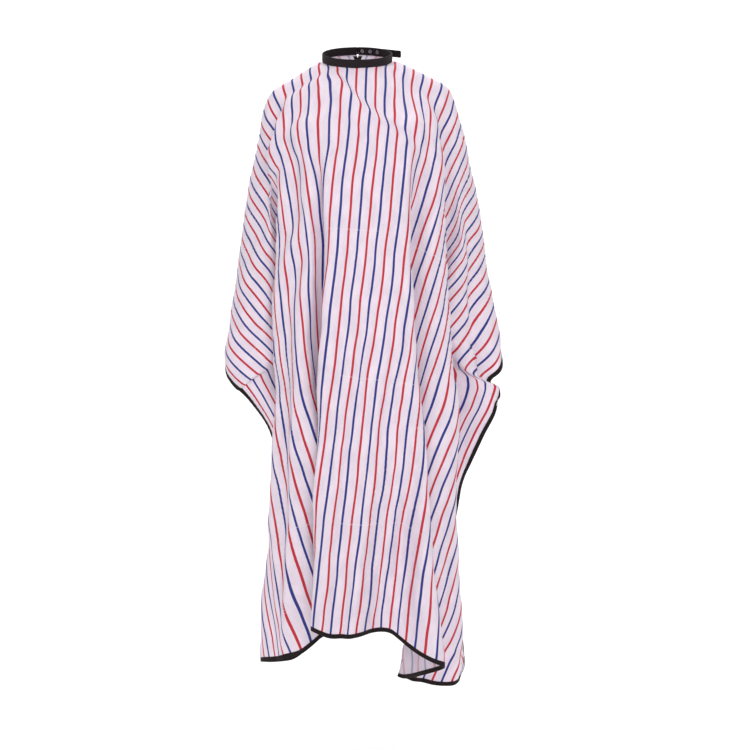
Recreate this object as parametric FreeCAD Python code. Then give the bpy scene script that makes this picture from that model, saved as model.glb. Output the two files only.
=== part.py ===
import FreeCAD, Part
import os, math

V = FreeCAD.Vector

# ---------------------------------------------------------------------------
# Barber cape, drawn as it hangs from a neck. Millimetres, +Z up.
# Origin: centre of the neck opening. +X is the wearer's left, -Y the front.
# ---------------------------------------------------------------------------

# sheet (flat sizes of the cut cloth)
SHEET_WIDTH = 1400.0          # side edge to side edge
SHEET_LENGTH = 1600.0         # back edge to front edge
SHEET_BACK = 290.0            # neck centre to back edge
SHEET_CORNER_R = 120.0        # rounded corners
CLOTH_T = 1.2                 # thickness of the cloth solid
TAPE_WIDTH = 9.0              # visible width of the edge tape
TAPE_T = 0.7                  # one layer of edge tape
TAPE_LIP = 0.8                # tape beyond the cloth's edge

# neck ring
NECK_TILT = 23.0              # degrees, front of the ring is lower
BAND_R_IN = 76.0              # inner wall of the neck band
BAND_R_OUT = 79.0             # outer wall of the neck band
BAND_H = 18.0                 # height of the neck band
BAND_WALL = 0.8               # each layer of the folded band
BAND_GAP_DEG = 1.7            # half gap between the band's two ends, at the back
SLOT_R_IN = BAND_R_IN + BAND_WALL
SLOT_R_OUT = BAND_R_OUT - BAND_WALL
CLOTH_TUCK_H = -1.0           # how far up inside the band the cloth reaches

# closing strap, outside the band (phi is measured from back centre towards +X)
STRAP_R_IN = 79.6
STRAP_T = 1.6
STRAP_H = 16.0
STRAP_ROOT_PHI = (-17.0, -5.3)
STRAP_PHI = (-4.7, 29.7)
TAIL_PHI = 30.0
TAIL_LEN = 68.0
TAIL_GAP = 0.42
HINGE_PHI = -5.0

# ring snaps
SOCKET_PHI = (8.0, 22.0, 36.0)
STUD_PHI = (8.0, 22.0)
SOCKET_R = 4.4
SOCKET_BORE_R = 2.3
SOCKET_FLANGE_R = 4.8
KNOB_R = 1.8
STUD_FLANGE_R = 3.6
STEM_R = 1.1
CAP_R = 5.0
SNAP_HOLE_R = 4.5             # hole in the band for a socket

# stitches
STITCH_LEN = 3.0
STITCH_PITCH = 4.4
STITCH_W = 0.5
STITCH_T = 0.3

os.makedirs("parts", exist_ok=True)

# Middle surface of the draped cloth. Each row is a line round the neck, from
# the right edge of the back slit, round the front, to the left edge of the
# slit. Rows run from the neck (tucked into the band) down to the outer edge;
# the last row is the edge itself and the one before it is 9 mm inside.
DRAPE = [
 [(2.5,73.6,24.7),(8.8,73.2,24.6),(15.7,72.2,24.1),(22.2,70.7,23.5),(28.1,68.8,22.7),(33.3,66.8,21.8),(37.8,64.6,20.9),(41.9,62.4,20.0),(45.4,60.2,19.0),(48.5,58.0,18.1),(51.3,55.8,17.2),(53.7,53.8,16.3),(55.9,51.7,15.4),(57.9,49.8,14.6),(59.8,47.8,13.8),(61.7,45.6,12.8),(63.9,42.8,11.6),(66.1,39.6,10.3),(68.2,36.2,8.8),(70.1,32.7,7.4),(71.9,29.1,5.8),(73.4,25.3,4.2),(74.7,21.5,2.6),(75.7,17.5,0.9),(76.5,13.6,-0.7),(77.1,9.7,-2.4),(77.4,5.9,-4.0),(77.5,2.1,-5.6),(77.4,-1.6,-7.2),(77.1,-5.1,-8.7),(76.6,-8.5,-10.1),(76.0,-11.8,-11.5),(75.2,-14.9,-12.9),(74.3,-17.9,-14.1),(73.3,-20.7,-15.3),(72.3,-23.4,-16.5),(71.1,-26.0,-17.6),(69.9,-28.4,-18.6),(68.7,-30.7,-19.6),(67.4,-32.9,-20.5),(66.0,-35.0,-21.4),(64.6,-37.0,-22.2),(63.2,-38.9,-23.0),(61.8,-40.7,-23.8),(60.3,-42.4,-24.5),(58.9,-44.1,-25.2),(57.4,-45.6,-25.9),(56.1,-46.9,-26.4),(54.7,-48.2,-27.0),(53.2,-49.5,-27.5),(51.6,-50.9,-28.1),(49.9,-52.2,-28.7),(48.1,-53.6,-29.3),(46.3,-54.8,-29.8),(44.5,-56.0,-30.3),(42.7,-57.2,-30.8),(40.8,-58.3,-31.3),(38.9,-59.4,-31.7),(36.9,-60.4,-32.2),(34.9,-61.4,-32.6),(32.8,-62.3,-33.0),(30.7,-63.1,-33.3),(28.6,-64.0,-33.7),(26.5,-64.7,-34.0),(24.3,-65.4,-34.3),(22.1,-66.0,-34.6),(19.8,-66.6,-34.8),(17.5,-67.1,-35.0),(15.2,-67.6,-35.2),(12.9,-68.0,-35.4),(10.6,-68.3,-35.5),(8.3,-68.6,-35.6),(5.9,-68.8,-35.7),(3.5,-68.9,-35.8),(1.2,-69.0,-35.8),(-1.2,-69.0,-35.8),(-3.5,-68.9,-35.8),(-5.9,-68.8,-35.7),(-8.3,-68.6,-35.6),(-10.6,-68.3,-35.5),(-12.9,-68.0,-35.4),(-15.2,-67.6,-35.2),(-17.5,-67.1,-35.0),(-19.8,-66.6,-34.8),(-22.1,-66.0,-34.6),(-24.3,-65.4,-34.3),(-26.5,-64.7,-34.0),(-28.6,-64.0,-33.7),(-30.7,-63.1,-33.3),(-32.8,-62.3,-33.0),(-34.9,-61.4,-32.6),(-36.9,-60.4,-32.2),(-38.9,-59.4,-31.7),(-40.8,-58.3,-31.3),(-42.7,-57.2,-30.8),(-44.5,-56.0,-30.3),(-46.3,-54.8,-29.8),(-48.1,-53.6,-29.3),(-49.9,-52.2,-28.7),(-51.6,-50.9,-28.1),(-53.2,-49.5,-27.5),(-54.7,-48.2,-27.0),(-56.1,-46.9,-26.4),(-57.4,-45.6,-25.9),(-58.9,-44.1,-25.2),(-60.3,-42.4,-24.5),(-61.8,-40.7,-23.8),(-63.2,-38.9,-23.0),(-64.6,-37.0,-22.2),(-66.0,-35.0,-21.4),(-67.4,-32.9,-20.5),(-68.7,-30.7,-19.6),(-69.9,-28.4,-18.6),(-71.1,-26.0,-17.6),(-72.3,-23.4,-16.5),(-73.3,-20.7,-15.3),(-74.3,-17.9,-14.1),(-75.2,-14.9,-12.9),(-76.0,-11.8,-11.5),(-76.6,-8.5,-10.1),(-77.1,-5.1,-8.7),(-77.4,-1.6,-7.2),(-77.5,2.1,-5.6),(-77.4,5.9,-4.0),(-77.1,9.7,-2.4),(-76.5,13.6,-0.7),(-75.7,17.5,0.9),(-74.7,21.5,2.6),(-73.4,25.3,4.2),(-71.9,29.1,5.8),(-70.1,32.7,7.4),(-68.2,36.2,8.8),(-66.1,39.6,10.3),(-63.9,42.8,11.6),(-61.7,45.6,12.8),(-59.8,47.8,13.8),(-57.9,49.8,14.6),(-55.9,51.7,15.4),(-53.7,53.8,16.3),(-51.3,55.8,17.2),(-48.5,58.0,18.1),(-45.4,60.2,19.0),(-41.9,62.4,20.0),(-37.8,64.6,20.9),(-33.3,66.8,21.8),(-28.1,68.8,22.7),(-22.2,70.7,23.5),(-15.7,72.2,24.1),(-8.8,73.2,24.6),(-2.5,73.6,24.7)],
 [(2.5,74.2,23.4),(8.8,73.8,23.2),(15.7,72.8,22.7),(22.2,71.3,22.1),(28.1,69.4,21.3),(33.3,67.4,20.4),(37.8,65.2,19.5),(41.9,63.0,18.6),(45.4,60.8,17.6),(48.5,58.6,16.7),(51.3,56.4,15.8),(53.7,54.3,14.9),(55.9,52.3,14.1),(57.9,50.3,13.2),(59.8,48.4,12.4),(61.7,46.1,11.4),(63.9,43.4,10.3),(66.1,40.2,8.9),(68.2,36.8,7.5),(70.1,33.3,6.0),(71.9,29.6,4.4),(73.4,25.9,2.8),(74.7,22.0,1.2),(75.7,18.1,-0.4),(76.5,14.2,-2.1),(77.1,10.3,-3.8),(77.4,6.5,-5.4),(77.5,2.7,-7.0),(77.4,-1.0,-8.6),(77.1,-4.5,-10.1),(76.6,-7.9,-11.5),(76.0,-11.2,-12.9),(75.2,-14.3,-14.2),(74.3,-17.3,-15.5),(73.3,-20.2,-16.7),(72.3,-22.9,-17.8),(71.1,-25.4,-18.9),(69.9,-27.8,-20.0),(68.7,-30.2,-20.9),(67.4,-32.4,-21.9),(66.0,-34.4,-22.8),(64.6,-36.4,-23.6),(63.2,-38.3,-24.4),(61.8,-40.1,-25.2),(60.3,-41.8,-25.9),(58.9,-43.5,-26.6),(57.4,-45.0,-27.3),(56.1,-46.3,-27.8),(54.7,-47.6,-28.3),(53.2,-48.9,-28.9),(51.6,-50.3,-29.5),(49.9,-51.6,-30.1),(48.1,-53.0,-30.6),(46.3,-54.3,-31.2),(44.5,-55.5,-31.7),(42.7,-56.6,-32.2),(40.8,-57.7,-32.6),(38.9,-58.8,-33.1),(36.9,-59.8,-33.5),(34.9,-60.8,-33.9),(32.8,-61.7,-34.3),(30.7,-62.6,-34.7),(28.6,-63.4,-35.0),(26.5,-64.1,-35.4),(24.3,-64.8,-35.7),(22.1,-65.5,-35.9),(19.8,-66.0,-36.2),(17.5,-66.6,-36.4),(15.2,-67.0,-36.6),(12.9,-67.4,-36.8),(10.6,-67.7,-36.9),(8.3,-68.0,-37.0),(5.9,-68.2,-37.1),(3.5,-68.3,-37.2),(1.2,-68.4,-37.2),(-1.2,-68.4,-37.2),(-3.5,-68.3,-37.2),(-5.9,-68.2,-37.1),(-8.3,-68.0,-37.0),(-10.6,-67.7,-36.9),(-12.9,-67.4,-36.8),(-15.2,-67.0,-36.6),(-17.5,-66.6,-36.4),(-19.8,-66.0,-36.2),(-22.1,-65.5,-35.9),(-24.3,-64.8,-35.7),(-26.5,-64.1,-35.4),(-28.6,-63.4,-35.0),(-30.7,-62.6,-34.7),(-32.8,-61.7,-34.3),(-34.9,-60.8,-33.9),(-36.9,-59.8,-33.5),(-38.9,-58.8,-33.1),(-40.8,-57.7,-32.6),(-42.7,-56.6,-32.2),(-44.5,-55.5,-31.7),(-46.3,-54.3,-31.2),(-48.1,-53.0,-30.6),(-49.9,-51.6,-30.1),(-51.6,-50.3,-29.5),(-53.2,-48.9,-28.9),(-54.7,-47.6,-28.3),(-56.1,-46.3,-27.8),(-57.4,-45.0,-27.3),(-58.9,-43.5,-26.6),(-60.3,-41.8,-25.9),(-61.8,-40.1,-25.2),(-63.2,-38.3,-24.4),(-64.6,-36.4,-23.6),(-66.0,-34.4,-22.8),(-67.4,-32.4,-21.9),(-68.7,-30.2,-20.9),(-69.9,-27.8,-20.0),(-71.1,-25.4,-18.9),(-72.3,-22.9,-17.8),(-73.3,-20.2,-16.7),(-74.3,-17.3,-15.5),(-75.2,-14.3,-14.2),(-76.0,-11.2,-12.9),(-76.6,-7.9,-11.5),(-77.1,-4.5,-10.1),(-77.4,-1.0,-8.6),(-77.5,2.7,-7.0),(-77.4,6.5,-5.4),(-77.1,10.3,-3.8),(-76.5,14.2,-2.1),(-75.7,18.1,-0.4),(-74.7,22.0,1.2),(-73.4,25.9,2.8),(-71.9,29.6,4.4),(-70.1,33.3,6.0),(-68.2,36.8,7.5),(-66.1,40.2,8.9),(-63.9,43.4,10.3),(-61.7,46.1,11.4),(-59.8,48.4,12.4),(-57.9,50.3,13.2),(-55.9,52.3,14.1),(-53.7,54.3,14.9),(-51.3,56.4,15.8),(-48.5,58.6,16.7),(-45.4,60.8,17.6),(-41.9,63.0,18.6),(-37.8,65.2,19.5),(-33.3,67.4,20.4),(-28.1,69.4,21.3),(-22.2,71.3,22.1),(-15.7,72.8,22.7),(-8.8,73.8,23.2),(-2.5,74.2,23.4)],
 [(2.5,75.0,21.5),(8.8,74.6,21.3),(15.7,73.6,20.9),(22.2,72.1,20.3),(28.1,70.2,19.5),(33.3,68.1,18.6),(37.8,66.0,17.7),(41.9,63.7,16.7),(45.4,61.5,15.8),(48.5,59.3,14.9),(51.3,57.2,14.0),(53.7,55.1,13.1),(55.9,53.1,12.2),(57.9,51.1,11.4),(59.8,49.1,10.5),(61.7,46.9,9.6),(63.9,44.1,8.4),(66.1,40.9,7.1),(68.2,37.5,5.6),(70.1,34.1,4.1),(71.9,30.4,2.6),(73.4,26.7,1.0),(74.7,22.8,-0.6),(75.7,18.9,-2.3),(76.5,15.0,-4.0),(77.1,11.1,-5.6),(77.4,7.2,-7.2),(77.5,3.5,-8.9),(77.4,-0.2,-10.4),(77.1,-3.8,-11.9),(76.6,-7.2,-13.4),(76.0,-10.4,-14.8),(75.2,-13.6,-16.1),(74.3,-16.5,-17.3),(73.3,-19.4,-18.5),(72.3,-22.1,-19.7),(71.1,-24.6,-20.8),(69.9,-27.1,-21.8),(68.7,-29.4,-22.8),(67.4,-31.6,-23.7),(66.0,-33.7,-24.6),(64.6,-35.6,-25.5),(63.2,-37.5,-26.3),(61.8,-39.3,-27.0),(60.3,-41.1,-27.7),(58.9,-42.7,-28.4),(57.4,-44.2,-29.1),(56.1,-45.5,-29.6),(54.7,-46.8,-30.2),(53.2,-48.1,-30.8),(51.6,-49.5,-31.3),(49.9,-50.9,-31.9),(48.1,-52.2,-32.5),(46.3,-53.5,-33.0),(44.5,-54.7,-33.5),(42.7,-55.8,-34.0),(40.8,-56.9,-34.5),(38.9,-58.0,-34.9),(36.9,-59.0,-35.4),(34.9,-60.0,-35.8),(32.8,-60.9,-36.2),(30.7,-61.8,-36.5),(28.6,-62.6,-36.9),(26.5,-63.3,-37.2),(24.3,-64.0,-37.5),(22.1,-64.7,-37.8),(19.8,-65.3,-38.0),(17.5,-65.8,-38.2),(15.2,-66.2,-38.4),(12.9,-66.6,-38.6),(10.6,-67.0,-38.7),(8.3,-67.2,-38.9),(5.9,-67.4,-38.9),(3.5,-67.6,-39.0),(1.2,-67.6,-39.0),(-1.2,-67.6,-39.0),(-3.5,-67.6,-39.0),(-5.9,-67.4,-38.9),(-8.3,-67.2,-38.9),(-10.6,-67.0,-38.7),(-12.9,-66.6,-38.6),(-15.2,-66.2,-38.4),(-17.5,-65.8,-38.2),(-19.8,-65.3,-38.0),(-22.1,-64.7,-37.8),(-24.3,-64.0,-37.5),(-26.5,-63.3,-37.2),(-28.6,-62.6,-36.9),(-30.7,-61.8,-36.5),(-32.8,-60.9,-36.2),(-34.9,-60.0,-35.8),(-36.9,-59.0,-35.4),(-38.9,-58.0,-34.9),(-40.8,-56.9,-34.5),(-42.7,-55.8,-34.0),(-44.5,-54.7,-33.5),(-46.3,-53.5,-33.0),(-48.1,-52.2,-32.5),(-49.9,-50.9,-31.9),(-51.6,-49.5,-31.3),(-53.2,-48.1,-30.8),(-54.7,-46.8,-30.2),(-56.1,-45.5,-29.6),(-57.4,-44.2,-29.1),(-58.9,-42.7,-28.4),(-60.3,-41.1,-27.7),(-61.8,-39.3,-27.0),(-63.2,-37.5,-26.3),(-64.6,-35.6,-25.5),(-66.0,-33.7,-24.6),(-67.4,-31.6,-23.7),(-68.7,-29.4,-22.8),(-69.9,-27.1,-21.8),(-71.1,-24.6,-20.8),(-72.3,-22.1,-19.7),(-73.3,-19.4,-18.5),(-74.3,-16.5,-17.3),(-75.2,-13.6,-16.1),(-76.0,-10.4,-14.8),(-76.6,-7.2,-13.4),(-77.1,-3.8,-11.9),(-77.4,-0.2,-10.4),(-77.5,3.5,-8.9),(-77.4,7.2,-7.2),(-77.1,11.1,-5.6),(-76.5,15.0,-4.0),(-75.7,18.9,-2.3),(-74.7,22.8,-0.6),(-73.4,26.7,1.0),(-71.9,30.4,2.6),(-70.1,34.1,4.1),(-68.2,37.5,5.6),(-66.1,40.9,7.1),(-63.9,44.1,8.4),(-61.7,46.9,9.6),(-59.8,49.1,10.5),(-57.9,51.1,11.4),(-55.9,53.1,12.2),(-53.7,55.1,13.1),(-51.3,57.2,14.0),(-48.5,59.3,14.9),(-45.4,61.5,15.8),(-41.9,63.7,16.7),(-37.8,66.0,17.7),(-33.3,68.1,18.6),(-28.1,70.2,19.5),(-22.2,72.1,20.3),(-15.7,73.6,20.9),(-8.8,74.6,21.3),(-2.5,75.0,21.5)],
 [(2.5,76.0,19.2),(8.8,75.6,19.0),(15.7,74.5,18.6),(22.2,73.0,18.0),(28.1,71.2,17.2),(33.3,69.1,16.3),(37.8,66.9,15.4),(41.9,64.7,14.4),(45.4,62.5,13.5),(48.5,60.3,12.6),(51.3,58.2,11.7),(53.7,56.1,10.8),(55.9,54.1,9.9),(57.9,52.1,9.1),(59.8,50.1,8.2),(61.7,47.9,7.3),(63.9,45.1,6.1),(66.1,41.9,4.8),(68.2,38.5,3.3),(70.1,35.0,1.8),(71.9,31.4,0.3),(73.4,27.6,-1.3),(74.7,23.8,-2.9),(75.7,19.9,-4.6),(76.5,16.0,-6.3),(77.1,12.1,-7.9),(77.4,8.2,-9.5),(77.5,4.4,-11.2),(77.4,0.8,-12.7),(77.1,-2.8,-14.2),(76.6,-6.2,-15.7),(76.0,-9.5,-17.1),(75.2,-12.6,-18.4),(74.3,-15.6,-19.6),(73.3,-18.4,-20.8),(72.3,-21.1,-22.0),(71.1,-23.7,-23.1),(69.9,-26.1,-24.1),(68.7,-28.4,-25.1),(67.4,-30.6,-26.0),(66.0,-32.7,-26.9),(64.6,-34.7,-27.8),(63.2,-36.6,-28.6),(61.8,-38.4,-29.3),(60.3,-40.1,-30.0),(58.9,-41.7,-30.7),(57.4,-43.3,-31.4),(56.1,-44.5,-31.9),(54.7,-45.8,-32.5),(53.2,-47.2,-33.1),(51.6,-48.5,-33.6),(49.9,-49.9,-34.2),(48.1,-51.2,-34.8),(46.3,-52.5,-35.3),(44.5,-53.7,-35.8),(42.7,-54.9,-36.3),(40.8,-56.0,-36.8),(38.9,-57.0,-37.2),(36.9,-58.0,-37.7),(34.9,-59.0,-38.1),(32.8,-59.9,-38.5),(30.7,-60.8,-38.8),(28.6,-61.6,-39.2),(26.5,-62.4,-39.5),(24.3,-63.1,-39.8),(22.1,-63.7,-40.1),(19.8,-64.3,-40.3),(17.5,-64.8,-40.5),(15.2,-65.3,-40.7),(12.9,-65.7,-40.9),(10.6,-66.0,-41.0),(8.3,-66.2,-41.2),(5.9,-66.4,-41.2),(3.5,-66.6,-41.3),(1.2,-66.6,-41.3),(-1.2,-66.6,-41.3),(-3.5,-66.6,-41.3),(-5.9,-66.4,-41.2),(-8.3,-66.2,-41.2),(-10.6,-66.0,-41.0),(-12.9,-65.7,-40.9),(-15.2,-65.3,-40.7),(-17.5,-64.8,-40.5),(-19.8,-64.3,-40.3),(-22.1,-63.7,-40.1),(-24.3,-63.1,-39.8),(-26.5,-62.4,-39.5),(-28.6,-61.6,-39.2),(-30.7,-60.8,-38.8),(-32.8,-59.9,-38.5),(-34.9,-59.0,-38.1),(-36.9,-58.0,-37.7),(-38.9,-57.0,-37.2),(-40.8,-56.0,-36.8),(-42.7,-54.9,-36.3),(-44.5,-53.7,-35.8),(-46.3,-52.5,-35.3),(-48.1,-51.2,-34.8),(-49.9,-49.9,-34.2),(-51.6,-48.5,-33.6),(-53.2,-47.2,-33.1),(-54.7,-45.8,-32.5),(-56.1,-44.5,-31.9),(-57.4,-43.3,-31.4),(-58.9,-41.7,-30.7),(-60.3,-40.1,-30.0),(-61.8,-38.4,-29.3),(-63.2,-36.6,-28.6),(-64.6,-34.7,-27.8),(-66.0,-32.7,-26.9),(-67.4,-30.6,-26.0),(-68.7,-28.4,-25.1),(-69.9,-26.1,-24.1),(-71.1,-23.7,-23.1),(-72.3,-21.1,-22.0),(-73.3,-18.4,-20.8),(-74.3,-15.6,-19.6),(-75.2,-12.6,-18.4),(-76.0,-9.5,-17.1),(-76.6,-6.2,-15.7),(-77.1,-2.8,-14.2),(-77.4,0.8,-12.7),(-77.5,4.4,-11.2),(-77.4,8.2,-9.5),(-77.1,12.1,-7.9),(-76.5,16.0,-6.3),(-75.7,19.9,-4.6),(-74.7,23.8,-2.9),(-73.4,27.6,-1.3),(-71.9,31.4,0.3),(-70.1,35.0,1.8),(-68.2,38.5,3.3),(-66.1,41.9,4.8),(-63.9,45.1,6.1),(-61.7,47.9,7.3),(-59.8,50.1,8.2),(-57.9,52.1,9.1),(-55.9,54.1,9.9),(-53.7,56.1,10.8),(-51.3,58.2,11.7),(-48.5,60.3,12.6),(-45.4,62.5,13.5),(-41.9,64.7,14.4),(-37.8,66.9,15.4),(-33.3,69.1,16.3),(-28.1,71.2,17.2),(-22.2,73.0,18.0),(-15.7,74.5,18.6),(-8.8,75.6,19.0),(-2.5,76.0,19.2)],
 [(12,74,16),(16,73,14),(21,71,12),(26,70,12),(30,69,12),(34,68,12),(39,68,12),(43,66,10),(47,64,8),(50,62,7),(53,59,6),(56,57,5),(59,56,5),(62,55,5),(64,53,4),(66,51,2),(69,48,1),(72,45,0),(74,41,-1),(76,37,-3),(78,33,-4),(80,28,-6),(81,24,-6),(83,20,-8),(83,15,-10),(84,11,-12),(85,6,-12),(85,2,-13),(85,-3,-15),(85,-7,-17),(84,-11,-18),(84,-14,-20),(83,-18,-22),(82,-21,-24),(81,-24,-26),(80,-27,-27),(79,-30,-29),(77,-32,-31),(76,-34,-33),(74,-36,-35),(73,-39,-37),(71,-41,-38),(70,-43,-39),(69,-45,-41),(67,-47,-43),(66,-48,-45),(65,-50,-46),(63,-51,-47),(62,-53,-47),(60,-54,-48),(59,-55,-49),(57,-57,-49),(55,-58,-49),(53,-59,-50),(50,-61,-50),(48,-62,-51),(46,-63,-51),(44,-64,-52),(42,-65,-52),(39,-66,-52),(37,-67,-52),(35,-68,-52),(32,-69,-53),(30,-70,-53),(27,-70,-53),(25,-71,-54),(22,-72,-54),(19,-72,-54),(17,-73,-54),(14,-73,-54),(11,-73,-54),(9,-74,-54),(6,-74,-54),(3,-74,-55),(1,-74,-55),(-2,-74,-55),(-5,-74,-55),(-7,-74,-55),(-10,-74,-54),(-13,-73,-54),(-15,-73,-54),(-18,-72,-54),(-21,-72,-54),(-23,-71,-54),(-26,-71,-54),(-28,-70,-53),(-31,-69,-53),(-33,-69,-53),(-36,-68,-53),(-38,-67,-52),(-40,-66,-52),(-43,-65,-52),(-45,-64,-52),(-47,-63,-51),(-49,-62,-51),(-52,-60,-50),(-54,-59,-50),(-56,-58,-49),(-58,-57,-49),(-60,-55,-48),(-62,-54,-48),(-64,-53,-47),(-65,-52,-46),(-66,-51,-45),(-67,-49,-44),(-68,-47,-43),(-69,-44,-41),(-70,-42,-40),(-71,-40,-39),(-73,-37,-37),(-74,-35,-36),(-75,-33,-34),(-77,-31,-32),(-79,-29,-30),(-80,-26,-28),(-81,-23,-27),(-82,-20,-25),(-83,-16,-23),(-84,-13,-21),(-84,-9,-20),(-85,-6,-18),(-85,-2,-16),(-85,3,-15),(-84,7,-14),(-83,12,-13),(-82,16,-12),(-81,20,-10),(-80,25,-8),(-79,29,-6),(-77,34,-5),(-75,38,-3),(-74,42,-2),(-69,43,-2),(-66,46,-1),(-63,49,0),(-61,52,1),(-59,54,3),(-58,56,4),(-56,58,6),(-53,60,7),(-50,62,8),(-46,64,9),(-43,67,11),(-38,69,12),(-34,68,13),(-30,69,13),(-26,71,13),(-21,72,13),(-16,74,14),(-12,75,17)],
 [(10,73,14),(15,72,10),(20,71,8),(25,69,8),(30,68,7),(35,69,7),(40,71,6),(45,68,4),(49,66,2),(52,63,1),(55,61,-1),(58,58,-2),(62,58,-2),(66,58,-3),(70,57,-3),(73,56,-4),(76,52,-6),(80,48,-7),(83,44,-8),(85,39,-9),(88,34,-10),(90,29,-10),(92,24,-11),(93,19,-13),(94,14,-14),(96,8,-14),(96,3,-15),(97,-3,-17),(97,-8,-19),(97,-13,-20),(96,-17,-23),(95,-21,-26),(94,-25,-29),(93,-28,-32),(92,-32,-34),(90,-34,-38),(89,-37,-41),(87,-39,-44),(85,-41,-47),(84,-44,-50),(83,-46,-53),(82,-49,-56),(81,-51,-59),(80,-53,-62),(79,-55,-64),(77,-58,-66),(76,-60,-68),(75,-62,-69),(73,-63,-70),(72,-65,-71),(70,-67,-71),(68,-68,-72),(65,-70,-73),(62,-71,-73),(60,-73,-73),(57,-74,-73),(54,-75,-73),(52,-76,-73),(49,-77,-73),(46,-78,-74),(43,-79,-74),(40,-80,-74),(38,-81,-74),(35,-82,-74),(32,-82,-74),(29,-83,-74),(26,-84,-74),(22,-84,-75),(19,-85,-75),(16,-85,-75),(13,-85,-75),(10,-86,-75),(7,-86,-75),(3,-86,-75),(0,-86,-75),(-3,-86,-75),(-6,-86,-75),(-9,-86,-75),(-12,-86,-75),(-15,-85,-75),(-19,-85,-75),(-22,-84,-75),(-25,-84,-75),(-28,-83,-74),(-31,-83,-74),(-34,-82,-74),(-37,-81,-74),(-40,-80,-74),(-43,-79,-74),(-46,-78,-74),(-49,-77,-73),(-51,-76,-73),(-54,-75,-73),(-57,-74,-73),(-60,-73,-73),(-62,-72,-73),(-65,-70,-73),(-68,-69,-73),(-70,-67,-72),(-72,-66,-71),(-75,-64,-70),(-76,-63,-69),(-78,-62,-68),(-79,-61,-66),(-81,-59,-64),(-82,-57,-62),(-83,-55,-60),(-84,-52,-57),(-84,-49,-55),(-85,-46,-53),(-85,-42,-51),(-85,-39,-48),(-87,-36,-45),(-89,-34,-43),(-90,-32,-39),(-92,-29,-36),(-93,-26,-34),(-94,-22,-31),(-95,-18,-28),(-96,-14,-26),(-96,-10,-23),(-96,-5,-21),(-96,0,-20),(-95,5,-18),(-94,11,-18),(-92,16,-17),(-90,21,-17),(-89,26,-15),(-87,32,-13),(-85,37,-12),(-84,41,-10),(-80,45,-10),(-75,47,-11),(-70,48,-12),(-67,52,-10),(-64,54,-8),(-62,57,-6),(-61,59,-4),(-59,62,-2),(-56,64,0),(-52,65,2),(-48,67,4),(-44,70,6),(-40,72,8),(-35,70,8),(-30,69,9),(-26,70,9),(-21,72,9),(-15,74,12),(-10,76,15)],
 [(8,72,11),(13,71,7),(19,69,3),(25,68,2),(31,67,1),(36,70,0),(42,73,-1),(47,71,-3),(51,68,-6),(55,65,-9),(59,62,-11),(63,61,-12),(67,60,-13),(72,60,-14),(76,60,-15),(81,59,-16),(86,59,-16),(91,54,-18),(94,49,-18),(98,43,-18),(100,37,-18),(103,31,-19),(106,25,-18),(108,19,-19),(109,12,-19),(111,6,-19),(112,-1,-21),(112,-7,-24),(112,-13,-26),(112,-18,-29),(111,-22,-33),(110,-27,-37),(108,-31,-42),(106,-33,-47),(105,-36,-51),(103,-39,-56),(102,-42,-60),(101,-45,-65),(100,-48,-69),(99,-51,-73),(98,-54,-77),(97,-57,-81),(96,-60,-85),(95,-64,-88),(93,-67,-91),(92,-69,-94),(91,-72,-97),(90,-74,-99),(89,-76,-101),(87,-78,-102),(84,-80,-104),(82,-81,-105),(79,-83,-105),(75,-85,-105),(72,-86,-105),(69,-87,-105),(66,-89,-105),(62,-90,-105),(59,-91,-104),(55,-92,-104),(52,-93,-104),(48,-94,-104),(45,-95,-104),(41,-96,-104),(38,-97,-104),(34,-97,-104),(30,-98,-104),(27,-98,-104),(23,-99,-104),(19,-99,-104),(15,-100,-104),(11,-100,-103),(8,-100,-103),(4,-100,-104),(0,-100,-104),(-4,-100,-104),(-8,-100,-104),(-11,-100,-103),(-15,-100,-103),(-19,-99,-103),(-23,-99,-104),(-27,-98,-104),(-30,-98,-104),(-34,-97,-103),(-38,-97,-103),(-42,-96,-104),(-45,-95,-104),(-49,-94,-104),(-52,-93,-104),(-56,-92,-104),(-59,-91,-104),(-63,-90,-104),(-66,-88,-104),(-69,-87,-105),(-72,-86,-105),(-76,-84,-105),(-79,-83,-105),(-82,-81,-105),(-85,-79,-105),(-88,-77,-104),(-90,-75,-102),(-92,-73,-101),(-93,-71,-99),(-94,-69,-97),(-95,-67,-94),(-97,-65,-90),(-98,-62,-87),(-99,-59,-84),(-100,-57,-79),(-101,-55,-75),(-102,-53,-71),(-102,-49,-67),(-102,-44,-64),(-102,-40,-61),(-102,-36,-58),(-104,-33,-53),(-106,-30,-49),(-108,-27,-44),(-109,-23,-40),(-110,-18,-37),(-111,-14,-33),(-111,-8,-30),(-110,-2,-28),(-110,4,-26),(-109,10,-24),(-106,16,-25),(-104,23,-25),(-101,29,-24),(-98,35,-24),(-96,41,-23),(-94,47,-21),(-88,48,-24),(-82,50,-25),(-76,52,-25),(-71,54,-24),(-69,58,-21),(-67,61,-18),(-65,64,-15),(-63,66,-12),(-59,68,-9),(-55,70,-7),(-51,72,-4),(-46,74,0),(-41,75,2),(-36,72,2),(-31,69,3),(-25,70,3),(-20,72,5),(-13,74,9),(-8,76,13)],
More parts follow.
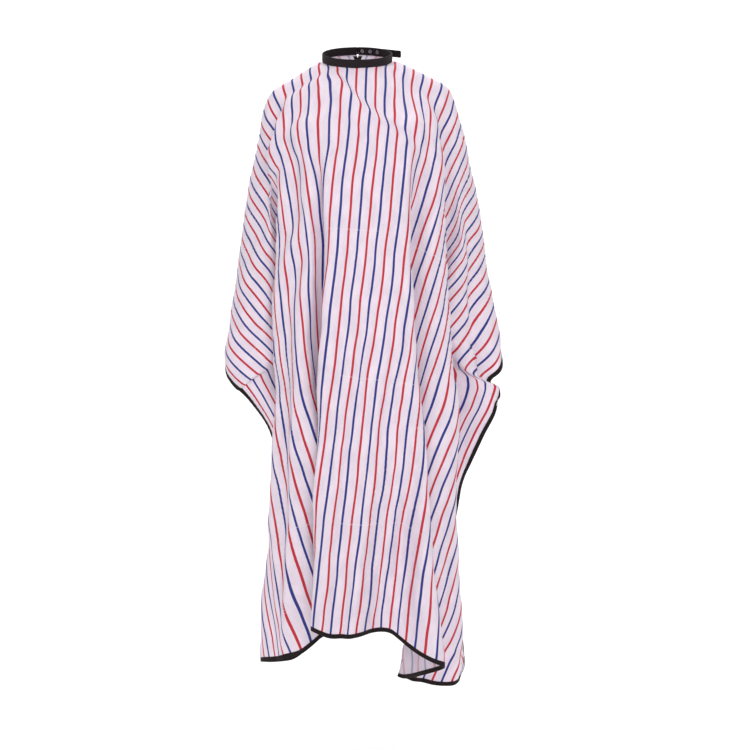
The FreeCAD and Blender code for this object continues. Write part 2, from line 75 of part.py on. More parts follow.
 [(5,71,7),(11,70,3),(18,68,-2),(25,66,-5),(31,68,-7),(38,72,-9),(44,76,-10),(49,74,-13),(54,70,-17),(58,67,-20),(62,64,-23),(67,62,-25),(73,61,-27),(78,61,-29),(83,60,-31),(89,61,-33),(96,62,-33),(102,61,-32),(107,55,-32),(111,48,-31),(115,41,-30),(118,34,-29),(122,27,-27),(124,20,-27),(127,12,-27),(129,4,-28),(129,-3,-31),(130,-10,-33),(130,-16,-37),(129,-22,-43),(128,-27,-48),(126,-31,-54),(124,-34,-60),(122,-37,-66),(121,-41,-72),(120,-45,-78),(119,-49,-83),(118,-53,-89),(117,-57,-94),(116,-60,-99),(115,-64,-104),(114,-67,-109),(113,-71,-114),(112,-74,-119),(111,-78,-123),(110,-82,-127),(109,-86,-131),(108,-89,-133),(107,-92,-135),(105,-95,-137),(103,-98,-139),(100,-100,-140),(96,-101,-142),(92,-102,-143),(88,-103,-143),(84,-103,-143),(80,-104,-143),(75,-104,-143),(71,-104,-143),(67,-105,-143),(63,-105,-143),(58,-105,-143),(54,-106,-143),(50,-107,-142),(45,-108,-142),(41,-109,-142),(37,-110,-142),(32,-111,-142),(28,-111,-141),(23,-111,-141),(19,-112,-141),(14,-112,-141),(9,-113,-141),(5,-113,-141),(0,-113,-141),(-4,-113,-141),(-9,-112,-141),(-13,-112,-141),(-18,-112,-141),(-23,-111,-141),(-27,-111,-141),(-32,-110,-141),(-36,-110,-141),(-41,-109,-141),(-45,-108,-141),(-49,-107,-141),(-54,-106,-142),(-58,-105,-142),(-62,-104,-142),(-66,-103,-142),(-71,-102,-143),(-75,-102,-143),(-79,-101,-143),(-83,-100,-143),(-87,-99,-144),(-91,-98,-144),(-95,-97,-144),(-99,-95,-143),(-102,-93,-142),(-105,-91,-141),(-108,-88,-139),(-109,-85,-137),(-110,-82,-135),(-111,-79,-132),(-112,-76,-129),(-113,-72,-124),(-114,-69,-119),(-116,-67,-114),(-117,-64,-109),(-118,-61,-104),(-120,-58,-99),(-121,-55,-93),(-122,-52,-87),(-122,-49,-82),(-122,-43,-78),(-121,-38,-74),(-121,-33,-69),(-123,-30,-63),(-125,-26,-57),(-127,-22,-51),(-128,-16,-47),(-128,-10,-43),(-128,-4,-39),(-127,4,-37),(-125,11,-35),(-122,18,-35),(-119,26,-35),(-116,33,-36),(-112,40,-36),(-109,47,-35),(-104,52,-37),(-97,52,-40),(-90,53,-43),(-83,55,-43),(-76,58,-41),(-71,59,-38),(-69,63,-33),(-67,66,-29),(-65,70,-25),(-62,73,-21),(-58,76,-17),(-53,78,-13),(-48,79,-9),(-43,79,-5),(-37,75,-5),(-32,71,-4),(-25,69,-2),(-18,72,2),(-12,74,6),(-5,77,11)],
 [(1,70,1),(8,70,-4),(16,68,-9),(23,66,-13),(30,72,-15),(37,77,-17),(44,78,-20),(51,75,-25),(56,71,-30),(62,68,-34),(67,65,-37),(73,64,-40),(79,63,-43),(85,61,-46),(91,62,-49),(98,64,-51),(107,65,-52),(116,67,-49),(122,62,-48),(127,54,-46),(131,46,-44),(136,39,-41),(141,31,-38),(144,22,-37),(148,13,-37),(150,4,-38),(151,-4,-42),(152,-13,-45),(151,-19,-52),(149,-26,-58),(147,-30,-66),(145,-33,-74),(142,-37,-81),(141,-42,-88),(141,-47,-95),(140,-52,-102),(139,-56,-109),(139,-61,-116),(138,-66,-122),(137,-70,-129),(136,-74,-136),(136,-79,-141),(135,-85,-146),(135,-90,-152),(134,-95,-158),(133,-100,-163),(132,-105,-168),(131,-109,-171),(129,-112,-174),(126,-115,-177),(123,-118,-179),(119,-120,-181),(115,-122,-183),(110,-124,-183),(105,-125,-184),(100,-125,-184),(95,-125,-184),(90,-125,-184),(84,-125,-185),(79,-123,-185),(75,-122,-186),(69,-120,-186),(64,-119,-186),(59,-117,-187),(54,-117,-187),(49,-117,-187),(43,-118,-187),(38,-118,-186),(33,-119,-186),(27,-119,-186),(22,-120,-186),(17,-120,-185),(11,-121,-185),(6,-121,-185),(0,-121,-185),(-5,-121,-185),(-11,-120,-185),(-16,-120,-184),(-22,-120,-185),(-27,-119,-185),(-32,-118,-185),(-38,-118,-185),(-43,-117,-185),(-48,-117,-185),(-53,-118,-185),(-58,-119,-184),(-64,-120,-184),(-69,-121,-184),(-74,-122,-184),(-79,-123,-183),(-84,-123,-183),(-90,-124,-183),(-95,-123,-183),(-100,-122,-183),(-105,-121,-184),(-110,-120,-184),(-114,-119,-184),(-119,-116,-184),(-123,-113,-183),(-126,-110,-181),(-129,-106,-179),(-131,-102,-176),(-132,-98,-174),(-133,-95,-171),(-133,-89,-166),(-134,-83,-162),(-134,-79,-156),(-135,-74,-150),(-136,-69,-144),(-136,-64,-138),(-138,-63,-131),(-140,-60,-124),(-141,-58,-116),(-142,-53,-110),(-143,-50,-102),(-143,-45,-95),(-142,-38,-90),(-142,-32,-85),(-144,-28,-78),(-147,-24,-70),(-149,-19,-63),(-149,-11,-58),(-150,-4,-53),(-148,5,-50),(-145,13,-48),(-142,22,-47),(-137,30,-48),(-132,38,-49),(-127,46,-51),(-122,54,-51),(-116,57,-55),(-108,58,-60),(-99,58,-63),(-90,59,-63),(-82,61,-61),(-76,63,-56),(-71,65,-51),(-69,69,-46),(-66,73,-40),(-64,77,-35),(-60,81,-29),(-56,84,-23),(-50,86,-18),(-43,86,-14),(-36,83,-11),(-30,77,-10),(-24,70,-9),(-17,73,-5),(-9,76,1),(-2,77,6)],
 [(-4,67,-6),(4,68,-11),(13,68,-17),(21,69,-22),(29,77,-24),(37,81,-27),(45,79,-33),(53,77,-38),(59,73,-44),(65,70,-49),(72,67,-54),(79,65,-58),(86,64,-62),(93,65,-66),(101,66,-69),(109,70,-72),(119,72,-73),(130,72,-70),(139,70,-66),(145,62,-62),(151,54,-58),(157,45,-54),(162,36,-50),(167,25,-49),(171,15,-47),(174,5,-50),(176,-6,-54),(175,-15,-61),(174,-22,-69),(171,-28,-78),(168,-31,-88),(164,-34,-97),(164,-41,-105),(162,-46,-114),(161,-52,-122),(162,-58,-130),(161,-63,-139),(160,-68,-147),(160,-73,-155),(159,-79,-164),(157,-84,-172),(156,-90,-179),(155,-95,-187),(153,-100,-195),(150,-101,-203),(148,-103,-211),(145,-105,-218),(143,-106,-223),(141,-107,-228),(138,-109,-232),(134,-111,-236),(129,-114,-238),(125,-117,-240),(121,-121,-240),(116,-125,-240),(112,-129,-239),(108,-133,-238),(104,-135,-237),(98,-135,-237),(92,-134,-237),(86,-134,-237),(80,-133,-238),(74,-131,-238),(68,-130,-238),(62,-128,-238),(56,-127,-238),(50,-127,-238),(43,-128,-237),(37,-128,-237),(31,-128,-237),(24,-129,-236),(18,-129,-236),(12,-129,-236),(5,-129,-235),(-1,-129,-235),(-8,-129,-235),(-14,-129,-235),(-21,-129,-235),(-27,-128,-235),(-33,-127,-235),(-39,-126,-235),(-45,-127,-235),(-51,-129,-234),(-56,-131,-234),(-62,-133,-233),(-67,-132,-233),(-71,-128,-233),(-77,-127,-234),(-82,-126,-234),(-88,-125,-235),(-94,-126,-235),(-100,-126,-236),(-105,-127,-237),(-110,-126,-238),(-114,-122,-239),(-117,-118,-240),(-120,-113,-240),(-124,-109,-240),(-128,-105,-238),(-132,-102,-236),(-136,-99,-233),(-140,-97,-229),(-142,-96,-224),(-145,-95,-219),(-148,-93,-212),(-151,-91,-204),(-155,-89,-197),(-156,-85,-189),(-157,-79,-182),(-158,-73,-175),(-159,-68,-167),(-160,-65,-158),(-160,-59,-150),(-162,-57,-141),(-162,-53,-133),(-161,-47,-125),(-161,-41,-117),(-164,-36,-109),(-163,-29,-102),(-167,-24,-93),(-170,-20,-84),(-172,-13,-76),(-172,-4,-69),(-171,5,-64),(-167,16,-62),(-163,26,-61),(-157,35,-63),(-150,44,-66),(-144,52,-69),(-137,61,-71),(-129,65,-75),(-119,69,-80),(-109,69,-84),(-99,67,-85),(-89,66,-83),(-81,67,-77),(-75,69,-71),(-70,71,-65),(-67,76,-58),(-65,81,-51),(-61,86,-44),(-57,89,-37),(-52,93,-29),(-44,92,-24),(-35,90,-19),(-28,84,-17),(-22,75,-17),(-14,75,-13),(-5,76,-7),(3,76,-1)],
 [(-11,65,-14),(-1,67,-21),(9,68,-28),(18,74,-32),(27,83,-35),(37,85,-41),(46,83,-48),(55,80,-55),(62,76,-61),(70,73,-68),(78,70,-74),(86,67,-80),(95,68,-85),(103,70,-89),(112,73,-94),(122,77,-98),(134,82,-98),(147,82,-95),(158,79,-89),(167,73,-81),(175,66,-74),(182,56,-69),(188,44,-65),(193,32,-64),(198,20,-65),(201,7,-70),(202,-4,-77),(199,-13,-86),(196,-19,-97),(192,-24,-109),(188,-29,-120),(183,-31,-132),(182,-36,-142),(178,-42,-152),(177,-49,-162),(177,-57,-172),(177,-64,-182),(178,-71,-192),(178,-77,-202),(178,-84,-211),(177,-90,-222),(175,-95,-233),(173,-100,-243),(170,-103,-253),(167,-107,-263),(163,-109,-274),(159,-111,-284),(156,-112,-291),(153,-112,-297),(148,-111,-302),(143,-110,-306),(136,-109,-310),(129,-107,-312),(123,-109,-312),(119,-114,-311),(116,-120,-309),(113,-126,-308),(110,-132,-306),(107,-139,-305),(105,-145,-304),(100,-148,-303),(93,-146,-303),(87,-145,-303),(80,-143,-302),(72,-142,-302),(65,-141,-302),(57,-140,-302),(49,-140,-301),(42,-140,-301),(34,-140,-300),(26,-140,-300),(19,-140,-299),(11,-140,-299),(3,-140,-298),(-4,-141,-298),(-12,-141,-298),(-20,-142,-297),(-28,-141,-297),(-35,-141,-297),(-43,-140,-297),(-50,-139,-297),(-57,-139,-297),(-65,-139,-297),(-70,-137,-297),(-72,-131,-297),(-73,-125,-297),(-74,-118,-297),(-80,-121,-299),(-85,-124,-300),(-91,-128,-301),(-97,-127,-302),(-103,-125,-304),(-110,-123,-305),(-116,-121,-307),(-119,-115,-308),(-122,-108,-310),(-125,-102,-311),(-131,-98,-311),(-137,-96,-309),(-143,-94,-306),(-148,-93,-301),(-153,-92,-296),(-155,-91,-289),(-157,-90,-283),(-160,-88,-272),(-162,-86,-262),(-166,-83,-252),(-170,-80,-243),(-174,-77,-233),(-179,-77,-222),(-181,-74,-212),(-182,-69,-202),(-181,-65,-192),(-176,-59,-184),(-175,-53,-175),(-173,-45,-166),(-173,-38,-157),(-177,-31,-148),(-176,-25,-139),(-184,-24,-129),(-188,-18,-118),(-192,-12,-108),(-194,-4,-98),(-195,7,-90),(-191,18,-86),(-186,31,-83),(-179,43,-84),(-172,53,-86),(-164,64,-89),(-155,73,-94),(-145,78,-99),(-135,81,-106),(-123,78,-112),(-111,75,-113),(-100,78,-108),(-90,78,-101),(-82,78,-94),(-75,78,-87),(-68,79,-80),(-64,84,-72),(-61,89,-63),(-57,95,-54),(-51,99,-45),(-44,101,-36),(-34,99,-30),(-25,93,-26),(-18,82,-26),(-11,75,-23),(0,75,-16),(10,74,-9)],
 [(-19,62,-25),(-8,67,-32),(4,70,-40),(13,81,-44),(24,88,-49),(36,90,-57),(46,87,-66),(56,84,-74),(66,80,-82),(75,76,-90),(86,75,-97),(96,74,-104),(107,74,-110),(117,75,-117),(128,78,-123),(140,83,-129),(154,90,-129),(168,94,-126),(179,90,-119),(188,84,-110),(192,73,-103),(193,61,-99),(193,49,-97),(201,38,-98),(208,27,-101),(215,15,-107),(217,3,-116),(218,-8,-126),(216,-17,-137),(212,-23,-150),(206,-27,-162),(199,-30,-175),(193,-34,-188),(188,-39,-200),(185,-44,-213),(183,-50,-225),(182,-57,-237),(183,-64,-250),(184,-71,-262),(185,-79,-274),(185,-86,-287),(186,-93,-300),(185,-99,-312),(183,-105,-325),(181,-110,-338),(176,-112,-351),(172,-115,-364),(170,-117,-372),(166,-117,-379),(160,-118,-386),(154,-119,-391),(146,-118,-394),(138,-115,-396),(130,-111,-396),(122,-110,-394),(115,-114,-392),(110,-119,-390),(108,-126,-388),(111,-134,-386),(114,-141,-384),(110,-147,-383),(104,-153,-382),(99,-159,-380),(90,-157,-380),(82,-154,-379),(73,-151,-379),(64,-151,-378),(55,-150,-377),(46,-150,-377),(37,-150,-376),(27,-151,-375),(18,-150,-374),(9,-150,-374),(0,-149,-374),(-9,-150,-373),(-18,-151,-373),(-28,-152,-372),(-37,-152,-372),(-46,-153,-371),(-54,-151,-371),(-61,-146,-372),(-68,-141,-372),(-69,-134,-373),(-67,-126,-373),(-64,-119,-373),(-71,-119,-375),(-79,-121,-376),(-86,-123,-378),(-93,-129,-379),(-100,-134,-380),(-107,-135,-382),(-113,-129,-385),(-120,-124,-387),(-126,-119,-389),(-132,-113,-391),(-138,-106,-393),(-144,-101,-395),(-151,-95,-394),(-158,-92,-391),(-164,-89,-387),(-167,-84,-381),(-169,-81,-374),(-169,-78,-366),(-170,-76,-358),(-170,-73,-345),(-171,-69,-331),(-171,-65,-318),(-174,-61,-305),(-177,-58,-293),(-181,-56,-281),(-185,-55,-270),(-192,-56,-260),(-193,-54,-249),(-192,-52,-239),(-186,-46,-229),(-181,-41,-219),(-177,-36,-209),(-179,-30,-199),(-184,-24,-188),(-192,-20,-176),(-200,-15,-165),(-206,-9,-153),(-208,0,-142),(-207,11,-133),(-204,22,-124),(-194,33,-121),(-184,42,-119),(-175,53,-120),(-172,65,-122),(-168,77,-126),(-161,87,-132),(-151,91,-140),(-138,92,-145),(-123,89,-146),(-109,87,-141),(-98,87,-132),(-90,88,-122),(-82,89,-113),(-74,90,-104),(-65,90,-95),(-56,91,-86),(-52,97,-75),(-50,105,-64),(-42,108,-53),(-33,109,-43),(-22,101,-39),(-13,90,-37),(-6,79,-36),(7,77,-28),(18,73,-20)],
 [(-28,61,-35),(-15,68,-44),(-2,75,-52),(8,87,-56),(22,94,-64),(35,95,-73),(47,92,-83),(59,88,-93),(70,84,-103),(82,82,-112),(94,81,-120),(106,79,-129),(118,80,-137),(130,82,-144),(142,88,-152),(155,95,-159),(170,101,-162),(184,100,-160),(193,94,-153),(195,83,-145),(191,72,-140),(191,59,-136),(192,50,-134),(200,41,-135),(211,32,-139),(222,23,-145),(229,11,-154),(232,-1,-165),(231,-13,-178),(225,-20,-191),(220,-29,-205),(213,-35,-219),(206,-38,-234),(199,-41,-248),(193,-44,-263),(190,-48,-277),(186,-50,-292),(185,-57,-306),(185,-64,-321),(186,-72,-336),(186,-79,-351),(187,-86,-366),(188,-92,-381),(189,-98,-397),(188,-104,-412),(185,-109,-428),(183,-113,-443),(180,-116,-452),(177,-118,-461),(171,-120,-468),(163,-121,-474),(155,-122,-478),(145,-120,-480),(136,-115,-480),(127,-111,-478),(118,-110,-475),(110,-113,-472),(105,-119,-470),(109,-128,-467),(112,-137,-465),(114,-146,-463),(115,-156,-461),(110,-162,-459),(100,-162,-458),(90,-162,-457),(80,-159,-456),(69,-157,-455),(59,-156,-454),(48,-155,-453),(38,-155,-452),(27,-156,-451),(16,-158,-450),(6,-156,-450),(-5,-154,-449),(-15,-155,-449),(-26,-157,-448),(-37,-158,-447),(-47,-159,-447),(-57,-160,-446),(-63,-152,-447),(-67,-143,-448),(-67,-134,-448),(-63,-125,-449),(-62,-119,-450),(-71,-120,-451),(-80,-122,-453),(-87,-128,-455),(-94,-136,-456),(-101,-137,-458),(-108,-131,-461),(-116,-125,-463),(-125,-121,-465),(-134,-116,-467),(-143,-114,-470),(-153,-112,-472),(-161,-107,-474),(-167,-99,-475),(-172,-90,-475),(-174,-82,-472),(-174,-74,-467),(-174,-68,-460),(-173,-63,-452),(-171,-60,-443),(-169,-58,-433),(-167,-55,-418),(-165,-51,-402),(-163,-46,-386),(-164,-42,-371),(-165,-38,-356),(-168,-35,-341),(-175,-36,-328),(-181,-36,-315),(-187,-38,-303),(-190,-41,-293),(-191,-41,-282),(-188,-39,-272),(-185,-34,-260),(-186,-29,-249),(-192,-24,-236),(-200,-18,-224),(-208,-12,-210),(-214,-3,-197),(-219,7,-185),(-217,18,-173),(-210,29,-165),(-199,36,-160),(-187,43,-157),(-177,51,-157),(-173,62,-159),(-171,75,-163),(-169,87,-169),(-161,96,-176),(-150,102,-180),(-134,101,-180),(-118,98,-174),(-106,97,-163),(-97,95,-152),(-88,97,-141),(-78,97,-130),(-68,97,-119),(-59,99,-108),(-49,101,-96),(-44,108,-83),(-42,116,-70),(-31,117,-58),(-18,111,-50),(-8,98,-48),(0,83,-47),(13,78,-40),(27,73,-31)],
 [(-38,60,-48),(-24,70,-57),(-10,81,-65),(3,94,-71),(19,100,-81),(34,100,-92),(48,96,-104),(62,93,-115),(76,92,-126),(90,89,-137),(103,86,-147),(117,85,-158),(130,86,-167),(143,93,-176),(156,101,-186),(170,109,-196),(187,112,-200),(201,106,-200),(205,93,-195),(198,80,-188),(189,68,-182),(183,57,-178),(186,50,-177),(198,45,-178),(216,41,-182),(231,34,-189),(241,23,-199),(244,8,-211),(243,-6,-225),(238,-19,-240),(232,-31,-255),(224,-38,-271),(217,-40,-287),(211,-40,-303),(204,-39,-320),(197,-39,-337),(190,-42,-354),(184,-46,-371),(181,-52,-389),(182,-60,-407),(184,-67,-425),(187,-74,-443),(190,-82,-461),(193,-90,-479),(195,-97,-497),(194,-104,-516),(192,-110,-533),(190,-114,-544),(186,-117,-555),(181,-120,-563),(173,-124,-570),(164,-126,-575),(153,-124,-577),(143,-121,-577),(133,-117,-574),(123,-114,-571),(113,-114,-567),(104,-115,-564),(105,-125,-561),(109,-135,-558),(115,-145,-555),(122,-154,-552),(118,-161,-550),(109,-168,-548),(97,-167,-547),(85,-163,-545),(73,-162,-544),(61,-163,-542),(49,-162,-541),(37,-159,-540),(25,-160,-539),(13,-163,-538),(1,-163,-537),(-11,-160,-536),(-23,-160,-536),(-36,-163,-535),(-48,-164,-534),(-60,-164,-534),(-67,-159,-534),(-68,-147,-535),(-66,-136,-535),(-61,-125,-536),(-63,-118,-538),(-74,-116,-539),(-83,-120,-541),(-90,-129,-543),(-99,-137,-546),(-110,-140,-548),(-120,-139,-550),(-127,-130,-553),(-134,-121,-556),(-142,-112,-559),(-150,-104,-562),(-160,-102,-564),(-169,-99,-567),(-172,-92,-569),(-174,-84,-571),(-172,-76,-570),(-169,-67,-566),(-166,-58,-561),(-162,-50,-553),(-160,-43,-543),(-160,-39,-533),(-158,-36,-522),(-155,-33,-503),(-152,-31,-485),(-148,-29,-466),(-147,-25,-448),(-148,-21,-431),(-152,-18,-414),(-158,-18,-398),(-166,-20,-382),(-175,-26,-368),(-183,-34,-354),(-188,-40,-342),(-191,-41,-330),(-191,-39,-318),(-193,-33,-306),(-198,-25,-292),(-208,-18,-278),(-218,-9,-263),(-225,3,-248),(-228,16,-233),(-226,29,-220),(-218,40,-209),(-204,46,-202),(-188,47,-199),(-176,50,-200),(-171,58,-202),(-173,72,-206),(-175,87,-211),(-174,101,-218),(-164,112,-222),(-146,113,-221),(-128,109,-214),(-114,105,-200),(-103,102,-187),(-92,101,-175),(-81,103,-161),(-71,105,-147),(-59,105,-134),(-48,106,-120),(-40,112,-105),(-35,121,-90),(-28,126,-75),(-14,122,-64),(-3,107,-61),(7,91,-60),(21,81,-53),(37,74,-44)],
 [(-48,63,-59),(-32,75,-69),(-16,87,-78),(-1,100,-86),(17,105,-98),(33,104,-111),(49,101,-124),(66,100,-137),(81,97,-150),(97,93,-162),(111,88,-175),(127,91,-187),(141,97,-198),(154,106,-208),(168,114,-220),(184,121,-233),(202,119,-240),(211,105,-243),(210,89,-239),(198,75,-231),(182,64,-225),(174,53,-221),(180,46,-220),(198,46,-221),(220,47,-226),(238,44,-233),(251,34,-244),(255,18,-257),(252,1,-273),(245,-15,-289),(237,-28,-305),(230,-37,-323),(225,-40,-340),(220,-39,-359),(212,-36,-377),(202,-34,-396),(190,-32,-416),(182,-34,-436),(177,-38,-456),(176,-45,-477),(179,-52,-498),(185,-61,-519),(190,-71,-540),(194,-80,-561),(196,-89,-582),(199,-98,-603),(198,-106,-623),(196,-110,-636),(193,-114,-648),(189,-120,-658),(181,-126,-666),(170,-128,-671),(159,-129,-674),(148,-126,-673),(137,-122,-670),(129,-119,-666),(120,-116,-662),(114,-118,-658),(112,-123,-654),(115,-132,-650),(120,-141,-646),(128,-152,-642),(122,-162,-640),(115,-172,-637),(102,-168,-635),(89,-164,-634),(75,-164,-632),(61,-166,-631),(47,-169,-629),(34,-167,-628),(21,-162,-627),(8,-165,-625),(-5,-168,-624),(-19,-165,-623),(-32,-164,-622),(-46,-168,-621),(-59,-168,-621),(-72,-165,-620),(-72,-154,-621),(-68,-141,-622),(-61,-129,-623),(-59,-119,-624),(-70,-113,-626),(-81,-115,-628),(-91,-124,-631),(-100,-134,-633),(-109,-145,-636),(-121,-142,-639),(-132,-136,-642),(-138,-124,-646),(-146,-114,-649),(-156,-106,-652),(-165,-99,-655),(-173,-91,-658),(-175,-84,-661),(-175,-76,-664),(-167,-69,-666),(-159,-61,-664),(-149,-54,-661),(-141,-46,-654),(-135,-38,-645),(-132,-31,-634),(-132,-26,-621),(-132,-22,-609),(-133,-16,-587),(-133,-11,-565),(-132,-10,-544),(-132,-11,-524),(-132,-10,-504),(-138,-8,-486),(-146,-7,-468),(-155,-10,-451),(-163,-18,-434),(-171,-29,-418),(-180,-41,-402),(-189,-48,-388),(-196,-47,-374),(-201,-39,-360),(-208,-28,-346),(-218,-17,-330),(-229,-5,-313),(-236,9,-296),(-238,26,-280),(-234,43,-265),(-223,54,-253),(-208,56,-245),(-190,51,-242),(-174,48,-243),(-167,54,-245),(-170,67,-249),(-179,84,-255),(-184,102,-262),(-174,115,-266),(-158,122,-263),(-137,119,-253),(-121,113,-238),(-109,109,-222),(-97,107,-208),(-85,107,-192),(-73,110,-176),(-60,111,-161),(-49,114,-145),(-39,118,-128),(-33,127,-110),(-25,135,-92),(-11,131,-79),(2,116,-75),(12,97,-74),(28,86,-66),(46,77,-56)],
 [(-59,66,-70),(-41,80,-80),(-23,94,-90),(-5,105,-102),(14,110,-115),(33,109,-130),(51,107,-145),(69,104,-160),(86,100,-174),(103,95,-189),(120,94,-203),(135,99,-216),(150,108,-228),(164,119,-240),(179,126,-255),(197,132,-270),(215,122,-281),(222,102,-286),(213,83,-283),(193,72,-275),(173,62,-268),(166,49,-264),(177,42,-263),(198,45,-265),(221,53,-269),(243,55,-277),(258,44,-288),(265,26,-303),(262,6,-319),(253,-13,-337),(243,-28,-355),(235,-37,-374),(228,-44,-393),(220,-47,-412),(209,-44,-433),(196,-37,-455),(185,-31,-477),(177,-28,-499),(173,-28,-522),(174,-33,-545),(178,-41,-569),(182,-50,-593),(186,-61,-617),(190,-71,-641),(194,-81,-665),(198,-91,-689),(201,-100,-714),(205,-107,-728),(209,-115,-742),(208,-122,-754),(199,-128,-763),(184,-132,-769),(167,-132,-772),(150,-130,-771),(138,-125,-766),(129,-119,-761),(123,-113,-756),(119,-113,-751),(117,-118,-747),(121,-127,-742),(127,-137,-736),(135,-148,-730),(129,-161,-727),(119,-170,-724),(104,-171,-722),(89,-167,-720),(76,-163,-719),(61,-170,-717),(46,-173,-716),(30,-174,-714),(16,-167,-713),(2,-166,-712),(-12,-172,-710),(-27,-169,-709),(-41,-167,-707),(-56,-172,-707),(-69,-168,-707),(-80,-160,-707),(-71,-147,-707),(-62,-134,-708),(-52,-123,-709),(-60,-111,-710),(-71,-108,-712),(-84,-115,-715),(-93,-127,-719),(-102,-139,-722),(-115,-145,-725),(-127,-141,-729),(-138,-130,-732),(-147,-118,-736),(-158,-108,-739),(-169,-99,-743),(-177,-90,-746),(-179,-80,-750),(-175,-71,-754),(-165,-64,-758),(-152,-57,-761),(-138,-51,-760),(-125,-43,-756),(-114,-36,-748),(-106,-29,-737),(-101,-23,-724),(-99,-18,-710),(-100,-13,-695),(-101,-7,-670),(-104,-3,-646),(-107,-4,-622),(-112,-6,-598),(-118,-8,-576),(-125,-11,-554),(-137,-11,-535),(-151,-12,-517),(-161,-17,-499),(-169,-27,-481),(-177,-38,-462),(-187,-45,-446),(-199,-50,-430),(-211,-43,-415),(-221,-29,-398),(-231,-14,-380),(-240,1,-362),(-245,19,-343),(-246,39,-325),(-240,58,-309),(-227,70,-295),(-210,69,-287),(-192,56,-285),(-175,45,-286),(-163,49,-288),(-165,63,-293),(-179,80,-299),(-191,99,-306),(-187,119,-309),(-169,129,-305),(-146,127,-294),(-129,122,-275),(-114,115,-258),(-101,112,-241),(-87,110,-224),(-74,112,-206),(-61,115,-188),(-47,116,-169),(-35,122,-150),(-29,132,-131),(-22,141,-111),(-7,140,-95),(6,124,-89),(18,104,-86),(36,90,-79),(55,80,-68)],
 [(-68,70,-81),(-49,84,-93),(-29,99,-104),(-9,111,-117),(12,114,-132),(32,112,-149),(52,110,-166),(72,107,-182),(91,102,-199),(109,97,-215),(127,100,-230),(143,108,-244),(159,120,-258),(174,131,-273),(190,138,-290),(210,138,-310),(225,121,-324),(228,97,-330),(211,79,-328),(187,70,-319),(164,61,-311),(160,45,-307),(174,36,-306),(198,43,-309),(221,59,-313),(243,64,-321),(263,55,-333),(272,34,-349),(272,10,-366),(265,-11,-384),(254,-28,-404),(242,-41,-424),(230,-52,-445),(216,-57,-467),(201,-53,-489),(185,-46,-512),(173,-36,-535),(164,-27,-560),(162,-23,-585),(164,-25,-612),(167,-31,-639),(171,-40,-667),(177,-50,-694),(184,-62,-722),(196,-74,-750),(206,-86,-778),(214,-95,-806),(217,-101,-822),(220,-107,-838),(219,-117,-852),(209,-125,-863),(192,-130,-870),(172,-132,-872),(155,-133,-871),(138,-132,-865),(123,-124,-859),(115,-113,-852),(119,-104,-845),(133,-107,-839),(136,-119,-833),(139,-133,-826),(145,-146,-819),(138,-158,-814),(125,-165,-809),(109,-170,-807),(92,-167,-805),(76,-165,-804),(60,-167,-803),(46,-178,-801),(29,-177,-800),(12,-173,-799),(-4,-167,-798),(-19,-174,-795),(-35,-174,-793),(-51,-170,-791),(-67,-174,-791),(-77,-165,-792),(-80,-151,-792),(-69,-138,-793),(-55,-126,-793),(-50,-112,-794),(-54,-99,-795),(-69,-103,-798),(-77,-116,-801),(-85,-131,-804),(-97,-142,-808),(-113,-140,-811),(-128,-133,-815),(-144,-127,-818),(-156,-115,-823),(-170,-104,-827),(-183,-94,-832),(-190,-79,-838),(-180,-68,-844),(-167,-58,-850),(-150,-53,-855),(-135,-45,-858),(-119,-36,-857),(-105,-27,-851),(-92,-21,-842),(-80,-16,-830),(-71,-13,-815),(-68,-10,-798),(-67,-8,-781),(-67,-2,-752),(-71,0,-725),(-76,-1,-698),(-84,-5,-672),(-95,-9,-648),(-109,-13,-624),(-126,-14,-603),(-144,-16,-583),(-160,-21,-563),(-172,-31,-543),(-182,-41,-522),(-193,-43,-503),(-206,-43,-485),(-220,-41,-468),(-232,-29,-450),(-243,-12,-431),(-251,8,-410),(-254,29,-390),(-253,52,-371),(-245,74,-352),(-228,85,-338),(-210,81,-330),(-194,61,-328),(-177,44,-329),(-161,44,-332),(-159,59,-336),(-176,77,-343),(-194,95,-351),(-196,118,-353),(-179,134,-348),(-156,136,-334),(-136,130,-313),(-120,123,-293),(-105,117,-274),(-90,114,-255),(-75,114,-235),(-61,117,-215),(-46,121,-194),(-34,127,-173),(-26,138,-151),(-20,149,-128),(-4,150,-109),(12,133,-101),(22,110,-100),(43,96,-91),(63,83,-80)],
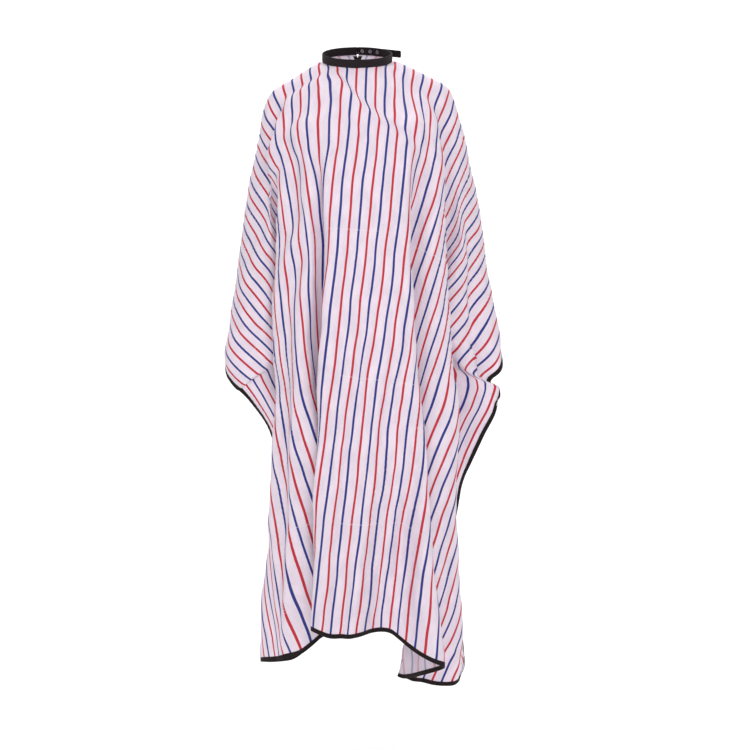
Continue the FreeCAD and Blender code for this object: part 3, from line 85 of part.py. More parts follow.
 [(-77,72,-92),(-56,88,-105),(-35,103,-118),(-13,116,-132),(10,117,-150),(31,115,-168),(53,113,-187),(74,109,-205),(95,102,-223),(114,100,-241),(133,106,-257),(150,119,-273),(166,133,-289),(183,143,-306),(201,146,-326),(220,140,-350),(235,119,-367),(232,91,-375),(210,74,-373),(181,69,-363),(156,60,-355),(153,41,-350),(173,31,-350),(198,42,-352),(219,64,-357),(243,75,-365),(266,67,-377),(278,43,-394),(281,16,-412),(277,-8,-432),(265,-26,-453),(249,-40,-476),(232,-52,-499),(215,-60,-523),(196,-61,-547),(179,-52,-571),(164,-38,-596),(154,-27,-622),(150,-21,-651),(151,-19,-681),(156,-21,-711),(164,-27,-741),(173,-36,-772),(183,-45,-804),(191,-54,-835),(200,-63,-867),(212,-68,-897),(211,-73,-915),(210,-79,-933),(214,-90,-950),(209,-106,-963),(194,-117,-972),(176,-128,-975),(159,-132,-973),(142,-129,-967),(127,-122,-959),(118,-112,-951),(121,-97,-942),(134,-101,-936),(139,-116,-928),(142,-133,-920),(148,-147,-912),(149,-160,-903),(135,-161,-896),(117,-163,-891),(98,-164,-888),(82,-161,-888),(63,-167,-887),(45,-178,-886),(29,-185,-885),(11,-178,-884),(-8,-173,-883),(-25,-178,-880),(-42,-180,-877),(-60,-174,-874),(-78,-176,-875),(-83,-161,-876),(-76,-145,-877),(-63,-130,-878),(-48,-117,-878),(-41,-100,-878),(-50,-93,-880),(-63,-98,-883),(-71,-115,-885),(-76,-133,-888),(-92,-139,-891),(-110,-138,-894),(-129,-133,-898),(-147,-124,-903),(-161,-111,-909),(-176,-98,-917),(-189,-84,-926),(-192,-67,-934),(-178,-55,-939),(-162,-44,-945),(-144,-34,-950),(-127,-23,-952),(-110,-13,-951),(-93,-4,-945),(-77,3,-935),(-63,6,-922),(-52,8,-906),(-46,9,-887),(-42,10,-868),(-44,13,-835),(-52,13,-803),(-60,9,-773),(-68,0,-745),(-79,-11,-719),(-95,-15,-695),(-115,-13,-671),(-135,-12,-648),(-153,-19,-626),(-167,-31,-604),(-181,-45,-582),(-197,-52,-561),(-213,-44,-540),(-229,-34,-521),(-244,-25,-502),(-255,-9,-481),(-260,14,-459),(-262,39,-437),(-258,65,-416),(-248,89,-396),(-228,100,-381),(-209,91,-373),(-196,67,-371),(-180,43,-373),(-160,40,-375),(-154,56,-380),(-172,74,-387),(-196,92,-396),(-204,116,-398),(-189,138,-390),(-164,143,-374),(-144,138,-351),(-126,130,-328),(-110,123,-307),(-93,118,-286),(-77,117,-264),(-61,120,-242),(-45,124,-219),(-32,132,-195),(-23,144,-171),(-15,156,-146),(1,158,-124),(18,142,-114),(26,115,-114),(49,101,-103),(71,87,-92)],
 [(-86,74,-104),(-64,91,-118),(-39,106,-133),(-17,120,-148),(7,120,-167),(31,118,-187),(54,115,-208),(76,109,-228),(98,102,-248),(119,103,-267),(138,114,-284),(156,130,-301),(174,145,-319),(192,153,-339),(211,151,-363),(230,141,-390),(242,116,-410),(234,86,-420),(207,71,-418),(174,69,-407),(149,59,-398),(148,37,-393),(172,27,-393),(197,43,-396),(217,71,-401),(241,86,-409),(267,77,-422),(282,52,-440),(288,22,-459),(287,-5,-480),(274,-25,-503),(256,-38,-528),(236,-49,-554),(218,-59,-581),(200,-57,-606),(183,-46,-630),(169,-33,-656),(156,-29,-684),(150,-25,-716),(149,-19,-749),(155,-16,-783),(163,-13,-816),(174,-15,-850),(185,-18,-884),(198,-23,-917),(197,-30,-951),(202,-38,-985),(208,-42,-1005),(213,-49,-1025),(219,-59,-1042),(216,-74,-1056),(201,-90,-1068),(183,-108,-1076),(163,-121,-1076),(145,-121,-1069),(130,-116,-1060),(117,-108,-1051),(127,-96,-1042),(136,-100,-1033),(144,-114,-1025),(147,-133,-1017),(153,-151,-1007),(155,-166,-997),(140,-167,-987),(122,-157,-978),(103,-153,-972),(85,-160,-970),(66,-163,-969),(46,-175,-969),(27,-190,-969),(9,-186,-969),(-11,-179,-968),(-30,-180,-966),(-49,-186,-961),(-70,-182,-956),(-89,-175,-959),(-83,-158,-961),(-70,-141,-962),(-55,-126,-962),(-40,-111,-962),(-30,-97,-961),(-41,-82,-963),(-56,-94,-966),(-62,-113,-968),(-71,-131,-970),(-88,-137,-972),(-108,-135,-976),(-129,-133,-982),(-148,-121,-989),(-166,-107,-1001),(-183,-93,-1013),(-196,-76,-1022),(-193,-59,-1028),(-178,-44,-1034),(-159,-32,-1039),(-139,-19,-1043),(-119,-7,-1046),(-101,5,-1045),(-82,15,-1038),(-64,20,-1027),(-53,29,-1011),(-49,37,-991),(-52,39,-970),(-52,40,-950),(-56,38,-915),(-60,29,-881),(-65,17,-848),(-76,10,-817),(-86,-2,-790),(-96,-16,-765),(-112,-18,-740),(-131,-12,-714),(-148,-14,-689),(-161,-30,-665),(-176,-46,-642),(-195,-52,-619),(-217,-50,-597),(-237,-36,-575),(-254,-21,-553),(-266,-4,-531),(-269,21,-508),(-267,50,-485),(-263,78,-462),(-249,103,-440),(-226,116,-423),(-204,103,-415),(-195,73,-415),(-183,44,-416),(-159,36,-419),(-150,53,-424),(-168,73,-431),(-196,88,-441),(-211,113,-442),(-198,140,-434),(-173,150,-415),(-151,146,-388),(-132,137,-364),(-114,129,-341),(-96,123,-317),(-79,121,-293),(-61,123,-269),(-46,130,-243),(-30,137,-218),(-21,150,-191),(-12,163,-164),(4,166,-140),(23,149,-128),(31,121,-128),(54,103,-117),(79,89,-105)],
 [(-95,75,-116),(-71,94,-131),(-45,110,-147),(-21,123,-163),(4,122,-185),(29,120,-207),(54,116,-229),(78,108,-251),(102,102,-272),(123,109,-292),(143,124,-311),(161,142,-330),(181,156,-350),(202,158,-374),(221,156,-401),(239,141,-431),(247,112,-454),(234,80,-464),(203,68,-462),(167,71,-451),(141,58,-442),(142,32,-437),(171,23,-437),(197,44,-440),(214,77,-444),(240,95,-453),(269,88,-467),(286,61,-486),(294,28,-507),(295,-3,-529),(284,-25,-555),(265,-38,-585),(244,-45,-615),(225,-54,-642),(208,-49,-662),(195,-34,-684),(187,-32,-710),(179,-34,-743),(171,-28,-779),(165,-21,-816),(163,-11,-854),(168,1,-891),(180,13,-926),(195,11,-961),(199,2,-998),(202,-7,-1036),(205,-15,-1072),(208,-21,-1094),(215,-27,-1114),(223,-38,-1132),(224,-53,-1147),(211,-68,-1160),(192,-79,-1167),(171,-96,-1171),(155,-98,-1169),(138,-99,-1161),(121,-97,-1151),(123,-91,-1142),(140,-93,-1132),(152,-112,-1122),(155,-133,-1113),(161,-153,-1103),(164,-172,-1091),(146,-181,-1080),(125,-162,-1069),(103,-144,-1057),(84,-152,-1052),(66,-160,-1051),(44,-169,-1051),(24,-185,-1052),(5,-194,-1053),(-16,-185,-1053),(-37,-180,-1051),(-56,-189,-1045),(-78,-188,-1039),(-93,-171,-1044),(-79,-156,-1046),(-61,-140,-1046),(-45,-124,-1047),(-26,-110,-1045),(-18,-92,-1045),(-28,-84,-1046),(-44,-94,-1049),(-54,-114,-1050),(-65,-129,-1051),(-86,-131,-1053),(-106,-139,-1060),(-127,-130,-1068),(-150,-118,-1084),(-172,-103,-1100),(-191,-87,-1109),(-203,-68,-1116),(-197,-50,-1121),(-178,-34,-1126),(-156,-20,-1131),(-134,-6,-1136),(-112,8,-1139),(-92,19,-1135),(-71,27,-1125),(-64,42,-1104),(-64,54,-1080),(-73,54,-1057),(-77,51,-1035),(-79,47,-1015),(-82,39,-980),(-88,31,-946),(-86,12,-915),(-87,-3,-883),(-99,1,-851),(-110,-8,-826),(-118,-26,-804),(-135,-28,-777),(-154,-21,-746),(-170,-23,-716),(-180,-39,-692),(-193,-52,-676),(-217,-47,-654),(-243,-37,-630),(-263,-20,-606),(-274,2,-580),(-278,29,-556),(-274,61,-531),(-266,91,-507),(-250,118,-484),(-224,130,-466),(-199,115,-458),(-193,80,-458),(-185,45,-460),(-160,33,-462),(-146,50,-467),(-162,72,-476),(-195,85,-486),(-216,109,-486),(-207,141,-476),(-182,156,-456),(-158,153,-426),(-138,144,-399),(-119,135,-374),(-100,127,-349),(-81,125,-323),(-62,127,-296),(-45,134,-268),(-30,143,-240),(-19,156,-211),(-8,170,-182),(8,176,-155),(29,159,-139),(38,128,-140),(60,106,-131),(86,91,-118)],
 [(-103,76,-129),(-77,96,-144),(-51,115,-161),(-25,128,-179),(1,124,-203),(28,121,-226),(55,116,-250),(80,107,-274),(105,104,-297),(127,115,-318),(147,135,-338),(167,154,-359),(189,165,-382),(211,166,-408),(230,158,-439),(247,141,-472),(251,108,-495),(238,76,-518),(199,66,-506),(161,71,-495),(133,57,-485),(137,27,-480),(170,19,-481),(196,45,-484),(211,83,-488),(238,107,-496),(269,99,-512),(289,69,-533),(300,34,-558),(307,0,-586),(298,-26,-617),(278,-35,-648),(253,-39,-675),(237,-45,-697),(234,-38,-709),(235,-41,-727),(233,-45,-761),(219,-38,-800),(203,-29,-840),(191,-19,-882),(181,-11,-925),(176,3,-966),(187,21,-1004),(204,28,-1042),(210,20,-1081),(209,12,-1121),(208,2,-1161),(211,-3,-1184),(216,-11,-1206),(225,-22,-1226),(230,-38,-1241),(219,-51,-1252),(199,-63,-1259),(178,-72,-1262),(157,-68,-1259),(141,-73,-1256),(119,-86,-1251),(114,-83,-1240),(135,-87,-1231),(150,-111,-1220),(161,-134,-1210),(170,-154,-1199),(174,-174,-1188),(154,-187,-1175),(128,-177,-1163),(108,-148,-1149),(86,-143,-1136),(64,-155,-1133),(46,-160,-1133),(22,-181,-1135),(2,-201,-1137),(-18,-190,-1137),(-42,-182,-1138),(-61,-193,-1129),(-85,-190,-1122),(-92,-167,-1129),(-71,-156,-1131),(-51,-140,-1131),(-33,-122,-1132),(-12,-109,-1129),(3,-91,-1127),(-14,-81,-1129),(-31,-96,-1131),(-41,-117,-1131),(-63,-120,-1131),(-81,-134,-1139),(-104,-134,-1147),(-130,-128,-1165),(-157,-116,-1185),(-181,-100,-1195),(-201,-81,-1203),(-210,-59,-1208),(-201,-39,-1212),(-179,-22,-1218),(-154,-7,-1223),(-129,8,-1226),(-106,22,-1224),(-83,30,-1208),(-73,45,-1185),(-79,57,-1163),(-92,51,-1146),(-97,42,-1126),(-98,35,-1105),(-101,30,-1084),(-99,20,-1049),(-105,13,-1014),(-116,9,-978),(-116,-7,-945),(-117,-5,-913),(-125,8,-883),(-137,-9,-860),(-147,-30,-835),(-162,-37,-803),(-183,-35,-766),(-201,-34,-731),(-210,-39,-712),(-221,-43,-706),(-248,-35,-684),(-274,-20,-657),(-285,6,-630),(-284,37,-604),(-277,71,-578),(-267,103,-552),(-249,133,-527),(-220,145,-508),(-194,126,-500),(-190,87,-501),(-187,48,-504),(-160,29,-506),(-141,47,-511),(-157,71,-520),(-194,81,-529),(-223,108,-540),(-215,140,-517),(-189,160,-496),(-164,161,-464),(-143,152,-434),(-123,141,-407),(-103,132,-380),(-82,128,-352),(-62,130,-323),(-44,137,-293),(-29,148,-263),(-16,162,-232),(-5,176,-200),(12,184,-170),(35,168,-152),(45,135,-152),(65,109,-145),(93,92,-131)],
 [(-110,75,-141),(-83,96,-157),(-56,119,-173),(-29,131,-193),(-1,125,-219),(27,122,-244),(55,114,-270),(82,106,-295),(107,108,-319),(130,123,-341),(151,145,-363),(172,164,-386),(196,171,-412),(219,170,-441),(239,160,-474),(253,139,-509),(255,107,-537),(234,70,-553),(195,65,-548),(155,71,-537),(126,55,-525),(133,23,-520),(169,17,-521),(195,47,-525),(209,89,-529),(236,115,-537),(270,108,-555),(293,77,-583),(310,41,-612),(320,4,-642),(311,-23,-672),(289,-30,-699),(270,-35,-719),(277,-42,-727),(287,-49,-737),(286,-53,-768),(272,-45,-809),(251,-31,-851),(233,-18,-895),(218,-11,-941),(208,-4,-987),(200,3,-1032),(195,21,-1076),(209,39,-1116),(225,41,-1156),(225,32,-1199),(216,29,-1242),(216,24,-1267),(220,16,-1292),(228,-2,-1313),(233,-26,-1329),(223,-43,-1341),(197,-49,-1342),(172,-52,-1342),(151,-64,-1340),(133,-51,-1336),(111,-65,-1331),(101,-67,-1329),(122,-79,-1322),(140,-107,-1311),(156,-134,-1299),(176,-154,-1287),(183,-174,-1276),(165,-191,-1265),(137,-183,-1251),(112,-161,-1237),(90,-149,-1221),(67,-149,-1212),(45,-153,-1211),(23,-176,-1213),(-1,-199,-1215),(-21,-192,-1216),(-46,-187,-1217),(-68,-197,-1209),(-92,-190,-1200),(-87,-165,-1208),(-63,-156,-1210),(-42,-139,-1211),(-21,-122,-1210),(2,-108,-1207),(14,-94,-1204),(1,-84,-1205),(-17,-99,-1206),(-34,-111,-1206),(-55,-120,-1211),(-76,-133,-1219),(-101,-132,-1237),(-128,-125,-1259),(-158,-113,-1272),(-185,-96,-1281),(-205,-76,-1287),(-215,-52,-1291),(-200,-31,-1297),(-176,-13,-1302),(-149,4,-1304),(-123,20,-1301),(-99,33,-1282),(-76,43,-1261),(-83,55,-1253),(-101,49,-1240),(-107,33,-1225),(-112,28,-1203),(-111,28,-1179),(-110,23,-1156),(-110,7,-1122),(-124,3,-1083),(-138,1,-1044),(-149,-1,-1005),(-154,-5,-964),(-140,11,-940),(-151,15,-913),(-162,-10,-889),(-174,-22,-855),(-191,-25,-816),(-213,-26,-776),(-237,-28,-742),(-243,-29,-732),(-253,-29,-728),(-280,-16,-705),(-296,10,-676),(-291,44,-649),(-278,79,-622),(-265,114,-595),(-246,145,-568),(-216,157,-548),(-191,136,-540),(-188,94,-541),(-187,51,-544),(-161,28,-546),(-138,44,-552),(-154,68,-561),(-193,79,-571),(-224,100,-575),(-220,141,-560),(-197,164,-532),(-171,167,-499),(-148,159,-467),(-127,148,-438),(-105,136,-409),(-84,131,-379),(-63,133,-348),(-44,141,-316),(-28,153,-283),(-14,167,-250),(-1,182,-217),(16,191,-184),(41,176,-164),(51,141,-164),(70,111,-158),(99,93,-143)],
 [(-110,75,-141),(-84,97,-158),(-57,119,-174),(-30,132,-195),(-2,125,-221),(27,122,-248),(55,114,-274),(82,107,-300),(108,109,-325),(131,126,-349),(152,149,-371),(175,168,-396),(199,175,-424),(223,172,-455),(242,161,-489),(255,138,-525),(256,106,-557),(232,68,-571),(193,65,-567),(152,70,-556),(127,53,-545),(134,24,-540),(167,19,-541),(193,48,-544),(209,90,-548),(236,116,-557),(269,110,-578),(295,80,-608),(315,43,-639),(324,6,-669),(319,-21,-695),(299,-29,-718),(294,-36,-731),(308,-46,-738),(311,-49,-755),(304,-48,-791),(284,-36,-834),(264,-20,-879),(244,-6,-925),(229,6,-972),(221,11,-1020),(215,17,-1067),(207,21,-1114),(209,47,-1157),(223,57,-1200),(232,50,-1244),(235,39,-1284),(239,33,-1310),(241,28,-1336),(240,16,-1361),(234,-7,-1379),(222,-36,-1391),(198,-46,-1394),(171,-48,-1392),(145,-53,-1386),(123,-59,-1381),(102,-53,-1375),(94,-55,-1374),(111,-71,-1372),(128,-105,-1362),(149,-134,-1351),(174,-156,-1339),(187,-176,-1327),(171,-193,-1317),(140,-188,-1303),(115,-166,-1288),(91,-154,-1271),(68,-149,-1258),(45,-149,-1257),(22,-172,-1258),(-2,-196,-1260),(-24,-195,-1262),(-49,-190,-1263),(-73,-197,-1255),(-94,-188,-1246),(-84,-167,-1254),(-59,-155,-1257),(-36,-139,-1257),(-14,-123,-1256),(10,-109,-1252),(24,-94,-1249),(11,-85,-1249),(-7,-100,-1250),(-30,-108,-1251),(-50,-122,-1258),(-73,-135,-1268),(-98,-132,-1291),(-127,-124,-1312),(-158,-112,-1322),(-185,-94,-1330),(-206,-73,-1335),(-209,-49,-1341),(-196,-27,-1346),(-173,-7,-1349),(-145,11,-1348),(-119,28,-1333),(-92,38,-1312),(-80,50,-1305),(-92,42,-1300),(-96,22,-1287),(-110,12,-1270),(-110,8,-1247),(-108,9,-1222),(-113,8,-1198),(-128,7,-1160),(-130,16,-1122),(-138,20,-1080),(-147,19,-1037),(-153,17,-995),(-164,15,-956),(-158,28,-942),(-171,4,-917),(-180,-8,-882),(-193,-9,-840),(-215,-10,-800),(-242,-16,-765),(-257,-20,-746),(-262,-20,-744),(-279,-10,-728),(-296,14,-699),(-293,47,-671),(-279,84,-643),(-263,119,-615),(-243,151,-588),(-215,161,-568),(-191,140,-559),(-187,98,-560),(-185,54,-563),(-160,31,-566),(-140,44,-571),(-153,66,-581),(-191,79,-590),(-224,98,-592),(-222,141,-578),(-200,165,-549),(-174,171,-514),(-150,163,-481),(-128,151,-451),(-106,138,-420),(-84,132,-389),(-63,134,-356),(-44,142,-323),(-28,155,-289),(-13,168,-255),(0,183,-220),(17,192,-186),(41,177,-165),(52,142,-165),(71,111,-158),(100,93,-144)],
 [(-115,75,-149),(-88,97,-166),(-60,122,-182),(-32,133,-203),(-3,126,-230),(26,122,-257),(55,114,-283),(83,107,-309),(109,112,-334),(132,129,-357),(153,153,-380),(176,170,-404),(201,177,-432),(225,173,-463),(244,161,-498),(258,133,-540),(257,105,-566),(234,69,-579),(199,64,-577),(152,68,-565),(126,52,-554),(134,25,-549),(166,20,-550),(192,49,-553),(209,91,-557),(235,117,-567),(269,112,-589),(297,82,-619),(317,45,-650),(326,7,-678),(323,-20,-703),(304,-29,-723),(304,-36,-735),(318,-47,-742),(317,-49,-761),(309,-47,-797),(287,-32,-841),(267,-16,-886),(246,0,-933),(232,10,-980),(224,15,-1028),(218,15,-1075),(207,21,-1122),(208,51,-1165),(224,61,-1209),(235,52,-1252),(239,41,-1292),(244,35,-1313),(245,33,-1337),(241,15,-1376),(234,0,-1386),(223,-32,-1400),(190,-47,-1403),(167,-49,-1400),(144,-52,-1394),(122,-59,-1389),(101,-50,-1383),(93,-55,-1382),(108,-70,-1381),(127,-104,-1372),(148,-133,-1360),(173,-156,-1348),(186,-177,-1336),(171,-193,-1326),(141,-188,-1312),(115,-167,-1298),(91,-155,-1281),(68,-149,-1267),(45,-149,-1265),(22,-171,-1267),(-2,-196,-1269),(-25,-196,-1271),(-49,-191,-1272),(-74,-196,-1264),(-94,-188,-1255),(-84,-168,-1263),(-59,-155,-1266),(-35,-139,-1266),(-12,-123,-1265),(12,-110,-1261),(24,-93,-1258),(13,-87,-1258),(-7,-99,-1259),(-29,-107,-1259),(-49,-122,-1267),(-72,-134,-1277),(-98,-132,-1301),(-126,-124,-1321),(-158,-111,-1331),(-186,-94,-1339),(-206,-73,-1344),(-210,-49,-1349),(-197,-25,-1355),(-173,-6,-1358),(-145,13,-1356),(-118,28,-1340),(-95,39,-1321),(-79,48,-1314),(-93,37,-1309),(-97,16,-1294),(-106,10,-1284),(-108,3,-1248),(-105,5,-1226),(-111,4,-1205),(-130,6,-1167),(-134,17,-1129),(-139,24,-1088),(-146,24,-1044),(-152,22,-1001),(-165,20,-962),(-161,28,-949),(-173,6,-926),(-183,-6,-890),(-194,-4,-847),(-215,-5,-807),(-243,-11,-771),(-261,-17,-751),(-266,-17,-748),(-280,-8,-735),(-296,15,-708),(-294,49,-680),(-280,85,-652),(-262,121,-624),(-242,152,-597),(-214,163,-576),(-191,142,-568),(-186,99,-569),(-183,55,-572),(-161,32,-575),(-141,43,-580),(-154,65,-590),(-197,81,-600),(-225,100,-600),(-223,141,-586),(-206,163,-563),(-180,173,-528),(-151,166,-490),(-129,153,-459),(-107,140,-429),(-85,133,-398),(-63,134,-365),(-43,143,-332),(-27,156,-298),(-12,171,-263),(2,186,-229),(19,196,-194),(44,181,-173),(55,145,-172),(74,113,-166),(104,93,-152)],
]

N_ROW = len(DRAPE)
N_COL = len(DRAPE[0])


# ------------------------------------------------------------- ring geometry
def ring_local(r, phi_deg, h):
    """Point in the ring's own frame: axis +Z, phi from back centre (+Y) towards +X."""
    p = math.radians(phi_deg)
    return V(r * math.sin(p), r * math.cos(p), h)


RING_PLACE = FreeCAD.Placement(V(0, 0, 0), FreeCAD.Rotation(V(1, 0, 0), NECK_TILT))


def to_row(shape):
    """Tilt a shape from the ring's frame into the part's frame."""
    s = shape.copy()
    s.Placement = RING_PLACE.multiply(s.Placement)
    return s


def ring_sweep(profile, phi0, phi1):
    """Revolve a closed (r, h) profile from phi0 to phi1 (degrees, towards +X)."""
    pts = [V(0, r, h) for r, h in profile]
    face = Part.Face(Part.makePolygon(pts + [pts[0]]))
    # phi runs clockwise seen from above: start the face at phi1 and turn back
    face.rotate(V(0, 0, 0), V(0, 0, 1), -phi1)
    return face.revolve(V(0, 0, 0), V(0, 0, 1), phi1 - phi0)


def disc(r, d0, d1, phi, h=0.0, hole=0.0):
    """Flat round disc on the radial line at phi, from distance d0 to d1."""
    n = ring_local(1.0, phi, 0.0)
    base = V(n.x * d0, n.y * d0, h)
    s = Part.makeCylinder(r, d1 - d0, base, n)
    if hole > 0:
        s = s.cut(Part.makeCylinder(hole, d1 - d0 + 2, V(n.x * (d0 - 1), n.y * (d0 - 1), h), n))
    return s


def turned(profile, phi, h=0.0):
    """Body turned about the radial line at phi from a closed (distance, radius) profile."""
    n = ring_local(1.0, phi, 0.0)
    t = V(n.y, -n.x, 0)
    pts = [V(n.x * d + t.x * r, n.y * d + t.y * r, h) for d, r in profile]
    face = Part.Face(Part.makePolygon(pts + [pts[0]]))
    return face.revolve(V(0, 0, h), n, 360)


# ----------------------------------------------------------- cloth surfaces
def knots(n, deg):
    m = n - deg + 1
    mult = [deg + 1] + [1] * (m - 2) + [deg + 1]
    return [float(i) for i in range(m)], mult


def surf(rows, du=3, dv=3):
    """B-spline surface with rows[v][u] as poles."""
    nu, nv = len(rows[0]), len(rows)
    dv = min(dv, nv - 1)
    poles = [[rows[v][u] for v in range(nv)] for u in range(nu)]
    ku, mu = knots(nu, du)
    kv, mv = knots(nv, dv)
    s = Part.BSplineSurface()
    s.buildFromPolesMultsKnots(poles, mu, mv, ku, kv, False, False, du, dv)
    return s.toShape()


def strip(a, b, deg=3):
    """Ruled face between two pole lines of the same length."""
    n = len(a)
    d = min(deg, n - 1)
    k, m = knots(n, d)
    s = Part.BSplineSurface()
    s.buildFromPolesMultsKnots([[a[i], b[i]] for i in range(n)], m, [2, 2], k, [0.0, 1.0], False, False, d, 1)
    return s.toShape()


def make_solid(faces, name):
    sh = Part.Shell(faces)
    sh.sewShape()
    if sh.ShapeType != "Shell":
        sh = sh.Shells[0]
    so = Part.Solid(sh)
    if so.Volume < 0:
        so.reverse()
    if not so.isValid():
        so.fix(1e-3, 1e-3, 1e-3)
    print(name, "valid", so.isValid(), "closed", so.isClosed(), "volume", round(so.Volume, 1))
    return so


MID = [[V(*p) for p in row] for row in DRAPE]


def unit(v):
    l = v.Length
    return V(v.x / l, v.y / l, v.z / l) if l > 1e-9 else V(0, 0, 1)


def normals(mid):
    nr, nc = len(mid), len(mid[0])
    out = []
    for j in range(nr):
        row = []
        for i in range(nc):
            du = mid[j][min(i + 1, nc - 1)].sub(mid[j][max(i - 1, 0)])
            dv = mid[min(j + 1, nr - 1)][i].sub(mid[max(j - 1, 0)][i])
            row.append(unit(du.cross(dv)))
        out.append(row)
    return out


NRM = normals(MID)


def off(j, i, n, t=0.0, tdir=None):
    """Pole (j, i) moved n along the cloth's normal and t along tdir."""
    p = MID[j][i]
    q = V(p.x + NRM[j][i].x * n, p.y + NRM[j][i].y * n, p.z + NRM[j][i].z * n)
    if tdir is not None:
        q = V(q.x + tdir.x * t, q.y + tdir.y * t, q.z + tdir.z * t)
    return q


def save(name, shape):
    shape.exportStep("parts/%s.step" % name)
    print(name, "solids", len(shape.Solids), "vol", round(shape.Volume, 2))


# ------------------------------------------------------------- cape panel
h = CLOTH_T / 2
rows_all = range(N_ROW)
top = [[off(j, i, h) for i in range(N_COL)] for j in rows_all]
bot = [[off(j, i, -h) for i in range(N_COL)] for j in rows_all]


def col(g, i):
    return [g[j][i] for j in range(len(g))]


panel = make_solid([
    surf(top), surf(bot),
    strip(top[0], bot[0]), strip(top[-1], bot[-1]),
    strip(col(top, 0), col(bot, 0)), strip(col(top, -1), col(bot, -1)),
], "cape_panel")
save("cape_panel", panel)


# --------------------------------------------- edge tape: folded U section
def tape(lines_in, lines_edge, normal, name):
    """Folded tape along an edge. lines_in / lines_edge are pole lines 9 mm apart."""
    n = len(lines_edge)
    sec = []
    for i in range(n):
        t = unit(lines_edge[i].sub(lines_in[i]))
        w = normal[i]
        w = unit(w.sub(V(t.x * t.dot(w), t.y * t.dot(w), t.z * t.dot(w))))
        e = lines_edge[i]
        a = h + 0.02
        o = h + TAPE_T

        def P(s, q):
            return V(e.x + t.x * s + w.x * q, e.y + t.y * s + w.y * q, e.z + t.z * s + w.z * q)
        sec.append([P(-TAPE_WIDTH, a), P(-TAPE_WIDTH, o), P(TAPE_LIP, o), P(TAPE_LIP, -o),
                    P(-TAPE_WIDTH, -o), P(-TAPE_WIDTH, -a), P(0.05, -a), P(0.05, a)])
    faces = []
    for k in range(8):
        faces.append(strip([s[k] for s in sec], [s[(k + 1) % 8] for s in sec]))
    for s in (sec[0], sec[-1]):
        faces.append(Part.Face(Part.makePolygon(s + [s[0]])))
    return make_solid(faces, name)


hem = tape(MID[-2], MID[-1], NRM[-1], "hem_binding")
save("hem_binding", hem)

# slit tapes: along the first and last columns, from just under the band to the hem tape
for name, i0, i1 in (("slit_binding_right", 0, 1), ("slit_binding_left", N_COL - 1, N_COL - 2)):
    edge, inner, nr = [], [], []
    for j in range(4, N_ROW - 1):
        e = MID[j][i0]
        d = unit(MID[j][i1].sub(e))
        p = e
        if j == 4:                      # start clear of the band's lower edge
            q = MID[5][i0]
            p = V(e.x + (q.x - e.x) * 0.6, e.y + (q.y - e.y) * 0.6, e.z + (q.z - e.z) * 0.6)
        if j == N_ROW - 2:              # stop at the hem tape
            q = MID[N_ROW - 3][i0]
            u = unit(q.sub(e))
            p = V(e.x + u.x * 0.4, e.y + u.y * 0.4, e.z + u.z * 0.4)
        edge.append(p)
        inner.append(V(p.x + d.x * TAPE_WIDTH, p.y + d.y * TAPE_WIDTH, p.z + d.z * TAPE_WIDTH))
        nr.append(NRM[j][i0])
    save(name, tape(inner, edge, nr, name))

# -------------------------------------------------------------- neck band
hb = BAND_H / 2
band_profile = [(BAND_R_IN, -hb), (BAND_R_IN, hb - 0.5), (BAND_R_IN + 0.5, hb), (BAND_R_OUT - 0.5, hb),
                (BAND_R_OUT, hb - 0.5), (BAND_R_OUT, -hb), (SLOT_R_OUT, -hb), (SLOT_R_OUT, hb - BAND_WALL),
                (SLOT_R_IN, hb - BAND_WALL), (SLOT_R_IN, -hb)]
PHI_R, PHI_L = BAND_GAP_DEG, 360.0 - BAND_GAP_DEG
band = ring_sweep(band_profile, PHI_R, PHI_L)
interl = ring_sweep([(SLOT_R_IN + 0.05, CLOTH_TUCK_H + 1.5), (SLOT_R_IN + 0.05, hb - BAND_WALL - 0.1),
                     (SLOT_R_OUT - 0.05, hb - BAND_WALL - 0.1), (SLOT_R_OUT - 0.05, CLOTH_TUCK_H + 1.5)],
                    PHI_R + 0.4, PHI_L - 0.4)
for p in SOCKET_PHI:
    cutter = disc(SNAP_HOLE_R, BAND_R_IN - 3, BAND_R_OUT + 3, p)
    band = band.cut(cutter)
    interl = interl.cut(cutter)
save("neck_band", to_row(band))
save("neck_interlining", to_row(interl))

# ------------------------------------------------------------ closing strap
hs = STRAP_H / 2
r0, r1 = STRAP_R_IN, STRAP_R_IN + STRAP_T
root = ring_sweep([(BAND_R_OUT + 0.05, -hs), (BAND_R_OUT + 0.05, hs), (r1, hs), (r1, -hs)], *STRAP_ROOT_PHI)
strap = ring_sweep([(r0, -hs), (r0, hs), (r1, hs), (r1, -hs)], *STRAP_PHI)
for p in STUD_PHI:
    strap = strap.cut(disc(STUD_FLANGE_R + 0.2, BAND_R_IN, r0 + 0.55, p))
    strap = strap.cut(disc(STEM_R + 0.2, BAND_R_IN, r1 + 3, p))
n = ring_local(1, TAIL_PHI, 0)
t = V(n.y, -n.x, 0)                      # tangent, pointing away from the root
tip = 5.0
o = V(n.x * r0, n.y * r0, 0)


def tail_pt(s, d, z):
    return V(o.x + t.x * s + n.x * d, o.y + t.y * s + n.y * d, z)


outline = [(TAIL_GAP, -hs), (TAIL_LEN - tip, -hs), (TAIL_LEN, -hs + tip), (TAIL_LEN, hs - tip), (TAIL_LEN - tip, hs), (TAIL_GAP, hs)]
tf = Part.Face(Part.makePolygon([tail_pt(s, 0, z) for s, z in outline] + [tail_pt(outline[0][0], 0, outline[0][1])]))
tail = tf.extrude(V(n.x * STRAP_T, n.y * STRAP_T, 0))
save("closure_strap_root", to_row(root))
save("closure_strap", to_row(strap))
save("closure_strap_tail", to_row(tail))

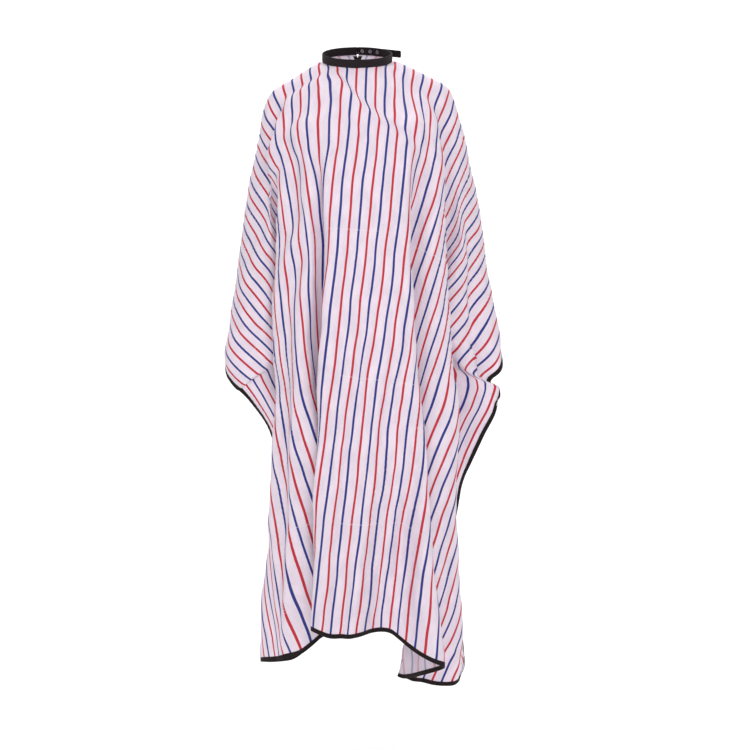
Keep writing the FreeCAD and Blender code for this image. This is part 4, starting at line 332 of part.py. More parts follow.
# --------------------------------------------------------------- ring snaps
socks, scaps, studs, caps = [], [], [], []
for p in SOCKET_PHI:
    socks.append(turned([(77.1, SOCKET_BORE_R), (77.1, SOCKET_R - 0.1), (79.05, SOCKET_R - 0.1), (79.05, SOCKET_FLANGE_R),
                         (79.2, SOCKET_FLANGE_R), (79.35, SOCKET_FLANGE_R - 0.3), (79.35, SOCKET_BORE_R)], p))
    scaps.append(disc(SOCKET_R - 0.1, 76.15, 77.0, p))
for p in STUD_PHI:
    studs.append(turned([(77.9, 0), (77.9, KNOB_R - 0.4), (78.3, KNOB_R), (78.9, KNOB_R), (79.3, KNOB_R - 0.3),
                         (r0 + 0.05, KNOB_R - 0.3), (r0 + 0.05, STUD_FLANGE_R), (r0 + 0.45, STUD_FLANGE_R),
                         (r0 + 0.45, STEM_R), (r1 + 0.85, STEM_R), (r1 + 0.85, 0)], p))
    prof = [(r1 + 0.12, STEM_R + 0.1), (r1 + 0.12, CAP_R), (r1 + 0.45, CAP_R)]
    for k in range(1, 8):
        a = math.radians(90.0 * k / 8)
        prof.append((r1 + 0.45 + 1.0 * math.sin(a), CAP_R * math.cos(a)))
    prof += [(r1 + 1.45, 0), (r1 + 0.95, 0), (r1 + 0.95, STEM_R + 0.1)]
    caps.append(turned(prof, p))
save("snap_sockets", to_row(Part.makeCompound(socks)))
save("snap_socket_caps", to_row(Part.makeCompound(scaps)))
save("snap_studs", to_row(Part.makeCompound(studs)))
save("snap_stud_caps", to_row(Part.makeCompound(caps)))


# ----------------------------------------------------------------- stitches
def stitch(r, phi, z, along, length=STITCH_LEN):
    """One stitch lying on a cylinder of radius r; along is 'phi' or 'h'."""
    n = ring_local(1, phi, 0)
    t = V(n.y, -n.x, 0)
    a, b = (length, STITCH_W) if along == "phi" else (STITCH_W, length)
    c = V(n.x * r, n.y * r, z)
    pts = [V(c.x + t.x * s * a / 2, c.y + t.y * s * a / 2, z + q * b / 2) for s, q in ((-1, -1), (1, -1), (1, 1), (-1, 1))]
    f = Part.Face(Part.makePolygon(pts + [pts[0]]))
    return f.extrude(V(n.x * STITCH_T, n.y * STITCH_T, 0))


neck = []
step = math.degrees(STITCH_PITCH / BAND_R_OUT)
p = 4.0
while p < 356.0:
    inside_root = STRAP_ROOT_PHI[0] - 1.5 < (p - 360 if p > 180 else p) < STRAP_PHI[1] + 2
    if not inside_root:
        neck.append(stitch(BAND_R_OUT + 0.02, p, -hb + 2.0, "phi"))
    p += step
save("neck_stitching", to_row(Part.makeCompound(neck)))

st = []
p = STRAP_PHI[0] + 2.2
while p < STRAP_PHI[1] - 1.5:
    for z in (-hs + 1.6, hs - 1.6):
        st.append(stitch(r1 + 0.02, p, z, "phi"))
    p += math.degrees(STITCH_PITCH / r1)
save("strap_stitching", to_row(Part.makeCompound(st)))

tl = []
s = TAIL_GAP + 2.6
while s < TAIL_LEN - tip - 1.5:
    for z in (-hs + 1.6, hs - 1.6):
        c = tail_pt(s, STRAP_T + 0.02, z)
        f = Part.Face(Part.makePolygon([V(c.x + t.x * a, c.y + t.y * a, z + b) for a, b in
                                        ((-1.5, -0.25), (1.5, -0.25), (1.5, 0.25), (-1.5, 0.25), (-1.5, -0.25))]))
        tl.append(f.extrude(V(n.x * STITCH_T, n.y * STITCH_T, 0)))
    s += STITCH_PITCH
save("tail_stitching", to_row(Part.makeCompound(tl)))

bt = []
for phi in (STRAP_ROOT_PHI[0] + 1.6, STRAP_ROOT_PHI[1] - 1.6):
    z = -hs + 2.0
    while z <= hs - 2.0 + 1e-6:
        bt.append(stitch(r1 + 0.02, phi, z, "phi", 2.4))
        z += 1.0
save("bar_tacks", to_row(Part.makeCompound(bt)))
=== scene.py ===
import bpy, bmesh, math
import numpy as np
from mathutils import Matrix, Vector


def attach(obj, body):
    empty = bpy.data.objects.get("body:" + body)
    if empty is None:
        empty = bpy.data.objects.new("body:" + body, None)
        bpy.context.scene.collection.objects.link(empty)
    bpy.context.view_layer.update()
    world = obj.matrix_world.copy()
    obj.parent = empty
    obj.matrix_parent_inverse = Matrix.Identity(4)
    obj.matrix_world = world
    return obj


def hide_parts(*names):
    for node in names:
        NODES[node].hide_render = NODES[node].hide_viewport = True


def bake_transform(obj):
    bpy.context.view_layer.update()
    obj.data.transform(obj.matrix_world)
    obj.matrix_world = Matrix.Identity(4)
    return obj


# ---------------------------------------------------------------------------
# Barber cape: looks. Metres, +Z up, -Y the front of the wearer.
# ---------------------------------------------------------------------------
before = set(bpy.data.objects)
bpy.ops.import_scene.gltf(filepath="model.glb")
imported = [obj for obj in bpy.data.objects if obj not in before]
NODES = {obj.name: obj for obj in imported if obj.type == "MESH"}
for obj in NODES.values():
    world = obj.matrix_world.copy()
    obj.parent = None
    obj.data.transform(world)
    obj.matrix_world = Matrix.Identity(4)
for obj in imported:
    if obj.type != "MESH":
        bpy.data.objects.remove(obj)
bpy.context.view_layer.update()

# ---- sizes, mm (the same as in the CAD source) ----
PITCH = 21.2            # from stripe to stripe
STRIPE_W = 4.9          # width of a stripe
HALF_W = 700.0          # half the sheet's width
B_BACK, B_FRONT = -290.0, 1310.0   # neck centre to the back and to the front edge
CORNER_R = 120.0
TAPE_W = 9.0
R_CLOTH = 77.5          # where the cloth sits inside the band
H_CLOTH = -12.0
TILT = math.radians(23.0)
BAND_IN, BAND_OUT, BAND_H = 76.0, 79.0, 18.0
GAP_DEG = 1.7
STRAP_IN, STRAP_T, STRAP_H = 79.6, 1.6, 16.0
ROOT_PHI = (-17.0, -5.3)
STRAP_PHI = (-4.7, 29.7)
TAIL_PHI, TAIL_LEN = 30.0, 68.0
SOCKET_PHI = (8.0, 22.0, 36.0)
STUD_PHI = (8.0, 22.0)

# The sheet as it hangs, drawn on a coarse net of the cloth: one row per step
# along the sheet from its back edge to its front edge, one point per step
# across it from the wearer's right to left (mm). The net has a square gap at
# the neck and a slit behind it.
GRID = [
    -229,128,-594,-223,141,-586,-215,153,-576,-206,163,-563,-194,170,-547,-180,173,-528,-166,172,-509,-151,166,-489,-137,158,-470,-123,149,-451,-109,141,-431,-95,135,-412,-80,132,-392,-66,133,-371,-53,137,-350,-41,144,-328,-31,152,-307,-21,161,-285,-12,171,-263,-3,181,-241,6,190,-218,18,196,-197,34,193,-178,48,176,-171,53,151,-172,60,128,-173,77,110,-165,105,92,-151,-116,74,-148,-91,95,-164,-72,109,-175,-56,126,-185,-38,134,-198,-20,130,-215,-1,126,-232,18,124,-249,36,120,-266,54,114,-283,72,109,-300,90,107,-316,106,110,-332,121,119,-346,135,133,-361,149,148,-375,163,162,-390,178,172,-406,194,177,-424,210,177,-443,225,173,-463,237,167,-483,247,158,-504,254,146,-523,258,133,-540,258,119,-554,257,105,-566,254,91,-575,
    -229,113,-598,-228,123,-581,-224,134,-566,-217,145,-551,-208,155,-535,-197,162,-516,-184,164,-495,-170,163,-475,-156,159,-455,-142,152,-435,-128,144,-416,-114,136,-396,-99,131,-376,-85,128,-356,-71,128,-336,-57,131,-315,-45,137,-294,-34,144,-272,-23,153,-250,-15,163,-228,-8,173,-206,1,182,-184,16,184,-163,34,171,-151,42,148,-150,46,123,-152,65,108,-144,94,92,-129,-103,75,-127,-77,95,-143,-57,107,-155,-41,124,-165,-22,129,-180,-4,124,-197,15,122,-213,34,120,-230,52,117,-247,70,110,-264,88,104,-281,105,104,-297,122,110,-312,136,123,-327,149,138,-341,163,152,-356,179,162,-372,195,167,-390,210,167,-408,224,163,-429,236,156,-450,245,147,-471,251,137,-493,255,125,-512,255,112,-529,253,99,-544,250,88,-560,245,79,-578,
    -225,100,-600,-228,106,-578,-226,115,-558,-223,126,-540,-217,136,-523,-210,146,-504,-200,152,-483,-188,155,-461,-175,156,-440,-161,153,-420,-147,147,-400,-133,140,-380,-118,133,-361,-104,126,-341,-89,123,-321,-75,122,-301,-61,125,-280,-48,129,-259,-36,135,-238,-25,143,-216,-19,154,-194,-13,165,-171,-1,171,-149,17,165,-133,29,144,-129,34,120,-131,52,105,-122,82,89,-107,-89,74,-106,-63,94,-122,-43,105,-135,-26,120,-145,-6,123,-161,12,119,-178,31,119,-195,50,117,-212,69,112,-229,86,105,-246,104,101,-262,120,104,-278,136,114,-293,150,128,-307,164,142,-322,179,152,-338,195,157,-355,210,157,-374,224,153,-394,235,145,-416,243,136,-437,248,126,-460,251,115,-481,251,103,-501,248,91,-518,245,81,-536,240,73,-556,234,69,-579,
    -214,89,-601,-220,92,-577,-222,98,-553,-222,106,-533,-220,116,-513,-217,126,-493,-211,135,-471,-202,142,-449,-192,146,-427,-179,148,-406,-166,146,-385,-152,142,-365,-137,136,-345,-123,128,-326,-108,122,-306,-93,118,-286,-79,117,-266,-65,118,-245,-51,122,-224,-37,126,-203,-28,134,-180,-23,146,-157,-16,156,-135,0,156,-116,16,139,-108,21,115,-109,41,103,-100,69,85,-86,-74,71,-86,-48,91,-102,-29,104,-114,-10,115,-126,9,116,-142,28,115,-158,47,113,-174,66,111,-192,84,106,-210,102,100,-227,119,100,-243,135,106,-258,150,119,-273,164,132,-288,179,142,-304,195,147,-321,210,147,-340,223,142,-360,233,135,-382,240,125,-404,245,115,-426,246,105,-449,245,95,-471,242,85,-491,237,76,-510,231,69,-531,226,64,-554,218,64,-578,
    -197,81,-600,-204,82,-575,-209,85,-551,-213,91,-527,-215,98,-505,-215,107,-484,-214,115,-461,-210,123,-438,-203,130,-415,-194,136,-393,-183,139,-371,-170,139,-350,-156,136,-330,-142,131,-310,-127,124,-290,-112,117,-271,-98,113,-251,-84,112,-231,-69,113,-210,-55,116,-189,-41,117,-167,-33,122,-139,-30,136,-118,-18,144,-98,1,133,-86,9,110,-87,26,94,-81,55,79,-66,-59,65,-67,-32,85,-83,-14,100,-93,5,109,-105,25,109,-119,44,107,-134,63,104,-149,81,103,-173,99,97,-192,116,94,-208,133,100,-224,149,110,-239,164,122,-253,180,132,-269,195,137,-287,209,137,-306,222,132,-326,231,124,-348,236,115,-370,239,105,-392,239,95,-416,237,86,-439,233,78,-461,227,72,-483,220,67,-505,214,63,-528,207,62,-552,199,64,-577,
    -177,74,-596,-183,77,-572,-190,79,-547,-195,81,-523,-200,85,-499,-205,91,-476,-207,97,-452,-208,104,-429,-206,112,-405,-202,119,-382,-195,125,-359,-185,129,-337,-173,131,-316,-160,129,-295,-146,125,-275,-132,119,-255,-117,112,-236,-103,108,-216,-88,106,-196,-75,110,-175,-60,109,-154,-48,106,-126,-39,111,-97,-35,126,-79,-16,124,-65,-1,107,-62,11,86,-62,40,74,-46,-41,59,-50,-15,77,-65,1,94,-71,21,101,-82,41,99,-95,59,91,-108,78,93,-131,95,92,-156,113,87,-174,131,92,-189,148,102,-204,164,113,-219,179,123,-235,194,127,-252,208,127,-271,219,121,-292,227,113,-314,231,104,-336,232,95,-359,230,87,-382,226,79,-406,221,74,-430,215,70,-453,207,67,-476,200,66,-500,193,66,-524,185,67,-548,178,67,-572,
    -157,67,-591,-161,72,-567,-167,75,-542,-174,76,-517,-180,78,-493,-186,81,-469,-192,84,-445,-196,89,-420,-199,94,-396,-200,101,-372,-198,107,-349,-194,114,-326,-186,119,-303,-176,122,-281,-164,121,-260,-150,118,-240,-136,112,-220,-122,105,-201,-107,100,-182,-92,98,-162,-79,101,-140,-66,96,-116,-54,92,-85,-51,105,-59,-34,111,-45,-14,100,-41,-3,80,-42,25,73,-26,-26,60,-30,0,72,-47,16,89,-50,37,91,-59,56,83,-69,73,77,-90,92,81,-117,109,80,-139,128,82,-155,146,93,-170,162,104,-185,178,113,-200,193,117,-218,206,116,-237,216,111,-258,222,103,-280,224,95,-303,223,87,-326,219,80,-350,214,75,-373,208,72,-397,201,69,-421,193,69,-445,186,69,-469,178,70,-494,171,71,-518,163,72,-542,156,69,-566,
    -143,57,-586,-143,63,-561,-147,67,-536,-153,69,-511,-159,71,-487,-165,73,-462,-171,75,-438,-177,78,-413,-183,81,-389,-187,85,-364,-190,90,-340,-191,96,-316,-190,102,-293,-185,108,-270,-177,111,-247,-166,112,-226,-154,109,-205,-140,103,-185,-125,96,-167,-110,87,-149,-95,87,-128,-83,86,-104,-69,78,-80,-64,83,-47,-51,93,-27,-30,92,-20,-17,75,-23,10,74,-7,-10,65,-12,15,68,-27,32,82,-29,52,78,-37,69,67,-51,88,66,-80,106,70,-102,124,76,-120,143,84,-135,160,96,-150,176,103,-166,191,107,-184,203,106,-203,211,101,-224,215,94,-247,215,86,-270,212,80,-293,207,76,-317,200,72,-341,193,71,-365,186,70,-389,178,70,-414,171,70,-438,163,71,-462,156,72,-487,149,72,-511,142,71,-535,138,65,-560,
    -140,45,-581,-136,48,-555,-138,52,-530,-141,55,-506,-145,58,-481,-149,61,-456,-154,64,-431,-159,67,-407,-164,69,-382,-170,72,-358,-175,76,-333,-179,80,-309,-182,85,-284,-183,90,-260,-181,95,-237,-176,99,-214,-167,100,-192,-156,99,-171,-143,95,-151,-129,85,-133,-113,76,-115,-99,69,-96,-84,63,-75,-71,63,-48,-63,70,-16,-45,78,-4,-28,69,-5,-3,78,10,3,71,6,27,65,-8,46,75,-8,62,62,-17,84,61,-43,104,66,-65,120,76,-83,137,83,-100,156,89,-114,174,96,-130,188,97,-149,198,95,-169,204,91,-191,206,85,-213,203,79,-237,199,75,-261,193,71,-285,186,69,-309,178,68,-333,171,68,-358,164,68,-382,157,67,-406,151,67,-431,144,66,-455,138,64,-480,132,63,-505,127,60,-529,127,55,-555,
    -146,35,-577,-142,33,-552,-142,35,-526,-143,39,-501,-144,42,-476,-145,46,-451,-147,49,-426,-150,52,-402,-153,55,-377,-157,58,-352,-161,61,-327,-165,65,-302,-169,69,-278,-173,73,-253,-175,77,-229,-175,82,-205,-173,85,-181,-167,88,-158,-160,90,-136,-146,87,-115,-130,78,-98,-116,70,-81,-103,58,-64,-88,53,-43,-71,52,-19,-55,55,10,-35,68,16,-12,75,19,12,75,19,35,68,16,55,55,10,81,58,-11,101,63,-32,119,67,-49,136,72,-66,152,74,-83,172,84,-95,187,87,-113,193,84,-135,196,80,-158,196,76,-181,192,71,-205,186,68,-229,180,65,-253,173,63,-278,167,62,-302,161,61,-327,155,59,-351,149,58,-376,144,56,-401,139,53,-426,135,51,-450,130,48,-475,126,45,-500,123,42,-525,125,39,-551,
    -159,32,-575,-159,27,-549,-158,28,-524,-157,29,-499,-157,32,-473,-156,34,-448,-156,36,-423,-156,39,-398,-156,41,-373,-157,44,-348,-158,47,-322,-160,50,-297,-162,54,-273,-165,57,-248,-168,60,-223,-171,64,-198,-172,68,-173,-172,71,-149,-170,75,-125,-164,78,-101,-148,67,-85,-134,62,-68,-120,56,-51,-106,51,-34,-89,45,-15,-67,40,4,0,0,0,0,0,0,0,0,0,0,0,0,67,40,4,92,42,-13,111,45,-30,129,48,-44,147,54,-56,166,60,-68,186,72,-79,193,70,-101,192,68,-126,190,65,-150,185,62,-174,179,59,-198,173,56,-223,168,54,-248,163,52,-273,159,50,-297,155,47,-322,151,44,-347,147,42,-372,144,39,-397,141,36,-422,138,33,-447,136,30,-473,133,27,-498,131,24,-523,133,25,-549,
    -173,39,-573,-176,34,-548,-176,33,-522,-176,34,-497,-175,34,-472,-174,34,-446,-173,35,-421,-172,36,-395,-171,37,-370,-170,39,-345,-169,41,-319,-168,43,-294,-168,45,-269,-169,47,-244,-171,49,-219,-173,51,-194,-175,52,-169,-175,54,-144,-174,54,-118,-177,58,-94,-163,48,-76,-146,42,-62,-131,37,-48,-114,32,-34,-96,27,-20,-75,23,-3,0,0,0,0,0,0,0,0,0,0,0,0,75,23,-3,99,24,-14,120,26,-26,139,30,-37,158,34,-47,176,39,-59,196,49,-70,192,51,-95,192,52,-121,188,52,-145,183,51,-170,179,49,-195,175,47,-220,171,44,-245,168,41,-270,166,38,-295,164,35,-321,162,32,-346,160,29,-371,158,27,-396,156,24,-422,154,21,-447,152,19,-472,151,16,-497,149,15,-523,148,18,-549,
    -183,55,-572,-188,52,-547,-188,51,-521,-188,50,-496,-188,49,-470,-188,48,-445,-187,48,-419,-187,47,-394,-186,47,-369,-185,47,-343,-184,48,-318,-184,48,-292,-183,49,-267,-184,49,-242,-185,48,-217,-186,46,-192,-187,44,-167,-188,41,-142,-188,38,-116,-189,36,-90,-177,29,-70,-158,22,-56,-141,17,-44,-122,13,-32,-102,8,-20,-78,5,-11,0,0,0,0,0,0,0,0,0,0,0,0,78,5,-11,104,4,-16,125,6,-25,146,9,-35,165,12,-44,186,17,-54,203,26,-71,204,33,-96,202,38,-121,199,42,-146,196,45,-170,193,46,-195,190,45,-220,188,43,-246,186,40,-271,184,37,-296,182,34,-321,180,31,-347,179,29,-372,177,27,-397,176,24,-423,175,22,-448,173,20,-473,172,18,-499,170,17,-524,166,20,-550,
    -187,77,-570,-190,75,-545,-191,74,-520,-192,72,-494,-193,71,-469,-193,70,-444,-194,69,-418,-195,68,-393,-196,67,-367,-197,66,-342,-198,65,-317,-199,63,-292,-200,60,-267,-202,56,-243,-204,51,-219,-205,44,-195,-205,37,-171,-204,29,-146,-204,22,-120,-199,13,-94,-187,5,-73,-165,0,-60,-146,-4,-49,-124,-8,-37,-102,-12,-25,-75,-14,-19,0,0,0,0,0,0,0,0,0,0,0,0,75,-14,-19,103,-15,-22,125,-14,-32,148,-12,-42,168,-11,-52,191,-8,-62,208,2,-79,215,14,-103,216,23,-127,217,32,-151,216,40,-174,215,45,-199,213,48,-223,210,48,-248,207,47,-273,204,46,-298,201,44,-323,199,43,-349,196,41,-374,195,39,-399,193,37,-425,192,35,-450,190,33,-475,189,32,-501,186,30,-526,181,32,-551,
    -186,101,-569,-187,100,-544,-188,98,-518,-190,97,-493,-192,95,-468,-195,93,-443,-198,92,-417,-201,90,-392,-205,87,-368,-208,84,-343,-211,79,-319,-214,74,-295,-217,66,-271,-219,57,-248,-220,47,-225,-220,36,-203,-217,25,-180,-213,14,-157,-208,4,-133,-198,-7,-109,-185,-16,-89,-163,-20,-74,-143,-22,-62,-120,-24,-49,-97,-28,-36,-67,-31,-26,0,0,0,0,0,0,0,0,0,0,0,0,67,-31,-26,97,-30,-34,121,-29,-45,144,-28,-58,164,-27,-69,187,-25,-81,204,-15,-97,218,-5,-117,225,7,-139,230,19,-160,233,30,-183,234,40,-205,234,47,-229,231,52,-253,227,56,-277,223,58,-302,218,59,-327,214,60,-351,211,60,-376,208,59,-402,205,57,-427,203,56,-452,201,54,-477,199,53,-503,197,51,-528,193,51,-553,
    -187,125,-568,-186,124,-542,-189,122,-517,-193,119,-492,-197,117,-468,-202,113,-443,-207,110,-419,-213,105,-395,-218,99,-371,-223,92,-348,-227,83,-325,-230,73,-303,-232,61,-281,-232,48,-259,-231,34,-238,-227,21,-216,-222,9,-194,-214,-1,-173,-205,-12,-151,-192,-20,-129,-175,-24,-111,-156,-29,-94,-136,-31,-80,-112,-34,-64,-86,-39,-49,-55,-46,-32,-35,-59,-38,-12,-66,-41,12,-66,-41,35,-59,-38,55,-46,-32,86,-41,-47,113,-39,-62,137,-37,-77,157,-34,-90,177,-30,-104,197,-25,-119,215,-19,-136,227,-9,-154,236,2,-174,242,15,-195,246,27,-216,248,38,-239,248,48,-261,246,56,-284,242,63,-308,236,69,-332,231,73,-356,226,76,-380,221,77,-405,216,78,-430,212,78,-455,209,77,-480,206,76,-505,203,75,-530,201,73,-555,
    -192,145,-568,-193,144,-543,-198,141,-518,-204,136,-494,-210,131,-471,-217,125,-447,-223,117,-424,-229,109,-402,-234,99,-379,-238,87,-357,-241,75,-336,-242,61,-315,-241,46,-294,-238,31,-274,-233,17,-253,-226,5,-233,-217,-5,-212,-206,-13,-191,-194,-19,-170,-179,-22,-150,-166,-32,-132,-158,-45,-111,-137,-49,-93,-111,-51,-75,-80,-55,-57,-57,-63,-57,-36,-73,-60,-13,-78,-61,11,-78,-61,34,-73,-60,55,-63,-57,77,-53,-59,107,-50,-77,133,-50,-94,157,-49,-108,171,-39,-126,186,-26,-142,206,-27,-156,221,-22,-173,234,-14,-191,243,-3,-211,249,10,-231,255,23,-252,259,35,-273,260,46,-295,258,57,-317,254,67,-340,250,75,-363,244,82,-386,238,87,-410,232,91,-434,226,94,-458,221,96,-483,216,97,-508,212,97,-532,211,94,-558,
    -202,159,-571,-207,157,-546,-214,151,-523,-221,143,-501,-228,134,-478,-235,124,-456,-241,113,-434,-245,101,-413,-248,88,-392,-250,74,-371,-249,59,-350,-247,43,-330,-243,28,-310,-237,14,-290,-229,1,-270,-218,-8,-250,-206,-15,-230,-194,-21,-209,-180,-26,-189,-169,-34,-169,-175,-47,-148,-159,-59,-130,-133,-59,-112,-103,-61,-91,-81,-70,-84,-60,-81,-84,-37,-88,-84,-13,-92,-85,10,-92,-85,34,-89,-84,57,-82,-84,78,-72,-84,100,-63,-92,130,-61,-112,157,-63,-128,175,-54,-146,178,-36,-163,195,-32,-177,213,-30,-193,227,-27,-209,238,-19,-228,246,-7,-247,253,5,-267,261,17,-287,266,29,-308,269,42,-329,268,54,-351,266,66,-373,262,76,-395,257,85,-418,251,93,-441,245,100,-465,238,105,-488,232,110,-512,226,112,-536,223,111,-562,
    -217,164,-578,-225,160,-554,-233,150,-532,-239,139,-511,-246,126,-489,-251,114,-468,-254,100,-447,-256,85,-427,-256,70,-406,-255,55,-386,-252,40,-366,-248,25,-346,-241,10,-327,-231,-2,-308,-219,-11,-288,-206,-18,-268,-194,-23,-248,-184,-28,-227,-176,-36,-207,-174,-48,-187,-179,-62,-167,-155,-64,-152,-127,-65,-131,-103,-75,-117,-83,-86,-115,-61,-94,-111,-38,-99,-110,-14,-102,-109,10,-103,-109,34,-100,-110,57,-95,-111,80,-88,-115,100,-79,-117,126,-74,-129,155,-73,-149,177,-68,-166,177,-50,-184,187,-38,-198,203,-36,-213,218,-35,-229,230,-31,-246,239,-23,-264,247,-12,-283,256,-1,-303,265,10,-323,272,23,-343,276,36,-364,276,49,-385,275,62,-407,272,74,-429,269,85,-451,264,95,-474,258,104,-496,252,112,-519,245,118,-543,239,119,-568,
    -233,160,-588,-241,151,-566,-248,139,-545,-254,126,-524,-258,112,-503,-261,97,-483,-262,82,-462,-262,67,-442,-260,51,-422,-257,36,-402,-252,21,-382,-244,7,-363,-234,-5,-344,-221,-14,-325,-207,-21,-306,-195,-26,-286,-187,-30,-265,-184,-35,-245,-184,-44,-224,-189,-58,-204,-179,-74,-189,-152,-73,-173,-128,-82,-154,-109,-94,-149,-86,-100,-145,-63,-104,-141,-39,-109,-138,-14,-112,-137,10,-112,-138,35,-110,-139,59,-105,-142,83,-104,-145,107,-102,-146,129,-94,-150,152,-86,-169,176,-81,-188,182,-63,-205,183,-47,-220,194,-41,-234,208,-40,-249,222,-39,-265,231,-34,-282,238,-26,-301,247,-17,-319,258,-7,-338,269,4,-357,277,16,-378,281,29,-398,282,42,-420,282,56,-441,281,69,-463,278,81,-485,275,93,-507,270,104,-529,264,113,-553,257,118,-579,
    -246,149,-601,-254,137,-580,-260,123,-559,-264,108,-539,-267,94,-518,-267,79,-498,-266,63,-478,-265,47,-458,-261,32,-438,-256,18,-418,-248,4,-399,-237,-7,-380,-224,-17,-361,-210,-25,-342,-197,-31,-322,-189,-35,-302,-187,-37,-281,-189,-41,-261,-193,-52,-242,-194,-69,-225,-175,-81,-211,-152,-90,-193,-135,-105,-183,-114,-117,-175,-90,-120,-170,-65,-115,-169,-40,-115,-167,-15,-118,-165,10,-118,-165,36,-116,-168,60,-114,-171,84,-122,-172,109,-123,-174,133,-115,-181,151,-101,-191,174,-93,-210,186,-76,-226,182,-58,-241,188,-46,-255,199,-42,-270,213,-41,-285,224,-40,-301,231,-36,-318,238,-30,-336,249,-22,-354,261,-13,-373,273,-3,-392,280,9,-412,285,22,-433,287,36,-454,288,49,-476,287,62,-497,286,75,-519,283,88,-542,280,100,-567,274,109,-593,
    -257,132,-615,-263,119,-595,-268,104,-574,-271,90,-554,-273,75,-533,-272,59,-513,-269,44,-493,-265,28,-474,-260,14,-454,-252,1,-435,-241,-11,-415,-228,-21,-396,-215,-30,-377,-202,-37,-358,-193,-41,-338,-190,-41,-317,-191,-40,-297,-192,-43,-278,-193,-55,-261,-186,-72,-247,-166,-80,-234,-146,-92,-224,-132,-111,-215,-113,-125,-206,-89,-129,-199,-65,-125,-197,-40,-119,-196,-15,-122,-194,10,-122,-195,35,-120,-197,60,-120,-200,84,-128,-202,109,-128,-206,130,-118,-214,148,-103,-224,171,-102,-234,187,-89,-248,184,-69,-262,185,-53,-277,192,-43,-291,205,-40,-305,218,-39,-320,226,-40,-336,231,-38,-354,239,-34,-371,252,-27,-389,265,-18,-407,276,-8,-427,284,3,-447,289,15,-467,292,28,-489,293,42,-510,293,55,-532,292,69,-557,291,82,-583,289,93,-609,
    -266,114,-630,-271,100,-609,-275,85,-589,-277,71,-569,-277,55,-548,-274,40,-529,-270,24,-509,-264,9,-490,-256,-4,-470,-245,-16,-451,-233,-26,-432,-219,-35,-412,-207,-42,-392,-197,-47,-372,-192,-46,-352,-190,-41,-332,-190,-37,-312,-188,-40,-294,-183,-51,-278,-174,-70,-267,-160,-88,-258,-138,-92,-250,-123,-109,-240,-110,-128,-232,-86,-127,-225,-63,-133,-221,-41,-123,-221,-16,-126,-220,9,-126,-220,34,-125,-223,59,-125,-226,83,-132,-228,107,-134,-232,124,-118,-240,142,-104,-250,165,-108,-259,185,-100,-271,187,-80,-284,184,-62,-298,187,-47,-312,197,-39,-325,211,-37,-340,222,-39,-356,227,-42,-372,233,-43,-388,242,-38,-405,255,-30,-423,268,-22,-442,279,-13,-461,288,-3,-481,294,8,-502,297,21,-523,298,35,-546,300,48,-572,301,62,-599,302,75,-626,
    -275,95,-644,-278,81,-624,-280,66,-604,-281,51,-584,-279,36,-564,-275,20,-544,-269,6,-525,-261,-8,-506,-250,-19,-486,-237,-30,-467,-223,-39,-448,-210,-46,-427,-198,-51,-407,-191,-50,-386,-187,-43,-366,-185,-35,-347,-182,-31,-328,-178,-38,-312,-175,-53,-299,-174,-75,-290,-156,-91,-283,-133,-94,-275,-119,-112,-265,-103,-129,-257,-83,-121,-250,-65,-136,-247,-43,-128,-247,-18,-132,-246,8,-131,-246,33,-130,-248,58,-130,-252,82,-136,-254,106,-139,-258,118,-119,-266,135,-105,-275,158,-112,-284,180,-109,-294,188,-91,-307,185,-72,-320,184,-55,-333,189,-42,-346,202,-35,-360,214,-36,-375,222,-43,-390,226,-48,-406,234,-48,-422,245,-41,-440,257,-33,-459,270,-25,-477,282,-18,-496,291,-10,-516,298,2,-537,303,15,-562,307,28,-588,311,42,-615,312,55,-642,
    -284,76,-659,-286,62,-639,-285,47,-619,-283,32,-599,-280,17,-579,-274,3,-559,-265,-9,-540,-254,-20,-521,-241,-29,-502,-227,-37,-482,-212,-45,-462,-199,-50,-442,-188,-50,-422,-182,-43,-402,-178,-33,-382,-175,-25,-364,-171,-27,-346,-170,-39,-332,-171,-58,-321,-172,-81,-314,-152,-92,-307,-128,-97,-299,-116,-117,-289,-97,-130,-281,-78,-119,-274,-68,-138,-271,-44,-134,-271,-19,-137,-270,6,-136,-271,31,-135,-273,56,-135,-276,81,-140,-279,105,-144,-282,114,-123,-290,129,-106,-299,151,-113,-308,174,-115,-318,187,-101,-330,187,-82,-342,183,-64,-355,183,-47,-367,191,-36,-381,203,-33,-395,213,-40,-409,218,-49,-424,224,-54,-440,234,-51,-458,245,-43,-476,258,-35,-494,271,-29,-513,284,-23,-532,295,-15,-554,305,-4,-578,312,8,-605,318,22,-631,321,35,-657,
    -292,57,-673,-292,42,-653,-290,28,-633,-284,13,-614,-277,0,-594,-268,-11,-575,-256,-20,-555,-243,-27,-536,-229,-34,-516,-215,-40,-495,-200,-45,-476,-187,-45,-456,-178,-41,-437,-172,-31,-418,-168,-21,-399,-165,-19,-382,-163,-27,-366,-165,-43,-354,-170,-63,-345,-169,-86,-338,-147,-93,-331,-125,-103,-323,-115,-123,-314,-93,-129,-306,-74,-118,-300,-70,-139,-297,-46,-139,-297,-21,-142,-296,4,-140,-297,30,-140,-299,55,-140,-302,80,-144,-305,103,-150,-308,112,-128,-315,122,-108,-324,144,-112,-333,167,-118,-342,184,-108,-353,188,-92,-365,185,-73,-377,181,-55,-389,183,-40,-402,192,-32,-416,201,-35,-429,207,-46,-443,213,-56,-458,222,-58,-475,233,-52,-494,245,-44,-512,258,-37,-530,272,-32,-549,287,-28,-572,300,-20,-597,312,-10,-622,321,2,-648,326,15,-672,
